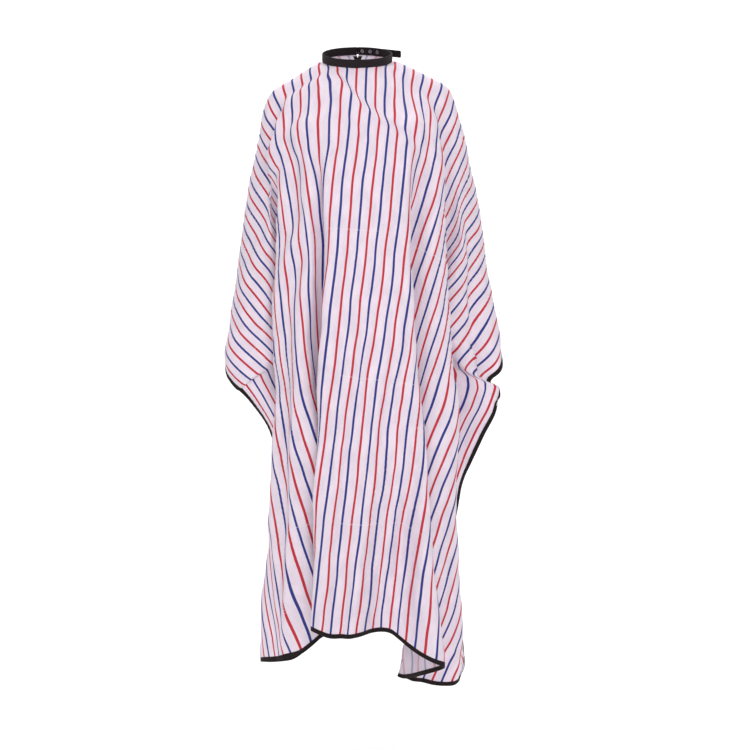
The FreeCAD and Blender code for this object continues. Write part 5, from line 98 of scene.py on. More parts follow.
    -297,38,-688,-297,23,-668,-291,9,-648,-282,-3,-629,-270,-14,-610,-258,-22,-591,-245,-29,-571,-231,-36,-550,-217,-41,-530,-203,-44,-510,-190,-44,-490,-178,-39,-472,-170,-29,-454,-164,-19,-435,-159,-13,-418,-156,-17,-401,-158,-30,-388,-165,-48,-377,-172,-69,-369,-166,-88,-363,-143,-96,-356,-123,-109,-347,-113,-130,-338,-89,-128,-331,-70,-117,-325,-71,-139,-322,-48,-145,-321,-23,-146,-321,3,-143,-322,28,-144,-324,53,-144,-327,78,-147,-330,101,-154,-333,112,-134,-340,115,-111,-348,137,-110,-357,159,-120,-366,179,-114,-376,189,-100,-388,188,-82,-399,182,-63,-411,179,-45,-424,183,-32,-437,190,-30,-450,196,-39,-463,201,-52,-477,209,-60,-494,220,-59,-512,232,-52,-530,244,-44,-548,259,-38,-568,275,-35,-591,291,-31,-616,306,-25,-640,318,-15,-664,327,-2,-685,
    -298,21,-703,-296,5,-683,-288,-7,-664,-275,-18,-645,-260,-27,-626,-246,-34,-606,-232,-41,-585,-219,-46,-565,-205,-49,-545,-193,-48,-525,-181,-41,-507,-172,-30,-489,-163,-18,-471,-155,-10,-453,-150,-10,-437,-149,-20,-422,-156,-35,-410,-167,-54,-401,-173,-73,-393,-162,-91,-387,-140,-100,-380,-123,-117,-372,-109,-134,-363,-87,-125,-356,-66,-117,-350,-71,-139,-348,-50,-150,-346,-24,-149,-347,1,-146,-348,26,-148,-350,51,-147,-353,76,-150,-356,100,-157,-359,114,-139,-365,110,-117,-372,130,-109,-381,151,-120,-390,173,-118,-400,187,-107,-411,191,-90,-422,186,-72,-434,178,-52,-446,177,-36,-458,181,-28,-471,186,-32,-483,189,-45,-497,196,-58,-512,206,-62,-529,219,-59,-548,231,-52,-566,245,-44,-587,261,-39,-610,279,-36,-634,296,-32,-658,311,-26,-680,326,-18,-698,
    -293,6,-718,-288,-9,-698,-278,-21,-679,-262,-29,-661,-246,-36,-641,-232,-43,-621,-219,-50,-600,-206,-53,-580,-194,-52,-560,-184,-45,-542,-175,-33,-524,-165,-21,-506,-155,-10,-489,-146,-6,-472,-142,-11,-457,-146,-24,-444,-158,-41,-434,-169,-58,-425,-173,-77,-418,-158,-92,-411,-139,-107,-404,-123,-124,-395,-105,-137,-387,-86,-123,-381,-64,-118,-376,-71,-139,-373,-52,-153,-371,-26,-152,-372,-1,-149,-373,24,-151,-375,49,-150,-378,74,-152,-381,98,-160,-384,115,-145,-389,106,-123,-397,122,-109,-405,143,-118,-414,166,-121,-424,183,-113,-434,192,-98,-445,190,-80,-457,181,-61,-468,176,-42,-480,175,-29,-492,177,-27,-504,178,-37,-516,182,-50,-531,193,-60,-547,206,-62,-565,219,-58,-584,233,-51,-605,248,-43,-628,266,-37,-651,284,-34,-673,303,-31,-693,323,-28,-710,
    -283,-6,-732,-274,-20,-714,-262,-30,-695,-246,-37,-676,-230,-43,-656,-216,-49,-636,-203,-53,-615,-192,-53,-596,-183,-46,-577,-175,-35,-559,-167,-24,-541,-156,-15,-523,-144,-8,-506,-137,-6,-490,-137,-14,-477,-147,-28,-467,-162,-44,-457,-172,-62,-449,-173,-81,-442,-158,-98,-435,-142,-116,-428,-121,-128,-420,-101,-138,-412,-84,-121,-406,-62,-118,-401,-70,-139,-399,-54,-156,-397,-29,-154,-398,-3,-151,-399,22,-153,-401,47,-152,-403,72,-153,-406,96,-161,-410,116,-150,-415,105,-130,-422,114,-109,-430,136,-115,-438,158,-122,-448,178,-118,-458,191,-106,-468,193,-89,-480,186,-69,-491,178,-49,-503,174,-32,-514,172,-25,-525,169,-29,-536,171,-41,-549,180,-53,-565,193,-60,-583,207,-60,-601,221,-56,-623,236,-49,-645,253,-41,-666,272,-36,-687,295,-35,-705,318,-34,-719,
    -273,-13,-743,-259,-27,-727,-244,-36,-710,-228,-43,-691,-213,-48,-671,-200,-52,-651,-188,-52,-631,-179,-47,-612,-172,-36,-594,-165,-25,-576,-156,-18,-558,-144,-13,-540,-133,-9,-524,-130,-8,-510,-137,-16,-499,-151,-30,-490,-166,-47,-481,-175,-66,-473,-173,-87,-466,-160,-107,-459,-140,-118,-452,-117,-125,-444,-98,-138,-437,-82,-121,-431,-60,-119,-426,-70,-139,-424,-56,-158,-422,-31,-156,-423,-6,-152,-424,19,-156,-426,44,-153,-428,69,-155,-432,94,-162,-435,116,-156,-439,107,-135,-446,107,-112,-454,129,-112,-462,150,-121,-472,171,-121,-481,188,-113,-492,195,-97,-502,192,-78,-514,184,-58,-525,177,-39,-536,172,-26,-546,165,-24,-557,162,-32,-569,168,-43,-584,181,-51,-600,196,-55,-618,209,-56,-637,225,-53,-660,242,-47,-681,264,-43,-700,289,-40,-716,317,-39,-727,
    -267,-17,-748,-248,-29,-734,-231,-39,-719,-214,-46,-702,-199,-51,-684,-186,-52,-666,-176,-47,-647,-168,-37,-628,-162,-26,-610,-153,-18,-592,-142,-16,-574,-131,-13,-557,-125,-9,-542,-128,-8,-530,-140,-17,-521,-155,-32,-513,-169,-50,-505,-176,-71,-497,-173,-92,-490,-159,-110,-483,-135,-113,-476,-115,-126,-469,-97,-140,-462,-81,-122,-457,-60,-119,-452,-69,-139,-449,-58,-160,-447,-33,-158,-448,-8,-154,-450,17,-158,-451,41,-154,-454,66,-156,-457,91,-162,-460,115,-162,-464,113,-139,-471,103,-118,-478,122,-108,-487,142,-120,-495,164,-123,-505,183,-118,-515,195,-105,-525,196,-88,-536,189,-68,-547,181,-48,-558,174,-31,-569,165,-23,-579,158,-25,-590,159,-33,-603,170,-41,-618,185,-46,-634,199,-48,-652,214,-49,-670,234,-48,-693,258,-47,-709,285,-44,-723,316,-42,-733,
    -264,-18,-749,-245,-28,-733,-225,-37,-720,-206,-43,-707,-189,-46,-693,-175,-44,-679,-166,-36,-663,-159,-25,-645,-151,-17,-627,-140,-15,-609,-127,-15,-592,-119,-12,-576,-119,-7,-563,-128,-7,-553,-142,-18,-544,-157,-36,-536,-170,-56,-529,-176,-76,-521,-172,-96,-514,-155,-109,-508,-132,-113,-500,-117,-132,-493,-95,-140,-487,-81,-121,-482,-59,-119,-477,-69,-140,-474,-60,-162,-472,-36,-160,-473,-11,-155,-475,14,-160,-476,39,-156,-479,63,-158,-482,89,-162,-485,112,-165,-489,117,-143,-495,103,-125,-502,114,-108,-511,135,-117,-519,156,-124,-529,177,-122,-538,192,-113,-548,198,-96,-559,194,-77,-570,185,-57,-581,177,-38,-591,166,-25,-601,156,-21,-612,153,-26,-623,160,-32,-637,174,-36,-651,190,-37,-667,207,-39,-682,229,-41,-700,255,-43,-715,284,-43,-727,316,-42,-737,
    -262,-17,-751,-245,-28,-733,-224,-35,-721,-203,-38,-711,-184,-36,-702,-169,-31,-692,-158,-23,-678,-149,-15,-661,-138,-13,-644,-124,-14,-626,-113,-14,-609,-109,-8,-595,-116,-4,-584,-129,-8,-576,-143,-23,-568,-157,-42,-560,-169,-62,-553,-176,-81,-546,-170,-98,-539,-151,-105,-532,-130,-117,-525,-118,-137,-517,-95,-139,-512,-81,-119,-507,-59,-119,-502,-69,-140,-500,-63,-163,-498,-38,-162,-499,-13,-157,-500,11,-162,-502,35,-157,-505,60,-160,-507,85,-162,-511,109,-167,-515,121,-149,-520,105,-132,-527,107,-110,-535,128,-115,-543,149,-123,-552,170,-125,-562,188,-119,-571,198,-105,-582,197,-87,-593,189,-67,-603,179,-47,-614,169,-30,-624,157,-20,-634,150,-21,-645,152,-27,-657,165,-31,-669,182,-31,-682,203,-31,-694,227,-35,-707,254,-38,-719,285,-40,-730,317,-42,-741,
    -255,-15,-757,-239,-27,-742,-219,-35,-731,-198,-34,-723,-179,-27,-716,-162,-20,-708,-149,-13,-695,-136,-10,-678,-122,-12,-661,-109,-14,-644,-101,-11,-628,-102,-4,-616,-113,-3,-607,-128,-12,-599,-142,-29,-591,-156,-49,-584,-169,-67,-576,-175,-85,-570,-168,-100,-563,-148,-104,-557,-131,-122,-550,-118,-141,-542,-95,-136,-537,-81,-117,-531,-59,-119,-527,-69,-140,-525,-65,-164,-523,-41,-163,-524,-16,-158,-525,8,-163,-527,33,-158,-530,57,-163,-532,82,-162,-536,106,-169,-539,124,-155,-544,110,-136,-551,103,-115,-559,122,-113,-567,142,-121,-576,162,-126,-585,182,-123,-595,196,-112,-605,199,-95,-615,193,-77,-626,183,-57,-636,172,-37,-647,160,-23,-657,150,-19,-667,148,-24,-679,157,-29,-690,175,-31,-701,198,-32,-710,225,-35,-719,256,-40,-728,288,-42,-738,317,-41,-748,
    -243,-12,-770,-227,-27,-759,-208,-35,-750,-189,-33,-742,-171,-24,-735,-154,-15,-726,-138,-11,-712,-122,-12,-696,-107,-14,-678,-95,-14,-662,-91,-7,-648,-98,-1,-638,-111,-4,-630,-126,-18,-623,-140,-36,-615,-156,-54,-607,-170,-71,-601,-175,-88,-594,-166,-101,-588,-145,-107,-582,-133,-127,-574,-116,-144,-567,-95,-133,-562,-80,-114,-556,-58,-119,-553,-69,-141,-550,-67,-164,-548,-43,-165,-549,-19,-159,-551,5,-165,-552,29,-159,-555,54,-165,-558,78,-162,-561,102,-169,-565,124,-162,-569,117,-140,-576,102,-122,-584,116,-113,-592,135,-119,-600,154,-126,-609,175,-127,-618,192,-118,-628,200,-103,-638,196,-85,-649,186,-66,-659,175,-46,-669,164,-28,-680,153,-19,-690,147,-21,-701,151,-28,-712,168,-33,-721,194,-36,-730,226,-41,-737,260,-46,-744,289,-45,-752,315,-41,-760,
    -229,-8,-788,-214,-25,-780,-196,-35,-772,-178,-34,-764,-160,-25,-755,-142,-17,-745,-125,-15,-730,-109,-16,-713,-93,-16,-696,-83,-11,-681,-83,-3,-669,-94,0,-661,-109,-8,-654,-124,-25,-646,-140,-43,-639,-157,-59,-632,-172,-74,-625,-175,-89,-619,-164,-102,-613,-143,-110,-606,-133,-132,-599,-114,-145,-592,-95,-130,-587,-79,-112,-581,-58,-120,-578,-69,-141,-575,-70,-165,-573,-46,-167,-574,-21,-161,-576,3,-166,-577,26,-160,-580,50,-167,-582,74,-162,-586,99,-168,-590,123,-167,-593,122,-144,-600,105,-129,-608,112,-114,-616,128,-117,-624,147,-125,-632,167,-129,-641,186,-123,-651,198,-110,-661,199,-94,-672,191,-75,-682,179,-55,-692,168,-36,-703,157,-22,-713,148,-18,-724,149,-24,-734,163,-30,-743,190,-36,-751,223,-42,-759,256,-46,-765,287,-46,-771,312,-41,-777,
    -215,-5,-807,-201,-24,-801,-184,-36,-794,-166,-37,-785,-147,-30,-775,-129,-23,-763,-112,-20,-748,-96,-17,-731,-81,-13,-715,-73,-6,-701,-78,0,-692,-91,-2,-684,-107,-14,-677,-123,-32,-670,-141,-48,-663,-160,-62,-656,-174,-75,-649,-174,-89,-643,-161,-102,-637,-141,-114,-631,-132,-136,-624,-111,-145,-617,-95,-128,-611,-77,-111,-606,-57,-120,-602,-69,-141,-600,-72,-165,-599,-49,-169,-599,-24,-162,-601,0,-168,-603,23,-161,-605,46,-169,-608,70,-163,-611,95,-166,-615,119,-171,-618,127,-150,-624,110,-134,-632,110,-117,-640,123,-116,-648,140,-123,-656,159,-129,-665,179,-127,-675,195,-117,-685,201,-102,-695,197,-84,-705,185,-64,-715,174,-44,-726,162,-26,-736,152,-17,-747,150,-19,-757,159,-26,-766,183,-32,-774,216,-38,-781,250,-43,-788,281,-44,-793,306,-40,-798,
    -202,-4,-828,-189,-23,-823,-173,-36,-815,-154,-38,-806,-135,-33,-794,-118,-26,-780,-101,-19,-765,-86,-12,-749,-72,-5,-734,-66,0,-723,-73,1,-714,-89,-7,-708,-106,-21,-701,-124,-38,-694,-143,-52,-687,-163,-64,-680,-176,-77,-674,-174,-91,-668,-159,-104,-662,-141,-118,-655,-131,-140,-648,-108,-145,-642,-93,-125,-636,-75,-109,-631,-55,-121,-627,-69,-142,-625,-74,-165,-624,-51,-170,-624,-27,-163,-626,-3,-169,-627,20,-161,-630,42,-170,-632,67,-165,-636,92,-164,-639,114,-173,-643,130,-156,-648,117,-137,-655,110,-120,-664,119,-116,-672,134,-121,-680,152,-128,-689,172,-130,-698,192,-123,-708,203,-110,-718,204,-94,-728,195,-75,-739,182,-53,-749,169,-32,-759,158,-18,-770,152,-15,-780,157,-21,-789,177,-29,-797,207,-35,-804,240,-39,-810,270,-39,-816,296,-36,-821,
    -193,-4,-850,-180,-22,-844,-163,-33,-836,-145,-35,-825,-126,-29,-811,-109,-21,-797,-94,-12,-782,-78,-2,-767,-65,4,-754,-61,4,-745,-70,-1,-738,-87,-13,-732,-106,-28,-725,-125,-42,-718,-146,-55,-712,-166,-66,-705,-177,-79,-698,-173,-93,-692,-157,-106,-686,-140,-123,-679,-128,-143,-673,-105,-143,-666,-91,-123,-661,-73,-108,-655,-54,-122,-652,-68,-142,-650,-77,-164,-649,-54,-171,-649,-30,-163,-651,-7,-170,-653,16,-162,-655,39,-172,-657,63,-168,-660,88,-163,-664,110,-173,-667,130,-162,-672,124,-140,-679,113,-124,-688,117,-116,-696,129,-118,-704,145,-126,-712,164,-131,-722,188,-128,-732,208,-120,-742,214,-105,-752,204,-85,-762,190,-62,-773,176,-39,-783,165,-20,-793,157,-13,-803,157,-16,-813,172,-24,-821,198,-31,-828,230,-34,-834,259,-34,-839,285,-30,-844,
    -187,-5,-872,-172,-20,-865,-156,-27,-854,-138,-25,-841,-121,-19,-825,-104,-11,-812,-88,-1,-799,-73,8,-786,-60,10,-776,-57,4,-768,-69,-6,-762,-87,-18,-756,-107,-32,-749,-128,-45,-743,-150,-56,-736,-170,-67,-729,-179,-81,-722,-172,-95,-716,-155,-109,-710,-139,-127,-703,-125,-146,-697,-102,-141,-691,-90,-120,-685,-70,-107,-680,-53,-122,-677,-68,-142,-675,-79,-164,-674,-57,-172,-674,-33,-164,-675,-10,-171,-677,13,-163,-680,35,-173,-682,60,-170,-685,83,-162,-688,105,-173,-691,128,-167,-695,131,-143,-702,117,-128,-711,117,-117,-720,125,-115,-728,138,-124,-736,156,-131,-746,182,-132,-756,206,-126,-766,217,-113,-776,212,-93,-786,198,-70,-797,184,-46,-807,172,-24,-816,163,-11,-826,160,-11,-836,168,-19,-845,191,-25,-852,220,-28,-858,249,-27,-863,275,-23,-868,
    -182,-6,-894,-166,-14,-884,-150,-15,-870,-134,-10,-854,-117,-6,-839,-99,-1,-827,-82,7,-817,-66,16,-807,-53,13,-798,-54,1,-792,-69,-11,-786,-89,-23,-780,-111,-36,-774,-132,-48,-767,-154,-58,-761,-174,-69,-753,-181,-83,-746,-170,-98,-740,-152,-112,-733,-137,-131,-727,-120,-148,-721,-99,-138,-715,-87,-116,-709,-67,-105,-704,-52,-123,-701,-68,-141,-700,-80,-162,-699,-60,-173,-699,-36,-165,-700,-13,-173,-702,9,-163,-705,31,-173,-707,56,-172,-710,79,-162,-713,100,-172,-715,125,-170,-719,135,-149,-725,122,-132,-735,117,-117,-743,121,-112,-751,130,-121,-760,147,-130,-770,173,-133,-780,200,-130,-790,217,-120,-800,217,-101,-810,204,-77,-821,190,-52,-830,179,-28,-840,171,-10,-849,163,-5,-859,166,-12,-869,185,-20,-876,212,-22,-882,239,-20,-887,265,-15,-891,
    -177,-3,-915,-160,-4,-900,-145,1,-883,-128,4,-866,-110,1,-853,-90,1,-844,-73,11,-837,-58,21,-829,-46,14,-822,-52,-2,-817,-72,-14,-811,-93,-25,-805,-115,-38,-799,-136,-50,-792,-158,-60,-785,-178,-70,-777,-183,-86,-769,-169,-101,-763,-150,-116,-757,-135,-135,-751,-115,-148,-745,-96,-135,-739,-84,-113,-733,-63,-103,-728,-51,-123,-726,-68,-141,-724,-82,-161,-723,-62,-174,-723,-39,-166,-724,-16,-174,-726,6,-164,-730,28,-174,-731,53,-174,-734,74,-162,-737,96,-170,-739,121,-171,-743,138,-154,-748,128,-135,-758,119,-118,-767,120,-107,-775,122,-118,-784,138,-130,-794,162,-133,-804,190,-132,-814,213,-125,-824,220,-108,-834,210,-83,-845,195,-58,-855,186,-33,-863,179,-10,-872,170,2,-882,165,-4,-893,179,-15,-901,204,-17,-906,231,-15,-911,254,-7,-915,
    -172,9,-930,-156,14,-912,-138,16,-895,-120,8,-881,-102,-3,-871,-81,-1,-865,-67,16,-859,-51,28,-852,-41,13,-847,-54,-4,-842,-77,-14,-836,-98,-26,-830,-119,-39,-824,-140,-53,-817,-163,-60,-810,-184,-70,-801,-185,-91,-793,-166,-104,-786,-148,-120,-780,-131,-138,-774,-109,-147,-769,-91,-133,-763,-80,-110,-757,-59,-101,-752,-50,-123,-750,-68,-140,-749,-83,-159,-748,-65,-174,-748,-42,-167,-749,-19,-175,-751,2,-165,-755,25,-175,-756,50,-176,-758,70,-162,-761,93,-169,-764,117,-171,-767,138,-159,-771,136,-138,-780,126,-120,-791,124,-103,-799,115,-114,-808,129,-129,-818,153,-134,-828,178,-133,-839,204,-129,-849,221,-114,-859,216,-89,-869,203,-63,-878,192,-37,-887,186,-13,-895,181,7,-904,166,7,-916,174,-9,-926,198,-13,-931,223,-11,-936,243,2,-939,
    -166,27,-941,-145,26,-925,-128,14,-911,-116,-4,-898,-95,-9,-891,-77,6,-887,-66,26,-881,-45,33,-876,-41,11,-872,-60,-3,-866,-83,-13,-860,-104,-26,-854,-124,-41,-848,-145,-53,-842,-169,-60,-834,-189,-73,-825,-184,-95,-816,-163,-108,-810,-146,-125,-803,-126,-139,-797,-103,-145,-792,-85,-130,-786,-76,-107,-781,-55,-99,-776,-49,-122,-775,-68,-138,-774,-83,-158,-773,-68,-175,-772,-45,-168,-773,-22,-176,-775,-1,-166,-779,22,-175,-781,46,-178,-783,66,-163,-785,89,-167,-787,113,-171,-790,136,-162,-795,143,-143,-803,133,-124,-814,132,-104,-823,113,-107,-832,121,-126,-842,144,-133,-853,168,-134,-863,193,-130,-873,215,-120,-883,221,-94,-893,212,-67,-901,203,-39,-909,196,-16,-918,192,8,-926,175,18,-938,170,0,-950,192,-10,-956,216,-8,-961,235,8,-964,
    -158,29,-954,-140,14,-941,-133,-4,-924,-112,-13,-917,-91,-2,-911,-80,18,-907,-64,36,-904,-42,32,-901,-45,10,-898,-67,-1,-891,-89,-12,-885,-110,-26,-879,-130,-40,-873,-152,-53,-866,-176,-60,-859,-192,-77,-849,-181,-98,-839,-159,-111,-832,-143,-129,-825,-119,-137,-820,-96,-143,-815,-79,-127,-810,-72,-104,-805,-51,-98,-800,-49,-121,-799,-68,-137,-798,-84,-156,-798,-71,-176,-797,-48,-169,-797,-25,-178,-800,-4,-167,-804,19,-176,-805,43,-180,-807,63,-164,-809,87,-165,-811,110,-170,-814,133,-163,-818,146,-148,-827,138,-130,-837,137,-109,-847,118,-100,-856,115,-120,-867,136,-131,-877,158,-135,-887,182,-129,-898,205,-123,-908,218,-100,-918,209,-72,-925,199,-44,-933,193,-21,-941,195,3,-949,188,22,-960,173,13,-973,187,-5,-981,212,-5,-986,231,11,-989,
    -169,19,-954,-156,-3,-946,-134,-15,-941,-110,-7,-938,-94,11,-930,-81,30,-927,-61,42,-927,-41,30,-926,-51,10,-922,-74,1,-915,-96,-11,-909,-116,-26,-903,-137,-40,-898,-159,-52,-890,-183,-61,-883,-192,-82,-873,-176,-100,-862,-155,-115,-855,-137,-132,-848,-113,-136,-843,-90,-141,-838,-75,-123,-833,-68,-100,-829,-46,-96,-824,-48,-120,-824,-68,-136,-823,-84,-155,-822,-74,-176,-821,-51,-170,-821,-28,-179,-824,-7,-168,-828,16,-177,-830,40,-182,-831,60,-166,-833,84,-163,-835,107,-169,-837,131,-164,-842,148,-153,-850,140,-136,-861,138,-115,-871,126,-97,-881,113,-112,-891,129,-128,-902,150,-134,-912,172,-132,-922,194,-124,-933,213,-105,-943,213,-76,-949,205,-48,-957,196,-26,-965,194,-3,-973,199,19,-982,182,25,-995,184,4,-1006,207,-2,-1011,227,13,-1014,
    -161,20,-969,-157,-4,-967,-132,-11,-963,-115,6,-955,-98,24,-948,-80,40,-948,-57,46,-951,-42,28,-951,-59,11,-946,-82,2,-940,-103,-11,-934,-123,-25,-928,-144,-40,-922,-167,-52,-915,-189,-64,-907,-190,-87,-896,-170,-102,-885,-151,-119,-878,-132,-134,-871,-107,-137,-866,-84,-139,-861,-72,-118,-857,-65,-95,-853,-42,-96,-848,-48,-119,-848,-68,-135,-848,-84,-154,-847,-77,-176,-846,-54,-172,-845,-31,-181,-849,-10,-170,-853,14,-177,-854,37,-185,-856,58,-168,-858,82,-162,-859,104,-167,-861,129,-164,-865,149,-158,-874,143,-142,-885,137,-121,-896,133,-99,-906,114,-102,-915,122,-123,-926,142,-129,-937,163,-133,-947,184,-124,-958,207,-110,-968,217,-83,-974,209,-54,-981,200,-32,-989,196,-9,-997,203,13,-1005,197,30,-1016,184,17,-1029,202,3,-1036,222,16,-1039,
    -154,22,-991,-155,-3,-990,-129,-5,-984,-112,13,-975,-93,27,-968,-77,45,-971,-53,47,-975,-46,25,-975,-66,13,-970,-89,3,-964,-109,-11,-958,-130,-26,-952,-152,-40,-946,-175,-52,-939,-194,-68,-931,-187,-91,-920,-166,-106,-908,-148,-123,-900,-125,-135,-893,-101,-140,-889,-78,-136,-884,-70,-113,-881,-60,-91,-877,-39,-96,-872,-48,-117,-873,-67,-134,-872,-84,-153,-871,-80,-177,-870,-57,-173,-869,-34,-182,-873,-13,-172,-878,12,-178,-879,34,-186,-880,55,-170,-881,80,-161,-883,101,-165,-884,126,-162,-888,149,-162,-897,148,-146,-909,139,-127,-920,138,-104,-930,120,-96,-939,117,-116,-950,135,-127,-961,155,-132,-972,177,-129,-982,199,-112,-993,216,-89,-999,216,-58,-1005,207,-36,-1013,198,-15,-1020,202,8,-1029,208,28,-1037,192,30,-1051,197,10,-1060,220,16,-1064,
    -151,23,-1013,-151,-1,-1012,-125,0,-1005,-104,12,-996,-88,31,-989,-74,50,-994,-51,46,-1000,-52,23,-1000,-74,14,-995,-96,2,-988,-116,-12,-982,-138,-26,-977,-161,-40,-971,-183,-53,-963,-196,-74,-956,-182,-94,-943,-162,-110,-930,-143,-127,-923,-118,-134,-915,-95,-141,-911,-73,-132,-908,-68,-108,-904,-56,-88,-900,-35,-96,-897,-48,-116,-897,-67,-133,-897,-83,-153,-896,-83,-176,-894,-60,-175,-893,-36,-184,-897,-15,-173,-902,9,-179,-903,32,-188,-904,53,-173,-905,78,-161,-907,99,-163,-908,123,-157,-912,147,-165,-921,152,-151,-933,142,-134,-944,141,-111,-955,129,-93,-964,116,-107,-975,127,-123,-986,148,-126,-996,168,-129,-1007,189,-112,-1018,211,-93,-1023,219,-63,-1029,210,-42,-1036,202,-20,-1044,200,2,-1053,213,20,-1060,205,37,-1072,195,22,-1084,216,13,-1088,
    -148,24,-1036,-146,1,-1033,-122,8,-1025,-99,17,-1016,-89,39,-1010,-71,54,-1016,-50,43,-1024,-59,22,-1024,-82,13,-1019,-103,1,-1012,-123,-14,-1007,-146,-28,-1001,-169,-42,-995,-190,-56,-987,-196,-79,-980,-177,-97,-967,-157,-114,-953,-137,-130,-945,-112,-134,-938,-89,-141,-934,-69,-128,-931,-65,-103,-928,-51,-85,-924,-32,-97,-921,-48,-115,-922,-66,-133,-921,-83,-153,-921,-86,-176,-918,-63,-178,-916,-39,-185,-921,-18,-175,-927,7,-180,-928,29,-190,-928,51,-174,-929,75,-161,-930,96,-162,-931,120,-154,-935,143,-167,-945,155,-157,-957,145,-140,-968,141,-118,-980,137,-95,-989,118,-98,-1000,121,-118,-1011,141,-121,-1021,159,-129,-1032,182,-116,-1043,204,-96,-1048,220,-69,-1053,218,-46,-1060,209,-24,-1067,200,-4,-1076,212,15,-1084,217,34,-1093,200,36,-1106,209,16,-1113,
    -144,24,-1058,-138,0,-1055,-113,4,-1045,-96,22,-1037,-89,45,-1031,-68,56,-1040,-52,40,-1049,-66,21,-1048,-89,12,-1043,-109,-1,-1037,-131,-16,-1031,-154,-30,-1025,-177,-45,-1020,-196,-61,-1012,-193,-84,-1004,-173,-101,-990,-152,-118,-975,-131,-133,-968,-106,-135,-960,-82,-140,-957,-66,-123,-954,-62,-99,-951,-45,-83,-948,-29,-99,-945,-45,-117,-946,-64,-134,-946,-82,-153,-945,-89,-175,-943,-66,-181,-940,-41,-186,-946,-21,-176,-952,4,-182,-952,26,-192,-953,48,-175,-953,72,-161,-954,93,-161,-955,116,-151,-959,139,-168,-969,156,-163,-981,149,-146,-993,143,-124,-1005,142,-101,-1014,125,-91,-1024,116,-111,-1036,134,-117,-1047,152,-126,-1058,175,-119,-1068,195,-96,-1073,216,-73,-1078,222,-51,-1084,212,-30,-1090,203,-10,-1100,206,11,-1108,222,27,-1116,214,46,-1127,203,28,-1136,
    -140,24,-1081,-130,1,-1076,-106,6,-1065,-100,29,-1058,-88,50,-1053,-65,56,-1063,-55,35,-1073,-74,22,-1071,-96,11,-1067,-116,-3,-1061,-139,-18,-1055,-163,-33,-1050,-185,-47,-1044,-201,-66,-1036,-190,-88,-1029,-169,-105,-1013,-147,-122,-998,-125,-135,-990,-100,-136,-982,-76,-139,-979,-62,-119,-977,-57,-95,-975,-39,-81,-971,-26,-100,-969,-45,-116,-970,-63,-134,-970,-81,-153,-970,-91,-174,-967,-69,-184,-964,-44,-187,-970,-23,-176,-976,1,-183,-977,23,-193,-977,44,-176,-977,69,-161,-977,90,-160,-978,112,-148,-982,134,-168,-993,156,-169,-1005,155,-151,-1017,146,-131,-1030,145,-107,-1039,134,-89,-1049,114,-103,-1060,126,-116,-1071,146,-118,-1082,166,-118,-1093,187,-96,-1098,209,-75,-1102,224,-57,-1107,219,-35,-1114,209,-15,-1123,204,5,-1132,221,21,-1139,225,46,-1148,205,47,-1158,
    -136,23,-1103,-121,2,-1097,-100,10,-1086,-101,34,-1079,-86,54,-1075,-63,54,-1086,-60,32,-1097,-82,21,-1095,-103,9,-1091,-124,-5,-1085,-147,-20,-1080,-171,-35,-1074,-194,-50,-1068,-202,-72,-1061,-186,-92,-1053,-164,-109,-1037,-142,-125,-1021,-118,-138,-1013,-94,-138,-1005,-70,-137,-1002,-60,-115,-1001,-52,-91,-998,-32,-81,-995,-24,-102,-993,-43,-117,-995,-61,-135,-995,-79,-154,-994,-93,-173,-992,-72,-186,-987,-47,-188,-994,-26,-177,-1001,-2,-185,-1001,20,-194,-1001,40,-176,-1001,65,-162,-1001,86,-159,-1001,107,-145,-1005,130,-166,-1017,153,-175,-1029,159,-157,-1041,150,-138,-1054,147,-115,-1064,143,-92,-1074,117,-94,-1085,120,-111,-1096,139,-115,-1108,158,-117,-1119,181,-100,-1122,201,-74,-1126,221,-62,-1131,224,-40,-1137,216,-20,-1146,205,-1,-1155,214,19,-1163,230,42,-1171,214,59,-1180,
    -134,19,-1125,-113,4,-1118,-94,16,-1107,-100,39,-1101,-84,56,-1097,-61,51,-1109,-66,29,-1120,-89,20,-1119,-110,7,-1115,-132,-8,-1110,-156,-23,-1104,-180,-38,-1098,-200,-54,-1093,-200,-78,-1085,-181,-96,-1077,-159,-113,-1060,-135,-128,-1043,-112,-139,-1035,-89,-134,-1027,-65,-133,-1025,-56,-111,-1024,-46,-88,-1022,-25,-81,-1019,-21,-104,-1017,-41,-118,-1019,-59,-136,-1019,-78,-154,-1019,-93,-172,-1016,-75,-187,-1011,-50,-188,-1018,-29,-177,-1025,-6,-186,-1025,17,-196,-1025,37,-176,-1025,61,-162,-1025,83,-158,-1025,103,-143,-1028,126,-164,-1041,150,-179,-1053,163,-164,-1065,154,-145,-1079,149,-122,-1089,149,-98,-1099,125,-88,-1109,114,-105,-1121,131,-113,-1133,151,-112,-1144,174,-103,-1147,194,-77,-1151,215,-66,-1156,227,-46,-1161,221,-25,-1170,210,-7,-1179,211,14,-1187,229,36,-1194,222,61,-1204,
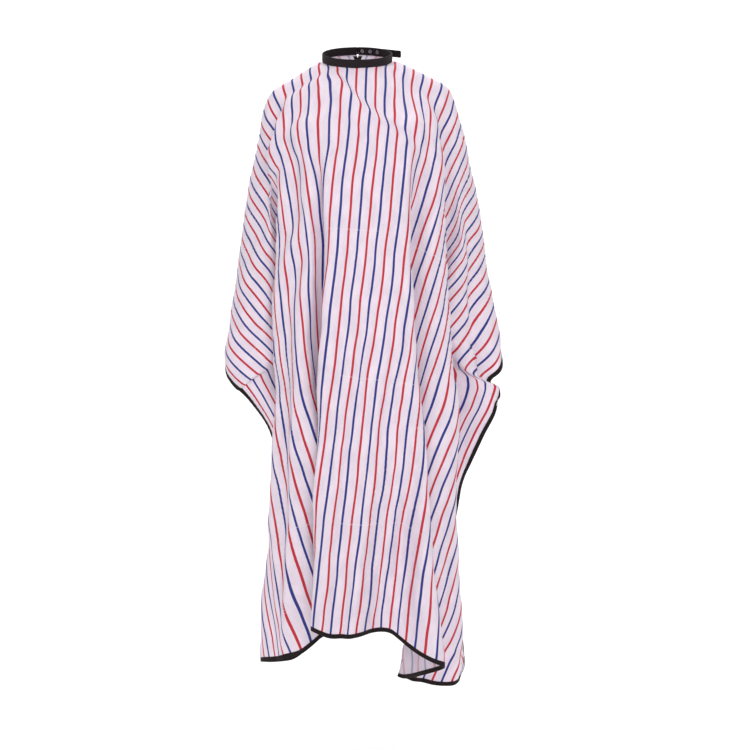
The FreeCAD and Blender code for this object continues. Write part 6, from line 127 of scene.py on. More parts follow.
    -137,8,-1144,-109,8,-1139,-91,21,-1129,-98,43,-1122,-81,58,-1119,-61,47,-1132,-74,27,-1144,-96,18,-1143,-117,5,-1139,-141,-10,-1134,-165,-25,-1128,-189,-41,-1122,-206,-59,-1117,-197,-82,-1109,-177,-100,-1101,-154,-117,-1084,-128,-130,-1066,-105,-140,-1058,-84,-130,-1050,-60,-130,-1048,-52,-107,-1047,-40,-86,-1045,-18,-82,-1042,-19,-105,-1042,-40,-119,-1044,-58,-137,-1044,-76,-154,-1043,-94,-171,-1041,-77,-188,-1035,-53,-189,-1042,-32,-178,-1050,-9,-188,-1050,14,-197,-1050,33,-176,-1049,58,-162,-1048,79,-157,-1048,98,-141,-1052,122,-159,-1065,146,-181,-1077,164,-171,-1089,160,-150,-1103,153,-129,-1113,152,-105,-1124,134,-86,-1134,114,-95,-1146,130,-100,-1155,151,-98,-1167,166,-99,-1172,189,-81,-1175,209,-68,-1180,226,-52,-1185,227,-31,-1193,217,-12,-1202,209,8,-1211,225,33,-1218,230,60,-1227,
    -132,6,-1165,-113,23,-1156,-90,27,-1151,-97,48,-1145,-77,59,-1141,-63,41,-1155,-82,28,-1167,-104,17,-1166,-125,3,-1163,-150,-12,-1158,-175,-28,-1152,-197,-44,-1147,-208,-65,-1142,-194,-86,-1134,-172,-104,-1126,-149,-120,-1107,-122,-131,-1089,-99,-139,-1081,-79,-127,-1072,-56,-127,-1071,-47,-104,-1071,-34,-84,-1069,-11,-83,-1066,-16,-106,-1066,-38,-119,-1068,-56,-137,-1068,-75,-154,-1068,-94,-170,-1065,-80,-189,-1059,-55,-190,-1067,-35,-179,-1074,-12,-189,-1074,11,-198,-1074,30,-176,-1073,55,-161,-1072,75,-157,-1072,95,-140,-1076,119,-155,-1088,141,-182,-1102,164,-177,-1114,166,-155,-1127,157,-136,-1138,153,-112,-1149,141,-90,-1159,115,-87,-1170,122,-100,-1180,145,-90,-1192,160,-91,-1196,182,-82,-1199,201,-68,-1204,221,-55,-1209,231,-37,-1217,223,-17,-1225,210,1,-1235,217,34,-1242,234,54,-1249,
    -117,4,-1183,-114,27,-1177,-92,30,-1174,-95,52,-1167,-73,58,-1164,-68,36,-1178,-90,28,-1190,-111,15,-1190,-134,1,-1188,-160,-15,-1182,-184,-30,-1176,-205,-47,-1171,-208,-71,-1166,-191,-90,-1158,-168,-108,-1150,-143,-124,-1131,-116,-133,-1112,-93,-138,-1104,-74,-124,-1095,-51,-124,-1094,-42,-101,-1094,-27,-82,-1092,-5,-86,-1089,-14,-107,-1090,-36,-120,-1093,-54,-138,-1093,-73,-155,-1092,-93,-169,-1090,-82,-190,-1083,-58,-191,-1091,-38,-180,-1099,-14,-190,-1099,8,-199,-1098,27,-177,-1097,52,-161,-1096,71,-156,-1095,92,-140,-1099,116,-152,-1113,136,-182,-1126,162,-183,-1138,171,-161,-1152,161,-142,-1163,156,-119,-1173,146,-95,-1184,122,-81,-1195,115,-96,-1205,138,-84,-1216,158,-78,-1220,173,-78,-1224,195,-71,-1228,215,-58,-1233,231,-43,-1240,229,-23,-1249,215,-5,-1258,215,30,-1266,238,43,-1268,
    -112,4,-1205,-117,27,-1200,-95,33,-1196,-92,56,-1189,-70,55,-1186,-74,33,-1201,-97,26,-1214,-119,13,-1214,-143,-2,-1212,-169,-17,-1206,-193,-34,-1201,-211,-52,-1195,-206,-75,-1191,-187,-94,-1183,-164,-112,-1174,-137,-126,-1155,-110,-133,-1135,-87,-137,-1127,-69,-121,-1118,-45,-121,-1118,-36,-99,-1118,-20,-81,-1115,1,-88,-1113,-12,-108,-1115,-34,-121,-1118,-52,-139,-1117,-72,-155,-1117,-93,-168,-1114,-84,-190,-1107,-60,-193,-1115,-40,-181,-1124,-16,-190,-1123,5,-201,-1123,24,-178,-1121,49,-160,-1120,68,-155,-1119,89,-140,-1123,113,-150,-1137,132,-181,-1151,159,-187,-1163,175,-168,-1176,166,-148,-1187,158,-127,-1198,148,-102,-1209,129,-80,-1220,110,-89,-1229,128,-86,-1240,151,-72,-1244,165,-72,-1248,187,-72,-1252,207,-59,-1257,227,-48,-1264,233,-29,-1272,222,-10,-1282,218,25,-1290,239,42,-1291,
    -105,5,-1226,-118,25,-1224,-99,39,-1219,-88,59,-1212,-69,49,-1208,-81,30,-1223,-105,24,-1237,-127,11,-1238,-153,-4,-1236,-179,-20,-1230,-201,-37,-1225,-213,-58,-1220,-203,-80,-1215,-183,-99,-1207,-159,-116,-1199,-131,-127,-1179,-104,-133,-1158,-80,-135,-1150,-63,-119,-1141,-40,-118,-1141,-30,-96,-1141,-13,-80,-1139,6,-91,-1137,-10,-109,-1139,-32,-122,-1142,-50,-139,-1142,-70,-156,-1141,-92,-167,-1139,-86,-190,-1132,-62,-194,-1140,-42,-183,-1148,-18,-190,-1148,2,-202,-1147,22,-180,-1145,46,-158,-1144,64,-154,-1143,87,-143,-1147,109,-148,-1161,129,-180,-1176,156,-190,-1188,177,-175,-1201,171,-153,-1212,161,-133,-1223,148,-110,-1234,135,-84,-1245,110,-82,-1254,119,-84,-1264,141,-67,-1268,157,-65,-1272,179,-72,-1276,198,-60,-1281,220,-52,-1288,234,-37,-1296,230,-14,-1305,223,19,-1314,244,35,-1313,
    -108,3,-1248,-116,26,-1246,-102,47,-1238,-81,59,-1231,-71,41,-1230,-89,31,-1246,-112,22,-1261,-136,8,-1262,-162,-7,-1260,-187,-23,-1254,-208,-40,-1249,-213,-64,-1244,-199,-84,-1240,-178,-103,-1231,-152,-119,-1223,-123,-129,-1203,-98,-134,-1182,-74,-133,-1173,-57,-116,-1165,-34,-115,-1164,-23,-94,-1164,-5,-79,-1162,11,-94,-1161,-8,-109,-1164,-29,-123,-1167,-48,-140,-1166,-68,-156,-1166,-90,-166,-1164,-88,-190,-1156,-64,-196,-1164,-45,-184,-1173,-20,-190,-1172,-1,-202,-1171,20,-182,-1170,43,-157,-1168,61,-153,-1167,85,-145,-1171,105,-148,-1186,126,-177,-1200,153,-192,-1212,177,-181,-1226,177,-158,-1236,165,-140,-1247,149,-117,-1258,138,-89,-1269,113,-75,-1279,110,-79,-1288,132,-63,-1292,152,-55,-1295,169,-70,-1300,188,-59,-1303,209,-53,-1306,227,-44,-1316,234,-24,-1327,227,11,-1337,245,33,-1337,
    -112,4,-1268,-108,30,-1264,-95,53,-1251,-73,54,-1245,-75,39,-1251,-97,33,-1269,-119,20,-1284,-144,5,-1286,-170,-10,-1284,-195,-27,-1278,-213,-44,-1273,-211,-69,-1269,-194,-89,-1264,-171,-107,-1256,-144,-121,-1247,-115,-129,-1226,-91,-135,-1205,-68,-131,-1196,-51,-113,-1188,-28,-113,-1188,-17,-92,-1188,2,-79,-1186,15,-97,-1185,-5,-112,-1188,-27,-124,-1191,-46,-141,-1191,-66,-157,-1191,-89,-166,-1189,-90,-190,-1180,-67,-197,-1189,-47,-185,-1198,-23,-190,-1197,-4,-203,-1196,18,-183,-1194,40,-156,-1192,59,-151,-1191,83,-147,-1195,102,-148,-1210,125,-173,-1225,150,-193,-1237,176,-186,-1250,182,-163,-1261,169,-145,-1272,150,-125,-1283,139,-96,-1294,117,-74,-1304,103,-73,-1311,120,-66,-1314,142,-52,-1318,157,-68,-1322,176,-55,-1326,198,-50,-1329,216,-48,-1329,231,-36,-1340,231,-5,-1354,244,27,-1359,
    -106,10,-1284,-95,35,-1272,-85,57,-1262,-72,55,-1269,-82,39,-1274,-105,32,-1292,-127,18,-1308,-153,3,-1310,-178,-14,-1308,-201,-31,-1303,-215,-51,-1298,-207,-74,-1293,-188,-93,-1288,-164,-110,-1280,-135,-123,-1271,-108,-130,-1250,-84,-136,-1229,-62,-128,-1220,-45,-111,-1212,-22,-111,-1211,-10,-90,-1212,10,-80,-1209,19,-100,-1210,-3,-112,-1213,-25,-125,-1216,-44,-142,-1216,-64,-157,-1216,-88,-166,-1213,-93,-189,-1205,-70,-198,-1213,-50,-187,-1222,-26,-190,-1222,-7,-204,-1221,15,-185,-1219,37,-155,-1217,56,-149,-1216,80,-149,-1219,99,-149,-1234,123,-169,-1249,146,-193,-1262,174,-190,-1275,186,-168,-1285,174,-151,-1296,152,-132,-1307,137,-104,-1318,121,-77,-1329,99,-65,-1335,108,-65,-1336,130,-50,-1341,146,-65,-1345,164,-52,-1348,187,-48,-1354,208,-47,-1352,224,-44,-1351,234,-23,-1364,241,15,-1376,
    -97,16,-1294,-90,40,-1282,-88,54,-1285,-75,53,-1295,-88,38,-1298,-112,31,-1316,-135,16,-1332,-161,0,-1334,-186,-17,-1332,-206,-35,-1327,-215,-58,-1322,-202,-79,-1317,-182,-97,-1313,-156,-114,-1304,-127,-125,-1295,-101,-131,-1274,-77,-136,-1252,-56,-126,-1244,-39,-108,-1235,-16,-108,-1235,-3,-88,-1235,18,-81,-1233,22,-103,-1234,-1,-113,-1238,-22,-126,-1241,-42,-142,-1241,-63,-157,-1241,-86,-166,-1238,-95,-189,-1230,-73,-199,-1238,-53,-188,-1247,-28,-190,-1247,-10,-204,-1245,13,-187,-1243,34,-155,-1241,54,-147,-1240,77,-151,-1243,96,-152,-1259,120,-167,-1274,143,-191,-1287,172,-194,-1300,189,-174,-1309,178,-156,-1320,154,-138,-1331,136,-113,-1342,122,-83,-1353,100,-58,-1360,97,-60,-1358,117,-49,-1363,134,-63,-1367,153,-51,-1371,177,-48,-1377,199,-46,-1378,218,-44,-1376,229,-35,-1375,234,0,-1386,
    -93,25,-1302,-93,37,-1309,-90,49,-1313,-79,48,-1320,-95,39,-1322,-118,28,-1340,-143,14,-1356,-169,-3,-1358,-192,-20,-1356,-209,-40,-1351,-212,-63,-1346,-198,-84,-1341,-175,-102,-1337,-148,-116,-1328,-119,-126,-1319,-95,-133,-1298,-71,-134,-1276,-50,-123,-1268,-32,-108,-1259,-11,-103,-1259,6,-88,-1259,25,-85,-1257,23,-104,-1259,2,-115,-1262,-20,-127,-1266,-40,-143,-1266,-62,-157,-1266,-85,-169,-1263,-95,-188,-1255,-77,-197,-1263,-55,-190,-1272,-32,-192,-1271,-12,-202,-1270,10,-187,-1268,31,-158,-1266,53,-145,-1265,74,-150,-1268,95,-156,-1283,116,-168,-1299,140,-188,-1312,169,-195,-1325,188,-181,-1334,181,-162,-1344,157,-144,-1355,136,-120,-1366,119,-91,-1376,102,-59,-1384,90,-53,-1381,103,-50,-1384,123,-60,-1390,144,-52,-1394,167,-49,-1400,190,-47,-1403,211,-44,-1403,223,-32,-1400,230,-16,-1394,
]


# ------------------------------------------------------------------ the net
def net():
    """Sheet coordinates (A across, B along) of the net, with the ring's angles."""
    di, dj = 25.4545, 25.0
    n = int(round(HALF_W / di - 0.5)); dx = HALF_W / (n + 0.5)
    ia = (np.arange(2 * (n + 1)) - n - 0.5) * dx
    m = int(round((B_FRONT - B_BACK) / dj)); dy = (B_FRONT - B_BACK) / m
    jb = B_BACK + np.arange(m + 1) * dy
    I, J = len(ia), len(jb)
    hi = max(1, int(round(72 / dx - 0.5))) + 0.5
    j0 = int(round((-74 - B_BACK) / dy)); j1 = int(round((74 - B_BACK) / dy))
    jj, ii = np.meshgrid(np.arange(J), np.arange(I), indexing="ij")
    s = (ii - (I - 1) / 2) / hi; t = (jj - (j0 + j1) / 2) / ((j1 - j0) / 2)
    r = np.maximum(np.maximum(abs(s), abs(t)), 1e-9)
    A = np.tile(ia, (J, 1)).astype(float); B = np.tile(jb[:, None], (1, I)).astype(float)
    u = s / r; v = t / r
    ang = np.where(v >= abs(u), u * np.pi / 4, np.where(u >= abs(v), np.pi / 2 - v * np.pi / 4,
          np.where(-v >= abs(u), np.pi - u * np.pi / 4, -np.pi / 2 + v * np.pi / 4)))
    rad = R_CLOTH + (r - 1) * (hi * dx) * 1.06
    w = np.clip((3.2 - r) / 2.2, 0, 1); w = w * w * (3 - 2 * w)
    A = A * (1 - w) + rad * np.sin(ang) * w; B = B * (1 - w) + rad * np.cos(ang) * w
    hole = r < 1 - 1e-6
    cL, cR = I // 2 - 1, I // 2
    back = jj[:, 0] <= j0
    A[back, cL] = -1.0; A[back, cR] = 1.0
    for sa in (-1, 1):
        for be, sb in ((B_BACK, -1), (B_FRONT, 1)):
            ca, cb = sa * (HALF_W - CORNER_R), be - sb * CORNER_R
            da = (A - ca) * sa; db = (B - cb) * sb
            inq = (da > 0) & (db > 0)
            k = np.where(inq, np.maximum(da, db) / (np.sqrt(da * da + db * db) + 1e-9), 1)
            A = np.where(inq, ca + sa * da * k, A); B = np.where(inq, cb + sb * db * k, B)
    return A, B, hole, ang, j0, j1, cL, cR, I, J


def catmull(P, k):
    """Refine P (n, m, c) k times along its first axis; its ends are carried on straight."""
    Q = np.concatenate([2 * P[:1] - P[1:2], P, 2 * P[-1:] - P[-2:-1]], 0)
    n = P.shape[0]
    out = []
    for f in range(k):
        t = f / k
        w = (-0.5 * t + t * t - 0.5 * t ** 3, 1 - 2.5 * t * t + 1.5 * t ** 3,
             0.5 * t + 2 * t * t - 1.5 * t ** 3, -0.5 * t * t + 0.5 * t ** 3)
        out.append(w[0] * Q[0:n - 1] + w[1] * Q[1:n] + w[2] * Q[2:n + 1] + w[3] * Q[3:n + 2])
    R = np.stack(out, 1).reshape(-1, *P.shape[1:])
    return np.concatenate([R, P[-1:]], 0)


def ring_point(phi_front, r, h):
    """Point on the tilted ring; the angle runs from the front towards +X. Millimetres."""
    x = r * np.sin(phi_front); y = -r * np.cos(phi_front); z = h + 0 * x
    c, s = math.cos(TILT), math.sin(TILT)
    return np.stack([x, y * c - z * s, y * s + z * c], -1)


def ring_back(r, phi_deg, h):
    """The same, with the angle in degrees from the back towards +X (the strap's side)."""
    return ring_point(np.pi - np.radians(np.asarray(phi_deg, float)), r, h)


def refine(k):
    A, B, hole, ang, j0, j1, cL, cR, I, J = net()
    X = np.array(GRID, float).reshape(J, I, 3)
    F = np.concatenate([X, A[..., None], B[..., None]], -1)
    # fill one row of the gap by carrying the cloth on past the ring
    g = F.copy(); known = ~hole
    for _ in range(3):
        acc = np.zeros_like(g); cnt = np.zeros(hole.shape)
        for dj, di in ((1, 0), (-1, 0), (0, 1), (0, -1)):
            a = np.roll(np.roll(g, -dj, 0), -di, 1); b = np.roll(np.roll(g, -2 * dj, 0), -2 * di, 1)
            ka = np.roll(np.roll(known, -dj, 0), -di, 1) & np.roll(np.roll(known, -2 * dj, 0), -2 * di, 1)
            ok = ka & ~known
            acc[ok] += 2 * a[ok] - b[ok]; cnt[ok] += 1
        new = (cnt > 0) & ~known
        g[new] = acc[new] / cnt[new][:, None]
        known = known | new
    # across the sheet, each half on its own behind the neck
    left, right = g[:, :cL + 1], g[:, cR:]
    gl = np.where((np.arange(J) <= j0)[:, None], 2 * g[:, cL] - g[:, cL - 1], g[:, cR])
    gr = np.where((np.arange(J) <= j0)[:, None], 2 * g[:, cR] - g[:, cR + 1], g[:, cL])

    def across(H, before, after):
        Q = np.concatenate([before[:, None], H, after[:, None]], 1).transpose(1, 0, 2)
        n = H.shape[1]; out = []
        for f in range(k):
            t = f / k
            w = (-0.5 * t + t * t - 0.5 * t ** 3, 1 - 2.5 * t * t + 1.5 * t ** 3,
                 0.5 * t + 2 * t * t - 1.5 * t ** 3, -0.5 * t * t + 0.5 * t ** 3)
            out.append(w[0] * Q[0:n - 1] + w[1] * Q[1:n] + w[2] * Q[2:n + 1] + w[3] * Q[3:n + 2])
        R = np.stack(out, 1).reshape(-1, J, 5)
        return np.concatenate([R, H[:, -1][None]], 0).transpose(1, 0, 2)
    L = across(left, 2 * left[:, 0] - left[:, 1], gl)
    Rr = across(right, gr, 2 * right[:, -1] - right[:, -2])
    M = across(np.stack([g[:, cL], g[:, cR]], 1), g[:, cL - 1], g[:, cR + 1])[:, 1:-1]
    W = np.concatenate([L, M, Rr], 1)                       # (J, (I-1)k+1, 5)
    W = catmull(W, k)
    Jf, If = W.shape[:2]
    ff_j, ff_i = np.meshgrid(np.arange(Jf), np.arange(If), indexing="ij")
    # fine gap and slit
    hole_i0 = np.where(hole.any(0))[0].min() - 1; hole_i1 = np.where(hole.any(0))[0].max() + 1
    i0, i1, jA, jB = hole_i0 * k, hole_i1 * k, j0 * k, j1 * k
    gap = (ff_i > i0) & (ff_i < i1) & (ff_j > jA) & (ff_j < jB)
    slit = (ff_j <= jA) & (ff_i > cL * k) & (ff_i < cR * k)
    ring = (ff_i >= i0) & (ff_i <= i1) & (ff_j >= jA) & (ff_j <= jB) & ~gap & ~slit
    # ring points go exactly on the ring
    s = (ff_i - (i0 + i1) / 2) / ((i1 - i0) / 2); t = (ff_j - (jA + jB) / 2) / ((jB - jA) / 2)
    rr = np.maximum(np.maximum(abs(s), abs(t)), 1e-9); u = s / rr; v = t / rr
    fang = np.where(v >= abs(u), u * np.pi / 4, np.where(u >= abs(v), np.pi / 2 - v * np.pi / 4,
           np.where(-v >= abs(u), np.pi - u * np.pi / 4, -np.pi / 2 + v * np.pi / 4)))
    fang = np.where(fang > np.pi, fang - 2 * np.pi, fang)
    fang[ring & (ff_j == jA) & (ff_i == cL * k)] = -(np.pi - 2.0 / R_CLOTH)
    fang[ring & (ff_j == jA) & (ff_i == cR * k)] = np.pi - 2.0 / R_CLOTH
    P = W[..., :3].copy(); UV = W[..., 3:].copy()
    P[ring] = ring_point(fang[ring], R_CLOTH, H_CLOTH)
    UV[ring] = np.stack([R_CLOTH * np.sin(fang[ring]), R_CLOTH * np.cos(fang[ring])], -1)
    gone = gap | slit
    return P, UV, gone, ring, fang, (i0, i1, jA, jB, cL * k, cR * k)


# ------------------------------------------------------------ cloth settling
def capsule(X, p, q, r0, r1):
    p = np.array(p, float); q = np.array(q, float); d = q - p
    t = np.clip(((X - p) @ d) / (d @ d), 0, 1)[:, None]
    v = X - (p + t * d); l = np.linalg.norm(v, axis=1, keepdims=True) + 1e-9
    return (l - (r0 + (r1 - r0) * t))[:, 0], v / l


def ellipsoid(X, c, r):
    r = np.array(r, float); v = (X - np.array(c, float)) / r
    k = np.linalg.norm(v, axis=1, keepdims=True) + 1e-9
    g = v / r; gl = np.linalg.norm(g, axis=1, keepdims=True) + 1e-9
    return ((k - 1) * k / gl)[:, 0], g / gl


WEARER = [("c", (0, 8, -90), (0, 0, 30), 62, 58), ("c", (-55, 8, -52), (-160, 12, -102), 50, 38),
          ("c", (55, 8, -50), (170, 12, -92), 50, 40), ("e", (0, 0, -230), (168, 122, 215)),
          ("c", (-88, -62, -205), (-84, -30, -230), 66, 90), ("c", (96, -62, -200), (90, -30, -225), 66, 90),
          ("c", (-163, 12, -112), (-235, 8, -600), 33, 22), ("c", (175, 12, -102), (262, 8, -560), 35, 24)]


def wearer(X):
    best = None
    for p in WEARER:
        d, n = capsule(X, *p[1:]) if p[0] == "c" else ellipsoid(X, *p[1:])
        if best is None:
            best, nn = d, n
        else:
            m = d < best
            best = np.where(m, d, best); nn = np.where(m[:, None], n, nn)
    return best, nn


def settle(P, UV, gone, ring, steps, dt, hold, bend, cross):
    """Position-based cloth: threads keep their length, the cloth resists shear and
    bending, hangs under gravity and rests on the wearer's body. Points are held
    softly to where the net put them, so that the big folds stay."""
    Jf, If = gone.shape
    w = np.where(gone | ring, 0.0, 1.0)
    i_l, i_r, j_a = cross
    jj, ii = np.meshgrid(np.arange(Jf), np.arange(If), indexing="ij")
    cons = []

    def add(dj, di, pj, pi, comp):
        for oj in range(pj):
            for oi in range(pi):
                ja = np.arange(oj, Jf - dj, pj)
                ia = np.arange(oi + max(0, -di), If - max(0, di), pi)
                if len(ja) == 0 or len(ia) == 0:
                    continue
                sa = (slice(ja[0], ja[-1] + 1, pj), slice(ia[0], ia[-1] + 1, pi))
                sb = (slice(ja[0] + dj, ja[-1] + dj + 1, pj), slice(ia[0] + di, ia[-1] + di + 1, pi))
                now = np.linalg.norm(P[sa] - P[sb], axis=-1)
                L = np.clip(np.linalg.norm(UV[sa] - UV[sb], axis=-1), now * 0.985, now * (1.012 if max(dj, abs(di)) == 1 else 1.003))
                lo = np.minimum(ii[sa], ii[sb]); hi = np.maximum(ii[sa], ii[sb])
                over = (lo <= i_l) & (hi >= i_r) & (np.minimum(jj[sa], jj[sb]) <= j_a)
                ok = ~(gone[sa] | gone[sb] | over)
                if abs(di) == 2 or dj == 2:
                    mid = (slice(ja[0] + dj // 2, ja[-1] + dj // 2 + 1, pj),
                           slice(ia[0] + di // 2, ia[-1] + di // 2 + 1, pi))
                    ok &= ~gone[mid]
                wa = np.where(ok, w[sa], 0)[..., None]; wb = np.where(ok, w[sb], 0)[..., None]
                cons.append((sa, sb, L[..., None], wa, wb, np.maximum(w[sa] + w[sb], 0.5)[..., None] + comp))
    add(0, 1, 1, 2, 0.0); add(1, 0, 2, 1, 0.0)
    add(1, 1, 2, 1, 6.0); add(1, -1, 2, 1, 6.0)
    add(0, 2, 1, 4, bend); add(2, 0, 4, 1, bend)
    X = P.copy(); X0 = P.copy(); V = np.zeros_like(X)
    act = w > 0
    near = act & (P[..., 2] > -700)
    for s in range(steps):
        V[..., 2] -= 9810.0 * dt * w
        V *= 0.97
        old = X.copy()
        X = X + V * dt * w[..., None]
        X += (X0 - X) * (hold * w)[..., None]
        for sa, sb, L, wa, wb, den in cons:
            a = X[sa]; b = X[sb]; d = a - b
            l = np.sqrt((d * d).sum(-1, keepdims=True)) + 1e-9
            d *= (l - L) / (den * l)
            X[sa] = a - d * wa; X[sb] = b + d * wb
        if s % 3 == 0:
            q = X[near]; dd, n = wearer(q); pen = 2.0 - dd
            q += n * np.maximum(pen, 0)[:, None]; X[near] = q
        V = (X - old) / dt
        sp = np.linalg.norm(V, axis=-1, keepdims=True)
        V *= np.minimum(1.0, 1500.0 / (sp + 1e-9))
    return X


# ---------------------------------------------------------------- materials
def new_material(name):
    m = bpy.data.materials.new(name)
    m.use_nodes = True
    nt = m.node_tree
    for n in list(nt.nodes):
        nt.nodes.remove(n)
    out = nt.nodes.new("ShaderNodeOutputMaterial")
    p = nt.nodes.new("ShaderNodeBsdfPrincipled")
    nt.links.new(p.outputs[0], out.inputs[0])
    return m, nt, p


def node(nt, kind, **kw):
    n = nt.nodes.new("ShaderNode" + kind)
    for k, v in kw.items():
        setattr(n, k, v)
    return n


def math_node(nt, op, a, b=None, c=None, clamp=False):
    n = node(nt, "Math", operation=op, use_clamp=clamp)
    for i, x in enumerate((a, b, c)):
        if x is None:
            continue
        if isinstance(x, (int, float)):
            n.inputs[i].default_value = x
        else:
            nt.links.new(x, n.inputs[i])
    return n.outputs[0]


def mix_col(nt, fac, a, b, mode="MIX"):
    n = node(nt, "Mix", data_type="RGBA", blend_type=mode)
    for i, x in ((0, fac), (6, a), (7, b)):
        if isinstance(x, (int, float)):
            n.inputs[i].default_value = x
        elif isinstance(x, tuple):
            n.inputs[i].default_value = (*x, 1.0)
        else:
            nt.links.new(x, n.inputs[i])
    return n.outputs[2]


def srgb(r, g, b):
    return tuple(((c / 255) / 12.92 if c / 255 <= 0.04045 else ((c / 255 + 0.055) / 1.055) ** 2.4) for c in (r, g, b))


def noise(nt, vec, scale, detail=2.0, rough=0.5, dist=0.0):
    n = node(nt, "TexNoise")
    n.inputs["Scale"].default_value = scale
    n.inputs["Detail"].default_value = detail
    n.inputs["Roughness"].default_value = rough
    n.inputs["Distortion"].default_value = dist
    nt.links.new(vec, n.inputs["Vector"])
    return n.outputs[0]


def bump(nt, height, strength, dist, prev=None):
    n = node(nt, "Bump")
    n.inputs["Strength"].default_value = strength
    n.inputs["Distance"].default_value = dist
    nt.links.new(height, n.inputs["Height"])
    if prev is not None:
        nt.links.new(prev, n.inputs["Normal"])
    return n.outputs[0]


CLOTH_WHITE = srgb(249, 236, 248)
RED = srgb(205, 50, 66)
NAVY = srgb(50, 60, 142)
CREASE_B = (438.0, 752.0, 1066.0)


def cloth_material(name, wrong_side=False):
    m, nt, p = new_material(name)
    at = node(nt, "Attribute", attribute_name="sheet")
    sep = node(nt, "SeparateXYZ")
    nt.links.new(at.outputs["Vector"], sep.inputs[0])
    a, b = sep.outputs[0], sep.outputs[1]                  # mm on the sheet
    # the woven stripes wander by a few hundredths of a millimetre
    wob = noise(nt, at.outputs["Vector"], 0.02, 1.0)
    a2 = math_node(nt, "ADD", a, math_node(nt, "MULTIPLY", math_node(nt, "SUBTRACT", wob, 0.5), 0.5))
    k = math_node(nt, "DIVIDE", a2, PITCH)
    kr = math_node(nt, "ROUND", k)
    dist = math_node(nt, "MULTIPLY", math_node(nt, "ABSOLUTE", math_node(nt, "SUBTRACT", k, kr)), PITCH)
    ragged = math_node(nt, "MULTIPLY", math_node(nt, "SUBTRACT", noise(nt, at.outputs["Vector"], 1.4, 2.0), 0.5), 0.5)
    edge = node(nt, "MapRange", interpolation_type="SMOOTHSTEP")
    edge.inputs[1].default_value = STRIPE_W / 2 + 0.22
    edge.inputs[2].default_value = STRIPE_W / 2 - 0.22
    nt.links.new(math_node(nt, "ADD", dist, ragged), edge.inputs[0])
    stripe = edge.outputs[0]
    par = math_node(nt, "ABSOLUTE", math_node(nt, "MODULO", kr, 2.0))
    odd = math_node(nt, "GREATER_THAN", par, 0.5)
    col = mix_col(nt, odd, RED, NAVY)
    # threads: fine, crossing at right angles, with slubs
    ta = math_node(nt, "SINE", math_node(nt, "MULTIPLY", a, 2 * math.pi / 0.42))
    tb = math_node(nt, "SINE", math_node(nt, "MULTIPLY", b, 2 * math.pi / 0.42))
    weave = math_node(nt, "MULTIPLY", ta, tb)
    slub = node(nt, "Mapping"); slub.inputs["Scale"].default_value = (0.9, 0.05, 1.0)
    nt.links.new(at.outputs["Vector"], slub.inputs[0])
    slubs = noise(nt, slub.outputs[0], 1.0, 3.0)
    slub2 = node(nt, "Mapping"); slub2.inputs["Scale"].default_value = (0.05, 0.9, 1.0)
    nt.links.new(at.outputs["Vector"], slub2.inputs[0])
    slubs2 = noise(nt, slub2.outputs[0], 1.0, 3.0)
    grain = math_node(nt, "ADD", math_node(nt, "MULTIPLY", math_node(nt, "ADD", slubs, slubs2), 0.05),
                      math_node(nt, "MULTIPLY", weave, 0.02))
    base_v = math_node(nt, "ADD", grain, 0.95)
    # slow colour drift over the sheet
    drift = noise(nt, at.outputs["Vector"], 0.006, 2.0)
    white = mix_col(nt, drift, CLOTH_WHITE, srgb(248, 235, 243))
    # painted sheen: faint streaks of highlight and shade, as light falls on pressed satin-like polyester
    sheen_streak_map = node(nt, "Mapping"); sheen_streak_map.inputs["Scale"].default_value = (0.055, 0.020, 1.0)
    sheen_streak_map.inputs["Rotation"].default_value = (0.0, 0.0, 0.35)
    nt.links.new(at.outputs["Vector"], sheen_streak_map.inputs[0])
    painted_sheen_streaks = node(nt, "MapRange"); painted_sheen_streaks.inputs[1].default_value = 0.36; painted_sheen_streaks.inputs[2].default_value = 0.66
    nt.links.new(noise(nt, sheen_streak_map.outputs[0], 1.0, 3.0, 0.55), painted_sheen_streaks.inputs[0])
    white = mix_col(nt, painted_sheen_streaks.outputs[0], srgb(237, 225, 237), white)
    if wrong_side:
        stripe = math_node(nt, "MULTIPLY", stripe, 0.42)
        white = mix_col(nt, 0.35, white, srgb(226, 220, 232))
    c = mix_col(nt, stripe, white, col)
    # painted highlight: the pressed creases are found here and mixed towards near-white below, as light catching their
    # ridges; the same mask also gives their bump
    crease_and_highlight = None
    for cb in CREASE_B:
        wv = math_node(nt, "ADD", b, math_node(nt, "MULTIPLY", math_node(nt, "SUBTRACT",
             noise(nt, at.outputs["Vector"], 0.012, 2.0), 0.5), 5.0))
        d = math_node(nt, "ABSOLUTE", math_node(nt, "SUBTRACT", wv, cb))
        e = node(nt, "MapRange", interpolation_type="SMOOTHSTEP")
        e.inputs[1].default_value = 2.2; e.inputs[2].default_value = 0.0
        nt.links.new(d, e.inputs[0])
        crease_and_highlight = e.outputs[0] if crease_and_highlight is None else math_node(nt, "MAXIMUM", crease_and_highlight, e.outputs[0])
    v = node(nt, "HueSaturation")
    nt.links.new(c, v.inputs["Color"]); nt.links.new(base_v, v.inputs["Value"])
    broken = node(nt, "MapRange"); broken.inputs[1].default_value = 0.40; broken.inputs[2].default_value = 0.62
    nt.links.new(noise(nt, at.outputs["Vector"], 0.011, 3.0, 0.6), broken.inputs[0])
    crease_and_highlight = math_node(nt, "MULTIPLY", crease_and_highlight, broken.outputs[0])
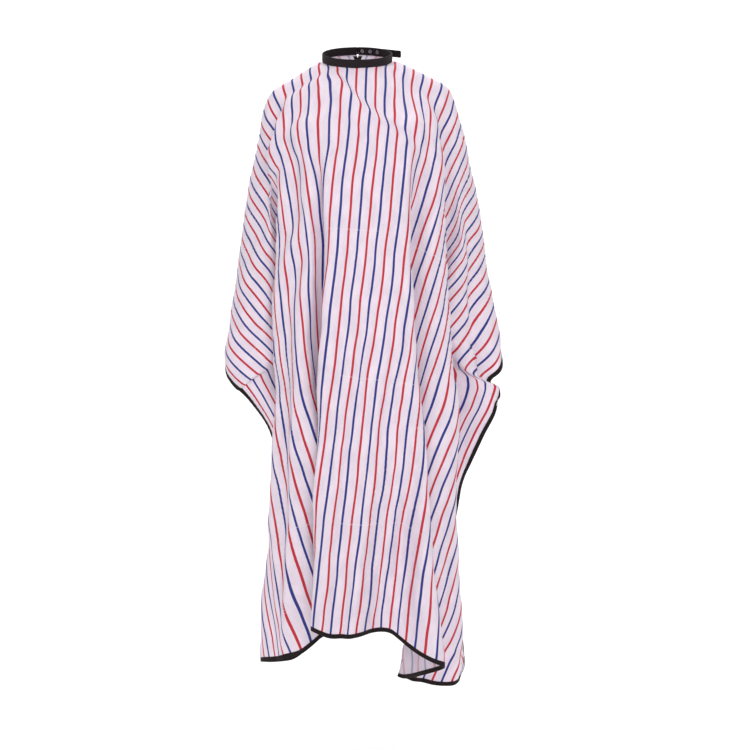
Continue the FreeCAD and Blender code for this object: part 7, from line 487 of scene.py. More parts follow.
    # the painted crease highlight: 30 % towards near-white along the crease lines
    c2 = mix_col(nt, math_node(nt, "MULTIPLY", crease_and_highlight, 0.30), v.outputs[0], (1.0, 0.99, 1.0))
    nt.links.new(c2, p.inputs["Base Color"])
    rough = math_node(nt, "ADD", math_node(nt, "MULTIPLY", drift, 0.08), 0.58)
    nt.links.new(rough, p.inputs["Roughness"])
    p.inputs["Sheen Weight"].default_value = 0.12
    p.inputs["Sheen Roughness"].default_value = 0.5
    p.inputs["Specular IOR Level"].default_value = 0.25
    # little puckers and pressed creases as relief, then the weave
    rump = noise(nt, at.outputs["Vector"], 0.05, 3.0, 0.55)
    n1 = bump(nt, rump, 0.25, 0.0012)
    n2 = bump(nt, crease_and_highlight, 0.6, 0.0006, n1)
    n3 = bump(nt, weave, 0.25, 0.00005, n2)
    nt.links.new(n3, p.inputs["Normal"])
    # thin cloth: some light comes through
    tr = node(nt, "BsdfTranslucent")
    nt.links.new(c2, tr.inputs[0]); nt.links.new(n1, tr.inputs[1])
    mx = node(nt, "MixShader"); mx.inputs[0].default_value = 0.22
    out = [n for n in nt.nodes if n.type == "OUTPUT_MATERIAL"][0]
    nt.links.new(p.outputs[0], mx.inputs[1]); nt.links.new(tr.outputs[0], mx.inputs[2])
    nt.links.new(mx.outputs[0], out.inputs[0])
    return m


def woven_black(name, colour, rib, strength=0.5, diag=True, rough=0.72):
    """Black woven tape or webbing: ribs run along or across the tape's own direction."""
    m, nt, p = new_material(name)
    at = node(nt, "Attribute", attribute_name="tape")      # along, across (mm)
    sep = node(nt, "SeparateXYZ"); nt.links.new(at.outputs["Vector"], sep.inputs[0])
    a, b = sep.outputs[0], sep.outputs[1]
    if diag:
        u = math_node(nt, "ADD", a, b); v = math_node(nt, "SUBTRACT", a, b)
    else:
        u, v = a, b
    s1 = math_node(nt, "SINE", math_node(nt, "MULTIPLY", u, 2 * math.pi / rib))
    s2 = math_node(nt, "SINE", math_node(nt, "MULTIPLY", v, 2 * math.pi / rib))
    wv = math_node(nt, "MULTIPLY", s1, s2)
    dust = noise(nt, at.outputs["Vector"], 0.12, 3.0)
    fuzz = noise(nt, at.outputs["Vector"], 2.5, 2.0)
    f = math_node(nt, "ADD", math_node(nt, "MULTIPLY", wv, 0.22), math_node(nt, "ADD", math_node(nt, "MULTIPLY", dust, 0.5),
        math_node(nt, "MULTIPLY", fuzz, 0.3)), clamp=True)
    c = mix_col(nt, f, tuple(x * 0.55 for x in colour), tuple(min(1, x * 1.7) for x in colour))
    nt.links.new(c, p.inputs["Base Color"])
    nt.links.new(math_node(nt, "ADD", math_node(nt, "MULTIPLY", dust, 0.14), rough - 0.07), p.inputs["Roughness"])
    p.inputs["Sheen Weight"].default_value = 0.03
    p.inputs["Sheen Roughness"].default_value = 0.6
    p.inputs["Specular IOR Level"].default_value = 0.14
    n1 = bump(nt, noise(nt, at.outputs["Vector"], 0.25, 2.0), 0.3, 0.0004)
    nt.links.new(bump(nt, wv, strength, 0.00012, n1), p.inputs["Normal"])
    return m


def object_noise_material(name, colour, colour2, scale, rough, metallic=0.0, bump_s=0.2, bump_d=0.0001, spec=0.5, wear=None):
    m, nt, p = new_material(name)
    tc = node(nt, "TexCoord")
    o = tc.outputs["Object"]
    f = noise(nt, o, scale, 4.0)
    c = mix_col(nt, f, colour, colour2)
    if wear is not None:
        w = node(nt, "MapRange"); w.inputs[1].default_value = 0.62; w.inputs[2].default_value = 0.74
        nt.links.new(noise(nt, o, scale * 3.1, 5.0, 0.65), w.inputs[0])
        c = mix_col(nt, math_node(nt, "MULTIPLY", w.outputs[0], 0.6), c, wear)
    nt.links.new(c, p.inputs["Base Color"])
    p.inputs["Metallic"].default_value = metallic
    p.inputs["Specular IOR Level"].default_value = spec
    nt.links.new(math_node(nt, "ADD", math_node(nt, "MULTIPLY", f, 0.18), rough - 0.09), p.inputs["Roughness"])
    nt.links.new(bump(nt, noise(nt, o, scale * 6, 3.0), bump_s, bump_d), p.inputs["Normal"])
    return m


BLACK = srgb(29, 20, 22)
MAT = {
    "front": cloth_material("cloth_right_side"),
    "back": cloth_material("cloth_wrong_side", True),
    "tape": woven_black("bias_tape", BLACK, 0.9),
    "band": woven_black("band_cloth", srgb(33, 25, 29), 0.9, 0.55),
    "strap": woven_black("strap_cloth", srgb(28, 22, 26), 1.0, 0.6, diag=False),
    "thread": object_noise_material("sewing_thread", srgb(52, 45, 52), srgb(30, 26, 30), 900.0, 0.55, bump_s=0.5, bump_d=0.0001, spec=0.35),
    "metal": object_noise_material("nickel", srgb(196, 196, 200), srgb(168, 168, 174), 300.0, 0.26, 1.0, 0.12, 0.00004),
    "enamel": object_noise_material("black_enamel", srgb(34, 33, 36), srgb(24, 23, 26), 260.0, 0.32, 0.0, 0.1, 0.00004, 0.5, wear=srgb(110, 108, 108)),
    "felt": object_noise_material("interlining_felt", srgb(228, 226, 218), srgb(206, 203, 194), 700.0, 0.9, bump_s=0.5, bump_d=0.0002),
}


# -------------------------------------------------------------- mesh helpers
def make_object(name, V, F, mats, mat_idx=None, attrs=None, smooth=True, loc_mm=True):
    me = bpy.data.meshes.new(name)
    V = np.asarray(V, float)
    if loc_mm:
        V = V / 1000.0
    F = [tuple(int(i) for i in f) for f in F]
    me.from_pydata(V.tolist(), [], F)
    for m in mats:
        me.materials.append(m)
    if mat_idx is not None:
        me.polygons.foreach_set("material_index", np.asarray(mat_idx, np.int32))
    if attrs:
        for k, v in attrs.items():
            at = me.attributes.new(k, "FLOAT_VECTOR", "POINT")
            v = np.asarray(v, np.float32)
            if v.shape[1] == 2:
                v = np.concatenate([v, np.zeros((len(v), 1), np.float32)], 1)
            at.data.foreach_set("vector", v.ravel())
    if smooth:
        me.polygons.foreach_set("use_smooth", np.ones(len(me.polygons), bool))
    me.update()
    ob = bpy.data.objects.new(name, me)
    bpy.context.scene.collection.objects.link(ob)
    return ob


def unit(v):
    return v / (np.linalg.norm(v, axis=-1, keepdims=True) + 1e-12)


def grid_faces(nu, nv, closed_v=False):
    """Quads of an nu x nv point grid."""
    a = np.arange(nu * nv).reshape(nu, nv)
    if closed_v:
        b = np.roll(a, -1, 1)
        q = np.stack([a[:-1], a[1:], b[1:], b[:-1]], -1).reshape(-1, 4)
    else:
        q = np.stack([a[:-1, :-1], a[1:, :-1], a[1:, 1:], a[:-1, 1:]], -1).reshape(-1, 4)
    return q


def sweep(sections, tape, caps=True):
    """Closed sections (n, k, 3) joined into a tube with end faces."""
    n, k = sections.shape[:2]
    F = [tuple(q) for q in grid_faces(n, k, True)]
    if caps:
        F.append(tuple(range(k)))
        F.append(tuple(range((n - 1) * k, n * k))[::-1])
    return sections.reshape(-1, 3), F, np.asarray(tape).reshape(-1, 2)


def merge(parts):
    V, F, T, n = [], [], [], 0
    for v, f, t in parts:
        V.append(v); T.append(t)
        F += [tuple(i + n for i in q) for q in f]
        n += len(v)
    return np.concatenate(V), F, np.concatenate(T)


def stitches(C, D, N, length, width, height):
    """Rows of thread: at each centre C a small rounded bar along D, standing on N."""
    C = np.asarray(C, float); D = unit(np.asarray(D, float)); N = np.asarray(N, float)
    N = unit(N - D * (D * N).sum(-1, keepdims=True)); S = np.cross(D, N)
    prof = []
    for t, hh, ww in ((-0.5, 0.0, 0.45), (-0.32, 0.75, 0.95), (0.0, 1.0, 1.0), (0.32, 0.75, 0.95), (0.5, 0.0, 0.45)):
        ring = []
        for a, b in ((-1.0, -0.25), (-0.8, 0.55), (0.0, 1.0), (0.8, 0.55), (1.0, -0.25)):
            ring.append(C + D * (t * length) + S * (a * width / 2 * ww) + N * (b * height * (0.35 + 0.65 * hh)))
        prof.append(np.stack(ring, 1))
    P = np.stack(prof, 1)                                   # (m, 5, 5, 3)
    m = len(P)
    V = P.reshape(-1, 3); F = []
    q = grid_faces(5, 5)
    F = (q[None] + (np.arange(m) * 25)[:, None, None]).reshape(-1, 4)
    T = np.zeros((len(V), 2))
    return V, [tuple(f) for f in F[:, ::-1]], T


# ------------------------------------------------------------------- panel
K = 4
P, UV, gone, ring, fang, (RI0, RI1, RJ0, RJ1, CL, CR) = refine(K)
Jf, If = gone.shape


def sstep(t):
    t = np.clip(t, 0, 1)
    return t * t * (3 - 2 * t)


# just below the band the two slit edges run straight up to the ring
for c, sg in ((CL, -1), (CR, 1)):
    x6 = P[RJ0 - 6, c, 0]; x0 = P[RJ0, c, 0]
    for j in range(RJ0 - 5, RJ0):
        f = (RJ0 - j) / 6.0
        d = x0 + f * (x6 - x0) - P[j, c, 0]
        for k in range(8):
            P[j, c + sg * k, 0] += d * (1 - k / 8.0) ** 2


def part_flaps(P):
    """Behind the neck the wearer's right half of the back lies over the left half."""
    for _ in range(3):
        a = (UV[..., 0] < 0) & (UV[..., 0] > -330) & (UV[..., 1] < -60) & ~gone & ~ring
        b = (UV[..., 0] > 0) & (UV[..., 0] < 330) & (UV[..., 1] < -60) & ~gone & ~ring
        pa = P[a]; pb = P[b][::3]
        push = np.zeros(len(pa))
        nrm = np.array([0.0, 0.8, 0.6])
        for s in range(0, len(pa), 600):
            D = pa[s:s + 600, None] - pb[None]
            g = D @ nrm
            pl = np.linalg.norm(D - g[..., None] * nrm, axis=-1)
            k = pl.argmin(1); r = np.arange(len(k))
            push[s:s + 600] = np.where((pl[r, k] < 9) & (g[r, k] > -60), np.clip(6.5 - g[r, k], 0, 60), 0)
        full = np.zeros(P.shape[:2]); full[a] = push
        blur = full.copy()
        for _ in range(24):
            blur = np.maximum(full, (np.roll(blur, 1, 0) + np.roll(blur, -1, 0) + np.roll(blur, 1, 1) + np.roll(blur, -1, 1)) / 4)
        for _ in range(10):
            blur = (2 * blur + np.roll(blur, 1, 0) + np.roll(blur, -1, 0) + np.roll(blur, 1, 1) + np.roll(blur, -1, 1)) / 6
        blur *= sstep((UV[..., 0] + 330) / 70) * sstep((-60 - UV[..., 1]) / 30) * (UV[..., 0] < 0) * ~gone
        d = np.clip(np.linalg.norm(P - np.array([0, 71, 19.0]), axis=-1) / 40 - 0.1, 0, 1)
        P = P + blur[..., None] * d[..., None] * nrm
        if push.max() < 0.5:
            break
    return P


P = settle(P, UV, gone, ring, 110, 1 / 900, 0.02, 5.0, (CL, CR, RJ0))
P = part_flaps(P)


# ------------------------------------------------- small folds and wrinkles
def front_view(P):
    """Where each point is seen from the front, on the plane through the neck (mm)."""
    k = 3200.0 / (P[..., 1] + 3200.0)
    return 40 + (P[..., 0] - 40) * k, -715 + (P[..., 2] + 715) * k, k


def to_line(x, z, line):
    """Signed distance to a polyline (positive on the side away from the left-hand normal) and run along it, 0 to 1."""
    line = np.array(line, float); seg = np.diff(line, axis=0); L = np.linalg.norm(seg, axis=1); cum = np.r_[0, np.cumsum(L)]
    best = np.full(x.shape, 1e9); sd = np.zeros(x.shape); run = np.zeros(x.shape)
    for k in range(len(seg)):
        e = seg[k] / L[k]
        dx, dz = x - line[k, 0], z - line[k, 1]
        u = dx * e[0] + dz * e[1]; uc = np.clip(u, 0, L[k])
        s = dx * e[1] - dz * e[0]
        d = np.hypot(dx - uc * e[0], dz - uc * e[1])
        m = d < best
        best = np.where(m, d, best); sd = np.where(m, np.sign(s) * d, sd); run = np.where(m, (cum[k] + uc) / cum[-1], run)
    return sd, run, best


def inside(a0, a1, b0, b1, fade_a=25.0, fade_b=60.0):
    A, B = UV[..., 0], UV[..., 1]
    return (sstep((A - a0) / fade_a) * sstep((a1 - A) / fade_a) * sstep((B - b0) / fade_b) * sstep((b1 - B) / fade_b)) * ~gone


def gather(P, line, sel, w, squeeze, depth, even=0.0, ends=(0.15, 0.15)):
    """A long soft fold: the cloth is drawn together across the line and steps in depth there."""
    x, z, k = front_view(P)
    s, run, d = to_line(x, z, line)
    win = sel * sstep(run / ends[0]) * sstep((1 - run) / ends[1])
    e = np.exp(-(s / w) ** 2)
    line = np.array(line, float); dr = line[-1] - line[0]; dr /= np.linalg.norm(dr)
    nx, nz = dr[1], -dr[0]
    mv = -squeeze * w * 1.1 * (s / np.sqrt(s * s + w * w)) * np.exp(-(s / (3.2 * w)) ** 2) * win / k
    P = P.copy()
    P[..., 0] += mv * nx; P[..., 2] += mv * nz
    P[..., 1] += win * (depth * 1.65 * (s / w) * e + even * e)
    return P


def drag(P, line, sel, amp0, amp1, crest, tail=60.0):
    """A drag wrinkle: below the line the cloth is pulled aside, along the line it stands up."""
    x, z, k = front_view(P)
    s, run, d = to_line(x, z, line)
    below = np.where(s > 0, 1.0, -1.0) * np.abs(s)
    if np.array(line)[-1][0] < np.array(line)[0][0]:
        below = -below
    ln = np.array(line, float); e0 = (ln[-1] - ln[0]) / np.linalg.norm(ln[-1] - ln[0])
    along = (x - ln[0, 0]) * e0[0] + (z - ln[0, 1]) * e0[1]
    # far from the ends the side is measured against the straight chord
    ch = (x - ln[0, 0]) * e0[1] - (z - ln[0, 1]) * e0[0]
    if ln[-1, 0] < ln[0, 0]:
        ch = -ch
    below = np.where((run <= 0.0) | (run >= 1.0), ch, below)
    g = sstep((below + 10) / 25.0) * np.exp(-np.maximum(below - 15, 0) / tail)
    amp = (amp0 + (amp1 - amp0) * run) * sel * np.exp(-np.maximum(d - 120, 0) / 40) * sstep((along + 10) / 60.0)
    P = P.copy()
    P[..., 0] += amp * g
    P[..., 1] += sel * crest * (-np.exp(-((below + 7) / 8.0) ** 2) + 0.6 * np.exp(-((below - 9) / 11.0) ** 2)) * sstep(run / 0.08) * sstep((1 - run) / 0.3)
    return P


# lower left: a narrow pleat beside the main front fold
P = gather(P, [(-147, -640), (-147, -748), (-151, -841), (-155, -981), (-156, -1075), (-159, -1145), (-163, -1214), (-170, -1308), (-180, -1430)],
           inside(-420, -165, 520, 1395, 30, 215), 16.0, 0.80, 9.0, ends=(0.25, 0.03))
P = gather(P, [(-212, -1020), (-196, -1075), (-188, -1140), (-184, -1220), (-180, -1308), (-176, -1420)], inside(-480, -250, 700, 1375, 30, 200), 9.0, 0.5, 5.0, ends=(0.22, 0.03))
# right wing: a long ripple, then the hooked fold above the lower lobe
P = gather(P, [(236, -330), (243, -420), (248, -475), (247, -520), (248, -562), (250, -606), (246, -640)], inside(380, 705, 190, 520, 40, 60), 13.0, 0.62, -4.5, ends=(0.3, 0.2))
hook = [(239, -632), (250, -651), (265, -684), (280, -712), (309, -747), (318, -762)]
x_, z_, k_ = front_view(P)
s_, run_, d_ = to_line(x_, z_, hook)
sel_ = inside(470, 694, 360, 690, 50, 40) * sstep(run_ / 0.2) * sstep((1 - run_) / 0.12)
lower = s_
# points on the wearer's side of the hook lie below it
P[..., 1] += sel_ * np.where(lower > 0, -15.0 * sstep((lower + 3) / 6) * np.exp(-np.maximum(lower - 4, 0) / 34), 7.0 * sstep((3 - lower) / 6) * np.exp(-np.maximum(-lower - 4, 0) / 22))
mv = np.where(lower > 0, 7.5 * np.exp(-(lower / 12.0) ** 2), -1.5 * np.exp(-(lower / 9.0) ** 2)) * sel_
P[..., 0] += mv * 0.80; P[..., 2] += mv * 0.60
# chest: drag wrinkles from the left of the neck down to the right
chest = inside(-75, 160, 70, 520, 40, 14)
P = drag(P, [(-62, -14), (-44, -38), (-22, -64), (4, -94), (27, -110), (53, -133), (78, -150), (101, -167), (121, -189)], inside(-112, 170, 70, 560, 50, 26), 14.5, 6.5, 3.6, 95)
P = drag(P, [(121, -84), (138, -101), (153, -139), (161, -173), (160, -215)], inside(80, 250, 88, 480, 34, 16), 5.5, 3.0, 2.4, 70)
P = drag(P, [(-60, -60), (-28, -120), (10, -165), (50, -195)], inside(-110, 60, 120, 480, 30, 30), 2.6, 1.4, 1.6, 50)
# the crests of the two wings are pinched by the cloth's own weight
Nw = None


def grid_normals(P):
    du = np.roll(P, -1, 1) - np.roll(P, 1, 1); dv = np.roll(P, -1, 0) - np.roll(P, 1, 0)
    n = np.cross(dv, du)
    return n / (np.linalg.norm(n, axis=-1, keepdims=True) + 1e-9)


nw = grid_normals(P)
wing_sel = sstep((np.abs(UV[..., 0]) - 190) / 60) * sstep((820 - UV[..., 1]) / 120) * sstep((UV[..., 1] + 40) / 80) * sstep((684 - np.abs(UV[..., 0])) / 16) * ~gone
pinch = 6.0 * np.clip(1 - np.abs(nw[..., 1]), 0, 1) ** 3 * wing_sel
out_dir = nw * np.sign(nw[..., 0:1]) * np.sign(UV[..., 0:1])
P = P + out_dir * pinch[..., None]
# the right wing's edge: a notch above the lower lobe, and the lobe lies in front of it
A_, B_ = UV[..., 0], UV[..., 1]
near_edge = sstep((A_ - 600) / 85)
notch = np.exp(-((B_ - 462) / 46.0) ** 2) * near_edge
P[..., 0] -= 19.0 * notch; P[..., 1] += 9.0 * notch; P[..., 2] -= 2.0 * notch
lobe = sstep((B_ - 505) / 45) * sstep((720 - B_) / 120) * near_edge
P[..., 1] -= 9.0 * lobe; P[..., 0] += 3.0 * lobe
P[..., 0] += 3.0 * np.exp(-((A_ - 630) / 30.0) ** 2) * sstep((B_ - 500) / 60) * sstep((800 - B_) / 140)


def turn_back(P, b0, b1, fade0, fade1, wide=25.0, behind=5.0):
    """The left-hand side edge is turned under over a stretch of its length, so the fold makes the outline."""
    d = P[:, -1] - P[:, -6]
    d = d / (np.linalg.norm(d, axis=1, keepdims=True) + 1e-9)
    d = (np.roll(d, 1, 0) + 2 * d + np.roll(d, -1, 0)) / 4
    steps_ = np.linalg.norm(np.diff(UV[:, ::-1], axis=1), axis=2)
    run = np.concatenate([np.zeros((P.shape[0], 1)), np.cumsum(steps_, axis=1)], axis=1)[:, ::-1]
    w = (wide * sstep((B_ - b0) / fade0) * sstep((b1 - B_) / fade1))[:, -1][:, None]
    t = w - run                                  # outwards from where the turn starts
    on = np.clip(t, 0, None)
    x = np.where(on < w / 2, on, w - on)
    back_ = behind * np.clip(w / 14.0, 0, 1) * sstep((on - w / 2 + 4.0) / 8.0) * (on > 0)
    out = w / 2 * sstep((t + 90) / 100.0)
    P = P.copy()
    P += d[:, None] * ((x - on) + out)[..., None]
    P[..., 1] += back_
    return P


P = turn_back(P, 478, 650, 34, 120)
P = turn_back(P, 960, 1262, 70, 80, 25.0, 6.0)
# lower left: the tip of the fold behind the front hem
tip = np.exp(-((A_ + 619) / 16.0) ** 2) * sstep((B_ - 1215) / 80)
P[..., 2] += 8.0 * tip; P[..., 1] += 2.0 * tip
# crumples all over, stronger where the cloth is loose
rng = np.random.RandomState(5)


def soft_noise(passes, seed):
    f = np.random.RandomState(seed).standard_normal((Jf, If))
    for _ in range(passes):
        f = (np.roll(f, 1, 0) + np.roll(f, -1, 0) + np.roll(f, 1, 1) + np.roll(f, -1, 1) + 2 * f) / 6
    return f / f.std()


loose = sstep((np.hypot(UV[..., 0], UV[..., 1]) - 95) / 90) * ~gone
to_edge = np.minimum(np.minimum(700 - np.abs(UV[..., 0]), B_FRONT - UV[..., 1]), UV[..., 1] - B_BACK)
loose = loose * (0.06 + 0.94 * sstep((to_edge - 14) / 45)) * (1 - 0.8 * sstep((60 - np.abs(UV[..., 0])) / 40) * (UV[..., 1] < -70))
nz_ = soft_noise(70, 11) * 1.15 + soft_noise(14, 12) * 0.28
nx_ = soft_noise(60, 13) * 0.9
P = P + nw * (nz_ * loose)[..., None]
P[..., 0] += nx_ * loose * 0.8
P = part_flaps(P)
# keep the cloth under the band and the strap
cT, sT = math.cos(TILT), math.sin(TILT)


def ring_coords(X):
    return X[..., 0], X[..., 1] * cT + X[..., 2] * sT, -X[..., 1] * sT + X[..., 2] * cT


x_, y_, h_ = ring_coords(P)
r_ = np.hypot(x_, y_); ph = np.degrees(np.arctan2(x_, y_))
hmax = np.where((ph > -30) & (ph < 95), -11.5 + np.maximum(0, r_ - 122) * 2, -11.5 + np.maximum(0, r_ - 88))
ex = np.where((r_ > 78) & (r_ < 150) & ~gone, np.maximum(0, h_ - hmax), 0)
P[..., 1] += sT * ex; P[..., 2] -= cT * ex


def smooth_normals(P):
    du = np.zeros_like(P); dv = np.zeros_like(P)
    ok = ~gone
    # one-sided where the neighbour is missing
    def diff(axis, out):
        nxt = np.roll(P, -1, axis); prv = np.roll(P, 1, axis)
        kn = np.roll(ok, -1, axis).copy(); kp = np.roll(ok, 1, axis).copy()
        if axis == 0:
            kn[-1] = False; kp[0] = False
        else:
            kn[:, -1] = False; kp[:, 0] = False
            # the slit
            rows = np.arange(Jf) <= RJ0
            kn[rows, CL] = False; kp[rows, CR] = False
        a = np.where(kn[..., None], nxt, P); b = np.where(kp[..., None], prv, P)
        out[...] = a - b
    diff(1, du); diff(0, dv)
    return unit(np.cross(dv, du))


# the cloth is gathered a little more at the lower left and in the right lobe than the net shows
UVS = UV.copy()
ka = UV[..., 0] / PITCH
UVS[..., 0] -= PITCH * 0.95 * sstep((31.9 - ka) / 2.3) * sstep((ka - 22.0) / 6.0) * sstep((UV[..., 1] - 490) / 70) * sstep((900 - UV[..., 1]) / 150)
UVS[..., 0] -= PITCH * 2.0 * sstep((-16.3 - ka) / 4.5) * (1 - sstep((-21.0 - ka) / 11.0)) * sstep((UV[..., 1] - 700) / 420)
N = smooth_normals(P)
idx = -np.ones(gone.shape, int)
idx[~gone] = np.arange((~gone).sum())
VV, NN, SS = P[~gone], N[~gone], UVS[~gone]
# quads of the panel
q = np.stack([idx[:-1, :-1], idx[1:, :-1], idx[1:, 1:], idx[:-1, 1:]], -1)
cell_ok = (q >= 0).all(-1)
ci = np.arange(If - 1)[None, :]; cj = np.arange(Jf - 1)[:, None]
cell_ok &= ~((ci >= CL) & (ci < CR) & (cj < RJ0))
Q = q[cell_ok]
# the cloth goes on up inside the band
ring_id = idx[ring]
order = np.argsort(fang[ring])
rid = ring_id[order]; rang = np.sort(fang[ring])
n0 = len(VV)
rows_h = [-8.5, -5.0, -2.0]
extra = [ring_point(rang, R_CLOTH, hh) for hh in rows_h]
VV = np.concatenate([VV] + extra)
NN = np.concatenate([NN] + [unit(ring_point(rang, 1.0, 0.0))] * 3)
SS = np.concatenate([SS] + [np.stack([(R_CLOTH - 4 * (i + 1)) * np.sin(rang), (R_CLOTH - 4 * (i + 1)) * np.cos(rang)], -1) for i in range(3)])
prev = rid
FQ = [Q]
for i in range(3):
    cur = n0 + i * len(rid) + np.arange(len(rid))
    FQ.append(np.stack([cur[:-1], prev[:-1], prev[1:], cur[1:]], -1))
    prev = cur
Q = np.concatenate(FQ)
# ring normals point outwards, as the band's wall does
NN[rid] = unit(NN[rid] + 2 * unit(ring_point(rang, 1.0, 0.0)))
TH = 0.28
nv = len(VV)
V2 = np.concatenate([VV + NN * TH, VV - NN * TH])
F2 = np.concatenate([Q, Q[:, ::-1] + nv])
mi = np.concatenate([np.zeros(len(Q), int), np.ones(len(Q), int)])
# rim
edges = {}
for f in Q:
    for a, b in ((f[0], f[1]), (f[1], f[2]), (f[2], f[3]), (f[3], f[0])):
        if (b, a) in edges:
            del edges[(b, a)]
        else:
            edges[(a, b)] = 1
rim = np.array([(b, a, a + nv, b + nv) for a, b in edges])
F2 = np.concatenate([F2, rim]); mi = np.concatenate([mi, np.zeros(len(rim), int)])
S2 = np.concatenate([np.concatenate([SS, np.zeros((nv, 1))], 1)] * 2)
cape = make_object("cape_cloth", V2, F2, [MAT["front"], MAT["back"]], mi, {"sheet": S2})
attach(cape, "cape"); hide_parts("cape_panel")


# ------------------------------------------------------------- edge tapes
def clampi(j, i, k):
    return np.clip(j, k, Jf - 1 - k), np.clip(i, k, If - 1 - k)


def tape_piece(name, E, IN, NR, nodes, stitch_name, stitch_nodes=(), cap=True):
    """Folded tape: E edge points, IN points about TAPE_W inside, NR cloth normals (mm)."""
    t = unit(E - IN)
    w = unit(NR - t * (t * NR).sum(-1, keepdims=True))
    s = np.r_[0, np.cumsum(np.linalg.norm(np.diff(E, axis=0), axis=1))]
    wav = 0.22 * np.sin(s / 17.0) + 0.16 * np.sin(s / 6.3 + 1.0) + 0.10 * np.sin(s / 2.9 + 2.0)
    # section: inner turned edge, face, round fold, other face
    prof = [(-TAPE_W, 0.35), (-TAPE_W - 0.05, 0.75), (-TAPE_W + 0.6, 1.02), (-TAPE_W + 1.6, 0.80), (-TAPE_W + 3.0, 0.95), (-4.0, 0.98), (-1.5, 1.0),
            (-0.1, 1.0), (0.55, 0.62), (0.78, 0.0), (0.55, -0.62), (-0.1, -1.0),
            (-1.5, -1.0), (-4.0, -0.98), (-TAPE_W + 3.0, -0.95), (-TAPE_W + 1.6, -0.80), (-TAPE_W + 0.6, -1.02), (-TAPE_W - 0.05, -0.75), (-TAPE_W, -0.35)]
    L = np.linalg.norm(E - IN, axis=1)
    sec = []
    acr = []
    for k, (d, o) in enumerate(prof):
        f = -d / TAPE_W
        base = E + (IN - E) * min(max(f, 0.0), 1.08) + t * max(d, 0.0)
        puff = wav * (1 if o > 0 else -1) * (0.35 if abs(d) > TAPE_W - 1 else 0.6)
        sec.append(base + w * (o + puff * abs(o) * 0.5)[:, None])
        acr.append(d + (20 if o < 0 else 0))
    sec = np.stack(sec, 1)
    tp = np.stack([np.repeat(s[:, None], len(prof), 1), np.repeat(np.array(acr)[None], len(s), 0)], -1)
    V, F, T = sweep(sec, tp, cap)
    ob = make_object(name, V, F, [MAT["tape"]], None, {"tape": T})
    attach(ob, "cape"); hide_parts(*nodes)
    # stitches on both faces, 1.6 mm from the tape's inner edge
    ss = np.arange(2.0, s[-1] - 1.0, 3.6)
    def at(Q):
        return np.stack([np.interp(ss, s, Q[:, c]) for c in range(3)], -1)
    d = -TAPE_W + 1.6
    line = E + (IN - E) * (-d / TAPE_W)
    c0 = at(line); dr = unit(at(E + np.gradient(E, axis=0)) - at(E)); ww = unit(at(w))
    parts = []
    for sg in (1, -1):
        parts.append(stitches(c0 + ww * sg * 0.66, dr * sg, ww * sg, 2.6, 0.42, 0.3))
    V, F, T = merge(parts)
    st = make_object(stitch_name, V, F, [MAT["thread"]], None, {"tape": T})
    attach(st, "cape")
    return ob


# outer edge, from the slit's right side round the front to its left side
bj, bi = [], []
for i in range(CR, If): bj.append(0); bi.append(i)
for j in range(1, Jf): bj.append(j); bi.append(If - 1)
for i in range(If - 2, -1, -1): bj.append(Jf - 1); bi.append(i)
for j in range(Jf - 2, -1, -1): bj.append(j); bi.append(0)
for i in range(1, CL + 1): bj.append(0); bi.append(i)
bj = np.array(bj); bi = np.array(bi)
E = P[bj, bi]; EN = N[bj, bi]


def inner(bj, bi, dist):
    """Walk from the edge into the sheet over the net until dist mm of cloth lie behind."""
    p0 = P[bj, bi]; out = p0.copy(); left = np.full(len(bj), float(dist)); done = np.zeros(len(bj), bool)
    u0 = UV[bj, bi]
    for k in range(1, 7):
        j1, i1 = clampi(bj, bi, k)
        p1 = P[j1, i1]; u1 = UV[j1, i1]
        step = np.linalg.norm(u1 - u0, axis=1)
        f = np.clip(left / np.maximum(step, 1e-6), 0, 1)
        new = p0 + (p1 - p0) * f[:, None]
        out[~done] = new[~done]
        left = left - step
        done |= left <= 0
        p0, u0 = p1, u1
        if done.all():
            break
    return out


IN = inner(bj, bi, TAPE_W)
# keep the inner line tidy
for _ in range(2):
    D = IN - E
    D[1:-1] = (D[:-2] + 2 * D[1:-1] + D[2:]) / 4
    IN = E + unit(D) * np.clip(np.linalg.norm(D, axis=1), 8.0, 9.6)[:, None]
    EN[1:-1] = unit((EN[:-2] + 2 * EN[1:-1] + EN[2:]) / 4)
tape_piece("hem_tape", E, IN, EN, ["hem_binding"], "hem_tape_stitches")

# slit edges
for nm, c, sg, node_name in (("slit_tape_right", CR, 1, "slit_binding_right"), ("slit_tape_left", CL, -1, "slit_binding_left")):
    jj = np.arange(2, RJ0 + 1)
    Es = P[jj, c].copy(); Ns = N[jj, c].copy()
    p0 = Es; out = Es.copy(); left = np.full(len(jj), TAPE_W); done = np.zeros(len(jj), bool); u0 = UV[jj, c]
    for k in range(1, 5):
        p1 = P[jj, c + sg * k]; u1 = UV[jj, c + sg * k]
        st = np.linalg.norm(u1 - u0, axis=1); f = np.clip(left / np.maximum(st, 1e-6), 0, 1)
        new = p0 + (p1 - p0) * f[:, None]
        out[~done] = new[~done]; left = left - st; done |= left <= 0; p0, u0 = p1, u1
    tape_piece(nm, Es, out, Ns, [node_name], nm + "_stitches")


# --------------------------------------------------------------- neck band
def ring_tube(prof_fn, phis, r_tape):
    """Sweep a closed (r, h) section along the ring; prof_fn(phi) gives (m, 2) points."""
    sec, tp = [], []
    for p in phis:
        pr = np.array(prof_fn(p))
        sec.append(ring_back(pr[:, 0], np.full(len(pr), p), pr[:, 1]))
        d = np.r_[0, np.cumsum(np.linalg.norm(np.diff(pr, axis=0), axis=1))]
        tp.append(np.stack([np.full(len(pr), math.radians(p) * r_tape), d], -1))
    return sweep(np.array(sec), np.array(tp))


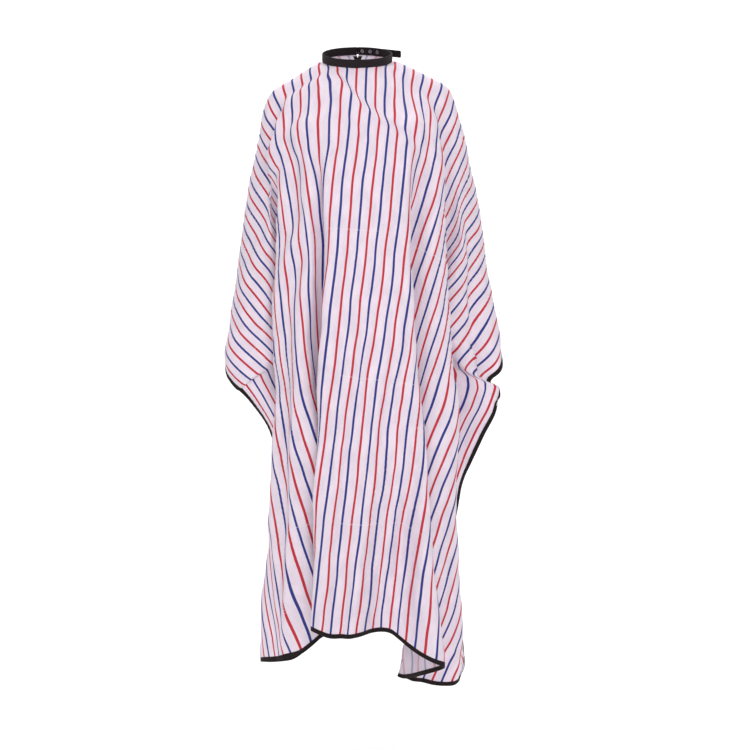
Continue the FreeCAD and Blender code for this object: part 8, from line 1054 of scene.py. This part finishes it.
def band_profile(p):
    a = math.radians(p)
    e = 0.20 * math.sin(5 * a + 0.6) + 0.13 * math.sin(11 * a + 2.0) + 0.08 * math.sin(23 * a)
    lo = 0.25 * math.sin(7 * a + 1.0) + 0.12 * math.sin(17 * a)
    hb = BAND_H / 2
    out_r, in_r = BAND_OUT + 0.0, BAND_IN + 0.0
    pinch = 0.16
    pts = [(out_r - 0.95, -hb + 0.1 + lo), (out_r - 0.45, -hb - 0.15 + lo), (out_r - 0.02, -hb + 0.35 + lo), (out_r + 0.06, -hb + 1.2),
           (out_r - pinch, -hb + 2.0), (out_r + 0.12, -hb + 3.2), (out_r + 0.22 + e * 0.4, -hb + 6.0), (out_r + 0.28 + e * 0.6, -1.0), (out_r + 0.22 + e * 0.6, 3.0),
           (out_r + 0.08 + e * 0.4, 6.0), (out_r - 0.15 + e * 0.3, hb - 1.1), (out_r - 0.55, hb - 0.35), (out_r - 1.1, hb - 0.02),
           (in_r + 1.1, hb), (in_r + 0.5, hb - 0.3), (in_r + 0.1, hb - 1.1), (in_r, 5.0), (in_r, 1.0), (in_r, -3.0), (in_r + 0.02, -hb + 2.4),
           (in_r + 0.1, -hb + 1.8), (in_r + 0.0, -hb + 1.0), (in_r + 0.1, -hb + 0.1 + lo), (in_r + 0.7, -hb + 0.1 + lo),
           (76.85, -hb + 1.2), (76.85, 2.0), (76.9, hb - 1.4), (77.5, hb - 1.0), (78.1, hb - 1.4), (78.15, 2.0), (78.15, -hb + 1.2)]
    return pts


phis = np.linspace(GAP_DEG, 360 - GAP_DEG, 300)
V, F, T = ring_tube(band_profile, phis, 79.0)
band = make_object("neck_band_cloth", V, F, [MAT["band"]], None, {"tape": T})


def cut(ob, cutters):
    bm = bmesh.new(); bm.from_mesh(ob.data); bmesh.ops.recalc_face_normals(bm, faces=bm.faces); bm.to_mesh(ob.data); bm.free()
    for n, (c, d, r, l) in enumerate(cutters):
        bm = bmesh.new()
        bmesh.ops.create_cone(bm, cap_ends=True, segments=28, radius1=r / 1000, radius2=r / 1000, depth=l / 1000)
        me = bpy.data.meshes.new("cutter"); bm.to_mesh(me); bm.free()
        co = bpy.data.objects.new("cutter", me)
        bpy.context.scene.collection.objects.link(co)
        co.matrix_world = (Vector(d).to_track_quat("Z", "Y").to_matrix().to_4x4())
        co.location = Vector(c) / 1000
        bpy.context.view_layer.update()
        m = ob.modifiers.new("cut", "BOOLEAN"); m.operation = "DIFFERENCE"; m.object = co; m.solver = "EXACT"
        dg = bpy.context.evaluated_depsgraph_get()
        ev = ob.evaluated_get(dg)
        new = bpy.data.meshes.new_from_object(ev, preserve_all_data_layers=True, depsgraph=dg)
        ob.modifiers.clear()
        old = ob.data; ob.data = new; bpy.data.meshes.remove(old)
        bpy.data.objects.remove(co); bpy.data.meshes.remove(me)
    return ob


def radial(phi):
    return ring_back(1.0, phi, 0.0)


cut(band, [(ring_back(77.5, p, 0.0), radial(p), 4.55, 8.0) for p in SOCKET_PHI])
for pl in band.data.polygons: pl.use_smooth = True
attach(band, "cape"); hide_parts("neck_band")

# stitches along the band's lower edge, outside and inside
ps = np.arange(3.2, 356.8, math.degrees(4.0 / 79.0))
keep = (ps > 31.8) & (ps < 341.5)
ps_o = ps[keep]
c0 = ring_back(79.0 - 0.14, ps_o, np.full(len(ps_o), -BAND_H / 2 + 2.0))
nr = radial(ps_o); tg = np.stack([ring_back(1.0, x + 0.5, 0) - ring_back(1.0, x - 0.5, 0) for x in ps_o])
a1 = stitches(c0, tg, nr, 3.0, 0.5, 0.32)
c1 = ring_back(76.04, ps, np.full(len(ps), -BAND_H / 2 + 2.0))
tg1 = np.stack([ring_back(1.0, x - 0.5, 0) - ring_back(1.0, x + 0.5, 0) for x in ps])
a2 = stitches(c1, tg1, -radial(ps), 2.8, 0.45, 0.10)
V, F, T = merge([a1, a2])
ns = make_object("neck_band_stitches", V, F, [MAT["thread"]], None, {"tape": T})
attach(ns, "cape"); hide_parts("neck_stitching")


# ------------------------------------------------------------ closing strap
def strap_section(r_in, t, hh, wave=0.0):
    """Rounded flat section, (r, h) points from the outer face round the inner one."""
    o = r_in + t
    return [(o - 0.42, -hh), (o - 0.08, -hh + 0.35), (o, -hh + 0.9), (o - 0.13, -hh + 1.6), (o + 0.02, -hh + 2.6), (o + wave, -hh / 3), (o + wave, hh / 3), (o + 0.02, hh - 2.6),
            (o - 0.13, hh - 1.6), (o, hh - 0.9), (o - 0.08, hh - 0.35), (o - 0.42, hh),
            (r_in + 0.35, hh), (r_in + 0.05, hh - 0.35), (r_in, hh - 1.2), (r_in, hh / 3), (r_in, -hh / 3), (r_in, -hh + 1.2), (r_in + 0.05, -hh + 0.35), (r_in + 0.35, -hh)]


hs = STRAP_H / 2


def strap_profile(p):
    k = min(1.0, max(0.0, (p - ROOT_PHI[0]) / (ROOT_PHI[1] - ROOT_PHI[0] + 0.6)))
    r_in = 79.12 + (STRAP_IN - 79.12) * min(1, max(0, (p + 8.5) / 3.5))
    t = STRAP_IN + STRAP_T - r_in
    a = 0.05 * math.sin(p * 0.9)
    return strap_section(r_in + 0.0, t, hs - 0.05 * math.sin(p * 0.7), a)


# root and strap are one length of folded cloth; it bends at the sewn end
pp = np.unique(np.r_[np.linspace(ROOT_PHI[0], -8, 10), np.linspace(-8, -2, 25), np.linspace(-2, STRAP_PHI[1], 50)])
V, F, T = ring_tube(strap_profile, pp, 80.4)
strap = make_object("closing_strap", V, F, [MAT["strap"]], None, {"tape": T})
cut(strap, [(ring_back(79.6 - 3.0 + 0.55, p, 0.0), radial(p), 3.8, 6.0) for p in STUD_PHI] + [(ring_back(80.4, p, 0.0), radial(p), 1.3, 6.0) for p in STUD_PHI])
for pl in strap.data.polygons: pl.use_smooth = True
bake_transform(strap)
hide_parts("closure_strap_root", "closure_strap")

# free end, running straight on from the strap
nT = radial(TAIL_PHI); tT = unit(ring_back(1.0, TAIL_PHI + 0.5, 0) - ring_back(1.0, TAIL_PHI - 0.5, 0)); hT = np.array([0, -sT, cT])
o0 = ring_back(STRAP_IN, TAIL_PHI, 0.0)
ls = np.unique(np.r_[np.linspace(-0.3, 10, 22), np.linspace(10, TAIL_LEN - 6, 30), np.linspace(TAIL_LEN - 6, TAIL_LEN - 0.05, 14)])
sec, tp = [], []
for l in ls:
    k = max(0.0, (l - (TAIL_LEN - 5.0)) / 5.0)
    hh = hs - 1.0 * k * k if l < TAIL_LEN - 0.5 else hs - 1.5
    pr = np.array(strap_section(STRAP_IN, STRAP_T if l < TAIL_LEN - 0.3 else STRAP_T * 0.7, hs, 0.05 * math.sin(l * 0.3)))
    scale = hh / hs
    lift = 0.35 * math.sin(l / 11.0) * min(1.0, l / 12.0)
    d = pr[:, 0] - STRAP_IN
    sec.append(o0 + tT * l + nT * (d + lift)[:, None] + hT * (pr[:, 1] * scale)[:, None])
    dd = np.r_[0, np.cumsum(np.linalg.norm(np.diff(pr, axis=0), axis=1))]
    tp.append(np.stack([np.full(len(pr), l + 42.0), dd], -1))
V, F, T = sweep(np.array(sec), np.array(tp))
tail = make_object("strap_tail", V, F, [MAT["strap"]], None, {"tape": T})
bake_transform(tail)
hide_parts("closure_strap_tail")

# strap stitches, along both edges of the outer face
def strap_rows(p0, p1):
    return np.arange(p0, p1, math.degrees(3.6 / 81.2))


out_parts = []
pr_ = strap_rows(-2.4, STRAP_PHI[1] - 0.8)
for z in (-hs + 1.6, hs - 1.6):
    c = ring_back(STRAP_IN + STRAP_T - 0.12, pr_, np.full(len(pr_), z)); tg = np.stack([ring_back(1.0, x + 0.5, 0) - ring_back(1.0, x - 0.5, 0) for x in pr_])
    out_parts.append(stitches(c, tg, radial(pr_), 2.6, 0.45, 0.3))
V, F, T = merge(out_parts)
s1 = make_object("strap_stitches", V, F, [MAT["thread"]], None, {"tape": T})
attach(s1, "strap"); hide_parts("strap_stitching")

tl = np.arange(8.0, TAIL_LEN - 6.0, 3.6)
parts = []
for z in (-hs + 1.6, hs - 1.6):
    lift = 0.35 * np.sin(tl / 11.0) * np.minimum(1.0, tl / 12.0)
    c = o0 + tT * tl[:, None] + nT * (STRAP_T - 0.12 + lift)[:, None] + hT * z
    parts.append(stitches(c, np.repeat(tT[None], len(tl), 0), np.repeat(nT[None], len(tl), 0), 2.6, 0.45, 0.3))
    c = o0 + tT * tl[:, None] + nT * (0.0 + lift)[:, None] + hT * z
    parts.append(stitches(c, np.repeat(-tT[None], len(tl), 0), np.repeat(-nT[None], len(tl), 0), 2.6, 0.45, 0.18))
zz = np.arange(-hs + 2.2, hs - 2.0, 3.4)
V, F, T = merge(parts)
s2 = make_object("tail_stitches", V, F, [MAT["thread"]], None, {"tape": T})
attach(s2, "tail"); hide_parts("tail_stitching")

# box of stitches with dense ends that holds the strap's root
parts = []
zr = np.arange(-hs + 2.0, hs - 1.9, 0.62)
for phi in (ROOT_PHI[0] + 1.6, ROOT_PHI[1] - 2.2):
    c = ring_back(STRAP_IN + STRAP_T - 0.06, np.full(len(zr), phi), zr)
    tg = ring_back(1.0, phi + 0.5, 0) - ring_back(1.0, phi - 0.5, 0) + hT * 0.003
    parts.append(stitches(c, np.repeat(tg[None], len(zr), 0), np.repeat(radial(phi)[None], len(zr), 0), 2.3, 0.5, 0.34))
pr2 = strap_rows(ROOT_PHI[0] + 4.0, ROOT_PHI[1] - 3.6)
for z in (-hs + 1.6, hs - 1.6):
    c = ring_back(STRAP_IN + STRAP_T - 0.1, pr2, np.full(len(pr2), z)); tg = np.stack([ring_back(1.0, x + 0.5, 0) - ring_back(1.0, x - 0.5, 0) for x in pr2])
    parts.append(stitches(c, tg, radial(pr2), 2.6, 0.45, 0.3))
V, F, T = merge(parts)
bt = make_object("strap_bar_tacks", V, F, [MAT["thread"]], None, {"tape": T})
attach(bt, "cape"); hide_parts("bar_tacks")

# ------------------------------------------------------- carried-over parts
for n, m in (("snap_sockets", "metal"), ("snap_socket_caps", "metal"), ("snap_studs", "metal"), ("snap_stud_caps", "enamel"), ("neck_interlining", "felt")):
    ob = NODES[n]
    ob.data.materials.clear() if False else None
    if not ob.material_slots:
        ob.data.materials.append(MAT[m])
    for sl in ob.material_slots:
        sl.link = "OBJECT"; sl.material = MAT[m]

# ------------------------------------------------------- floor, light, camera
fm, nt, p = new_material("studio_floor")
p.inputs["Base Color"].default_value = (0.93, 0.93, 0.935, 1)
p.inputs["Roughness"].default_value = 0.9
p.inputs["Specular IOR Level"].default_value = 0.1
bm = bmesh.new()
FZ = -1.62
prof = [(-9.0, FZ), (3.2, FZ)] + [(3.2 + 1.6 * math.sin(a), FZ + 1.6 * (1 - math.cos(a))) for a in np.linspace(0.1, math.pi / 2, 14)] + [(4.8, 7.0)]
vs = [[bm.verts.new((x, y, z)) for y, z in prof] for x in (-9.0, 9.0)]
for a in range(len(prof) - 1):
    bm.faces.new((vs[0][a], vs[1][a], vs[1][a + 1], vs[0][a + 1]))
me = bpy.data.meshes.new("studio_floor"); bm.to_mesh(me); bm.free(); me.materials.append(fm)
for pl in me.polygons: pl.use_smooth = True
floor = bpy.data.objects.new("studio_floor", me); bpy.context.scene.collection.objects.link(floor)

w = bpy.data.worlds.new("studio"); bpy.context.scene.world = w; w.use_nodes = True
bg = w.node_tree.nodes.get("Background") or w.node_tree.nodes.new("ShaderNodeBackground")
bg.inputs[0].default_value = (1.0, 1.0, 1.0, 1); bg.inputs[1].default_value = 0.62


def area(name, loc, target, size, power, size_y=None, colour=(1, 1, 1)):
    l = bpy.data.lights.new(name, "AREA"); l.energy = power; l.color = colour
    l.shape = "RECTANGLE"; l.size = size; l.size_y = size_y or size
    o = bpy.data.objects.new(name, l); bpy.context.scene.collection.objects.link(o)
    o.location = loc
    o.rotation_euler = (Vector(target) - Vector(loc)).to_track_quat("-Z", "Y").to_euler()
    return o


area("key", (1.1, -3.8, 1.5), (0, 0, -0.7), 2.4, 64, 2.4)
area("fill", (-2.7, -3.0, 0.2), (0, 0, -0.8), 2.6, 20, 2.6)
area("top", (0.0, 0.4, 2.6), (0, 0, -0.5), 3.0, 30, 3.0)
area("backdrop", (0.0, 1.6, 2.8), (0, 4.6, -0.2), 5.0, 120, 2.0)

cam = bpy.data.cameras.new("camera"); cam.lens = 68.27; cam.sensor_width = 36.0
co = bpy.data.objects.new("camera", cam); bpy.context.scene.collection.objects.link(co)
co.location = (0.040, -3.2, -0.715); co.rotation_euler = (math.pi / 2, 0, 0)
cam.clip_end = 50
bpy.context.scene.camera = co
sc = bpy.context.scene
sc.view_settings.view_transform = "Standard"
sc.view_settings.look = "None"
sc.view_settings.exposure = 0.0
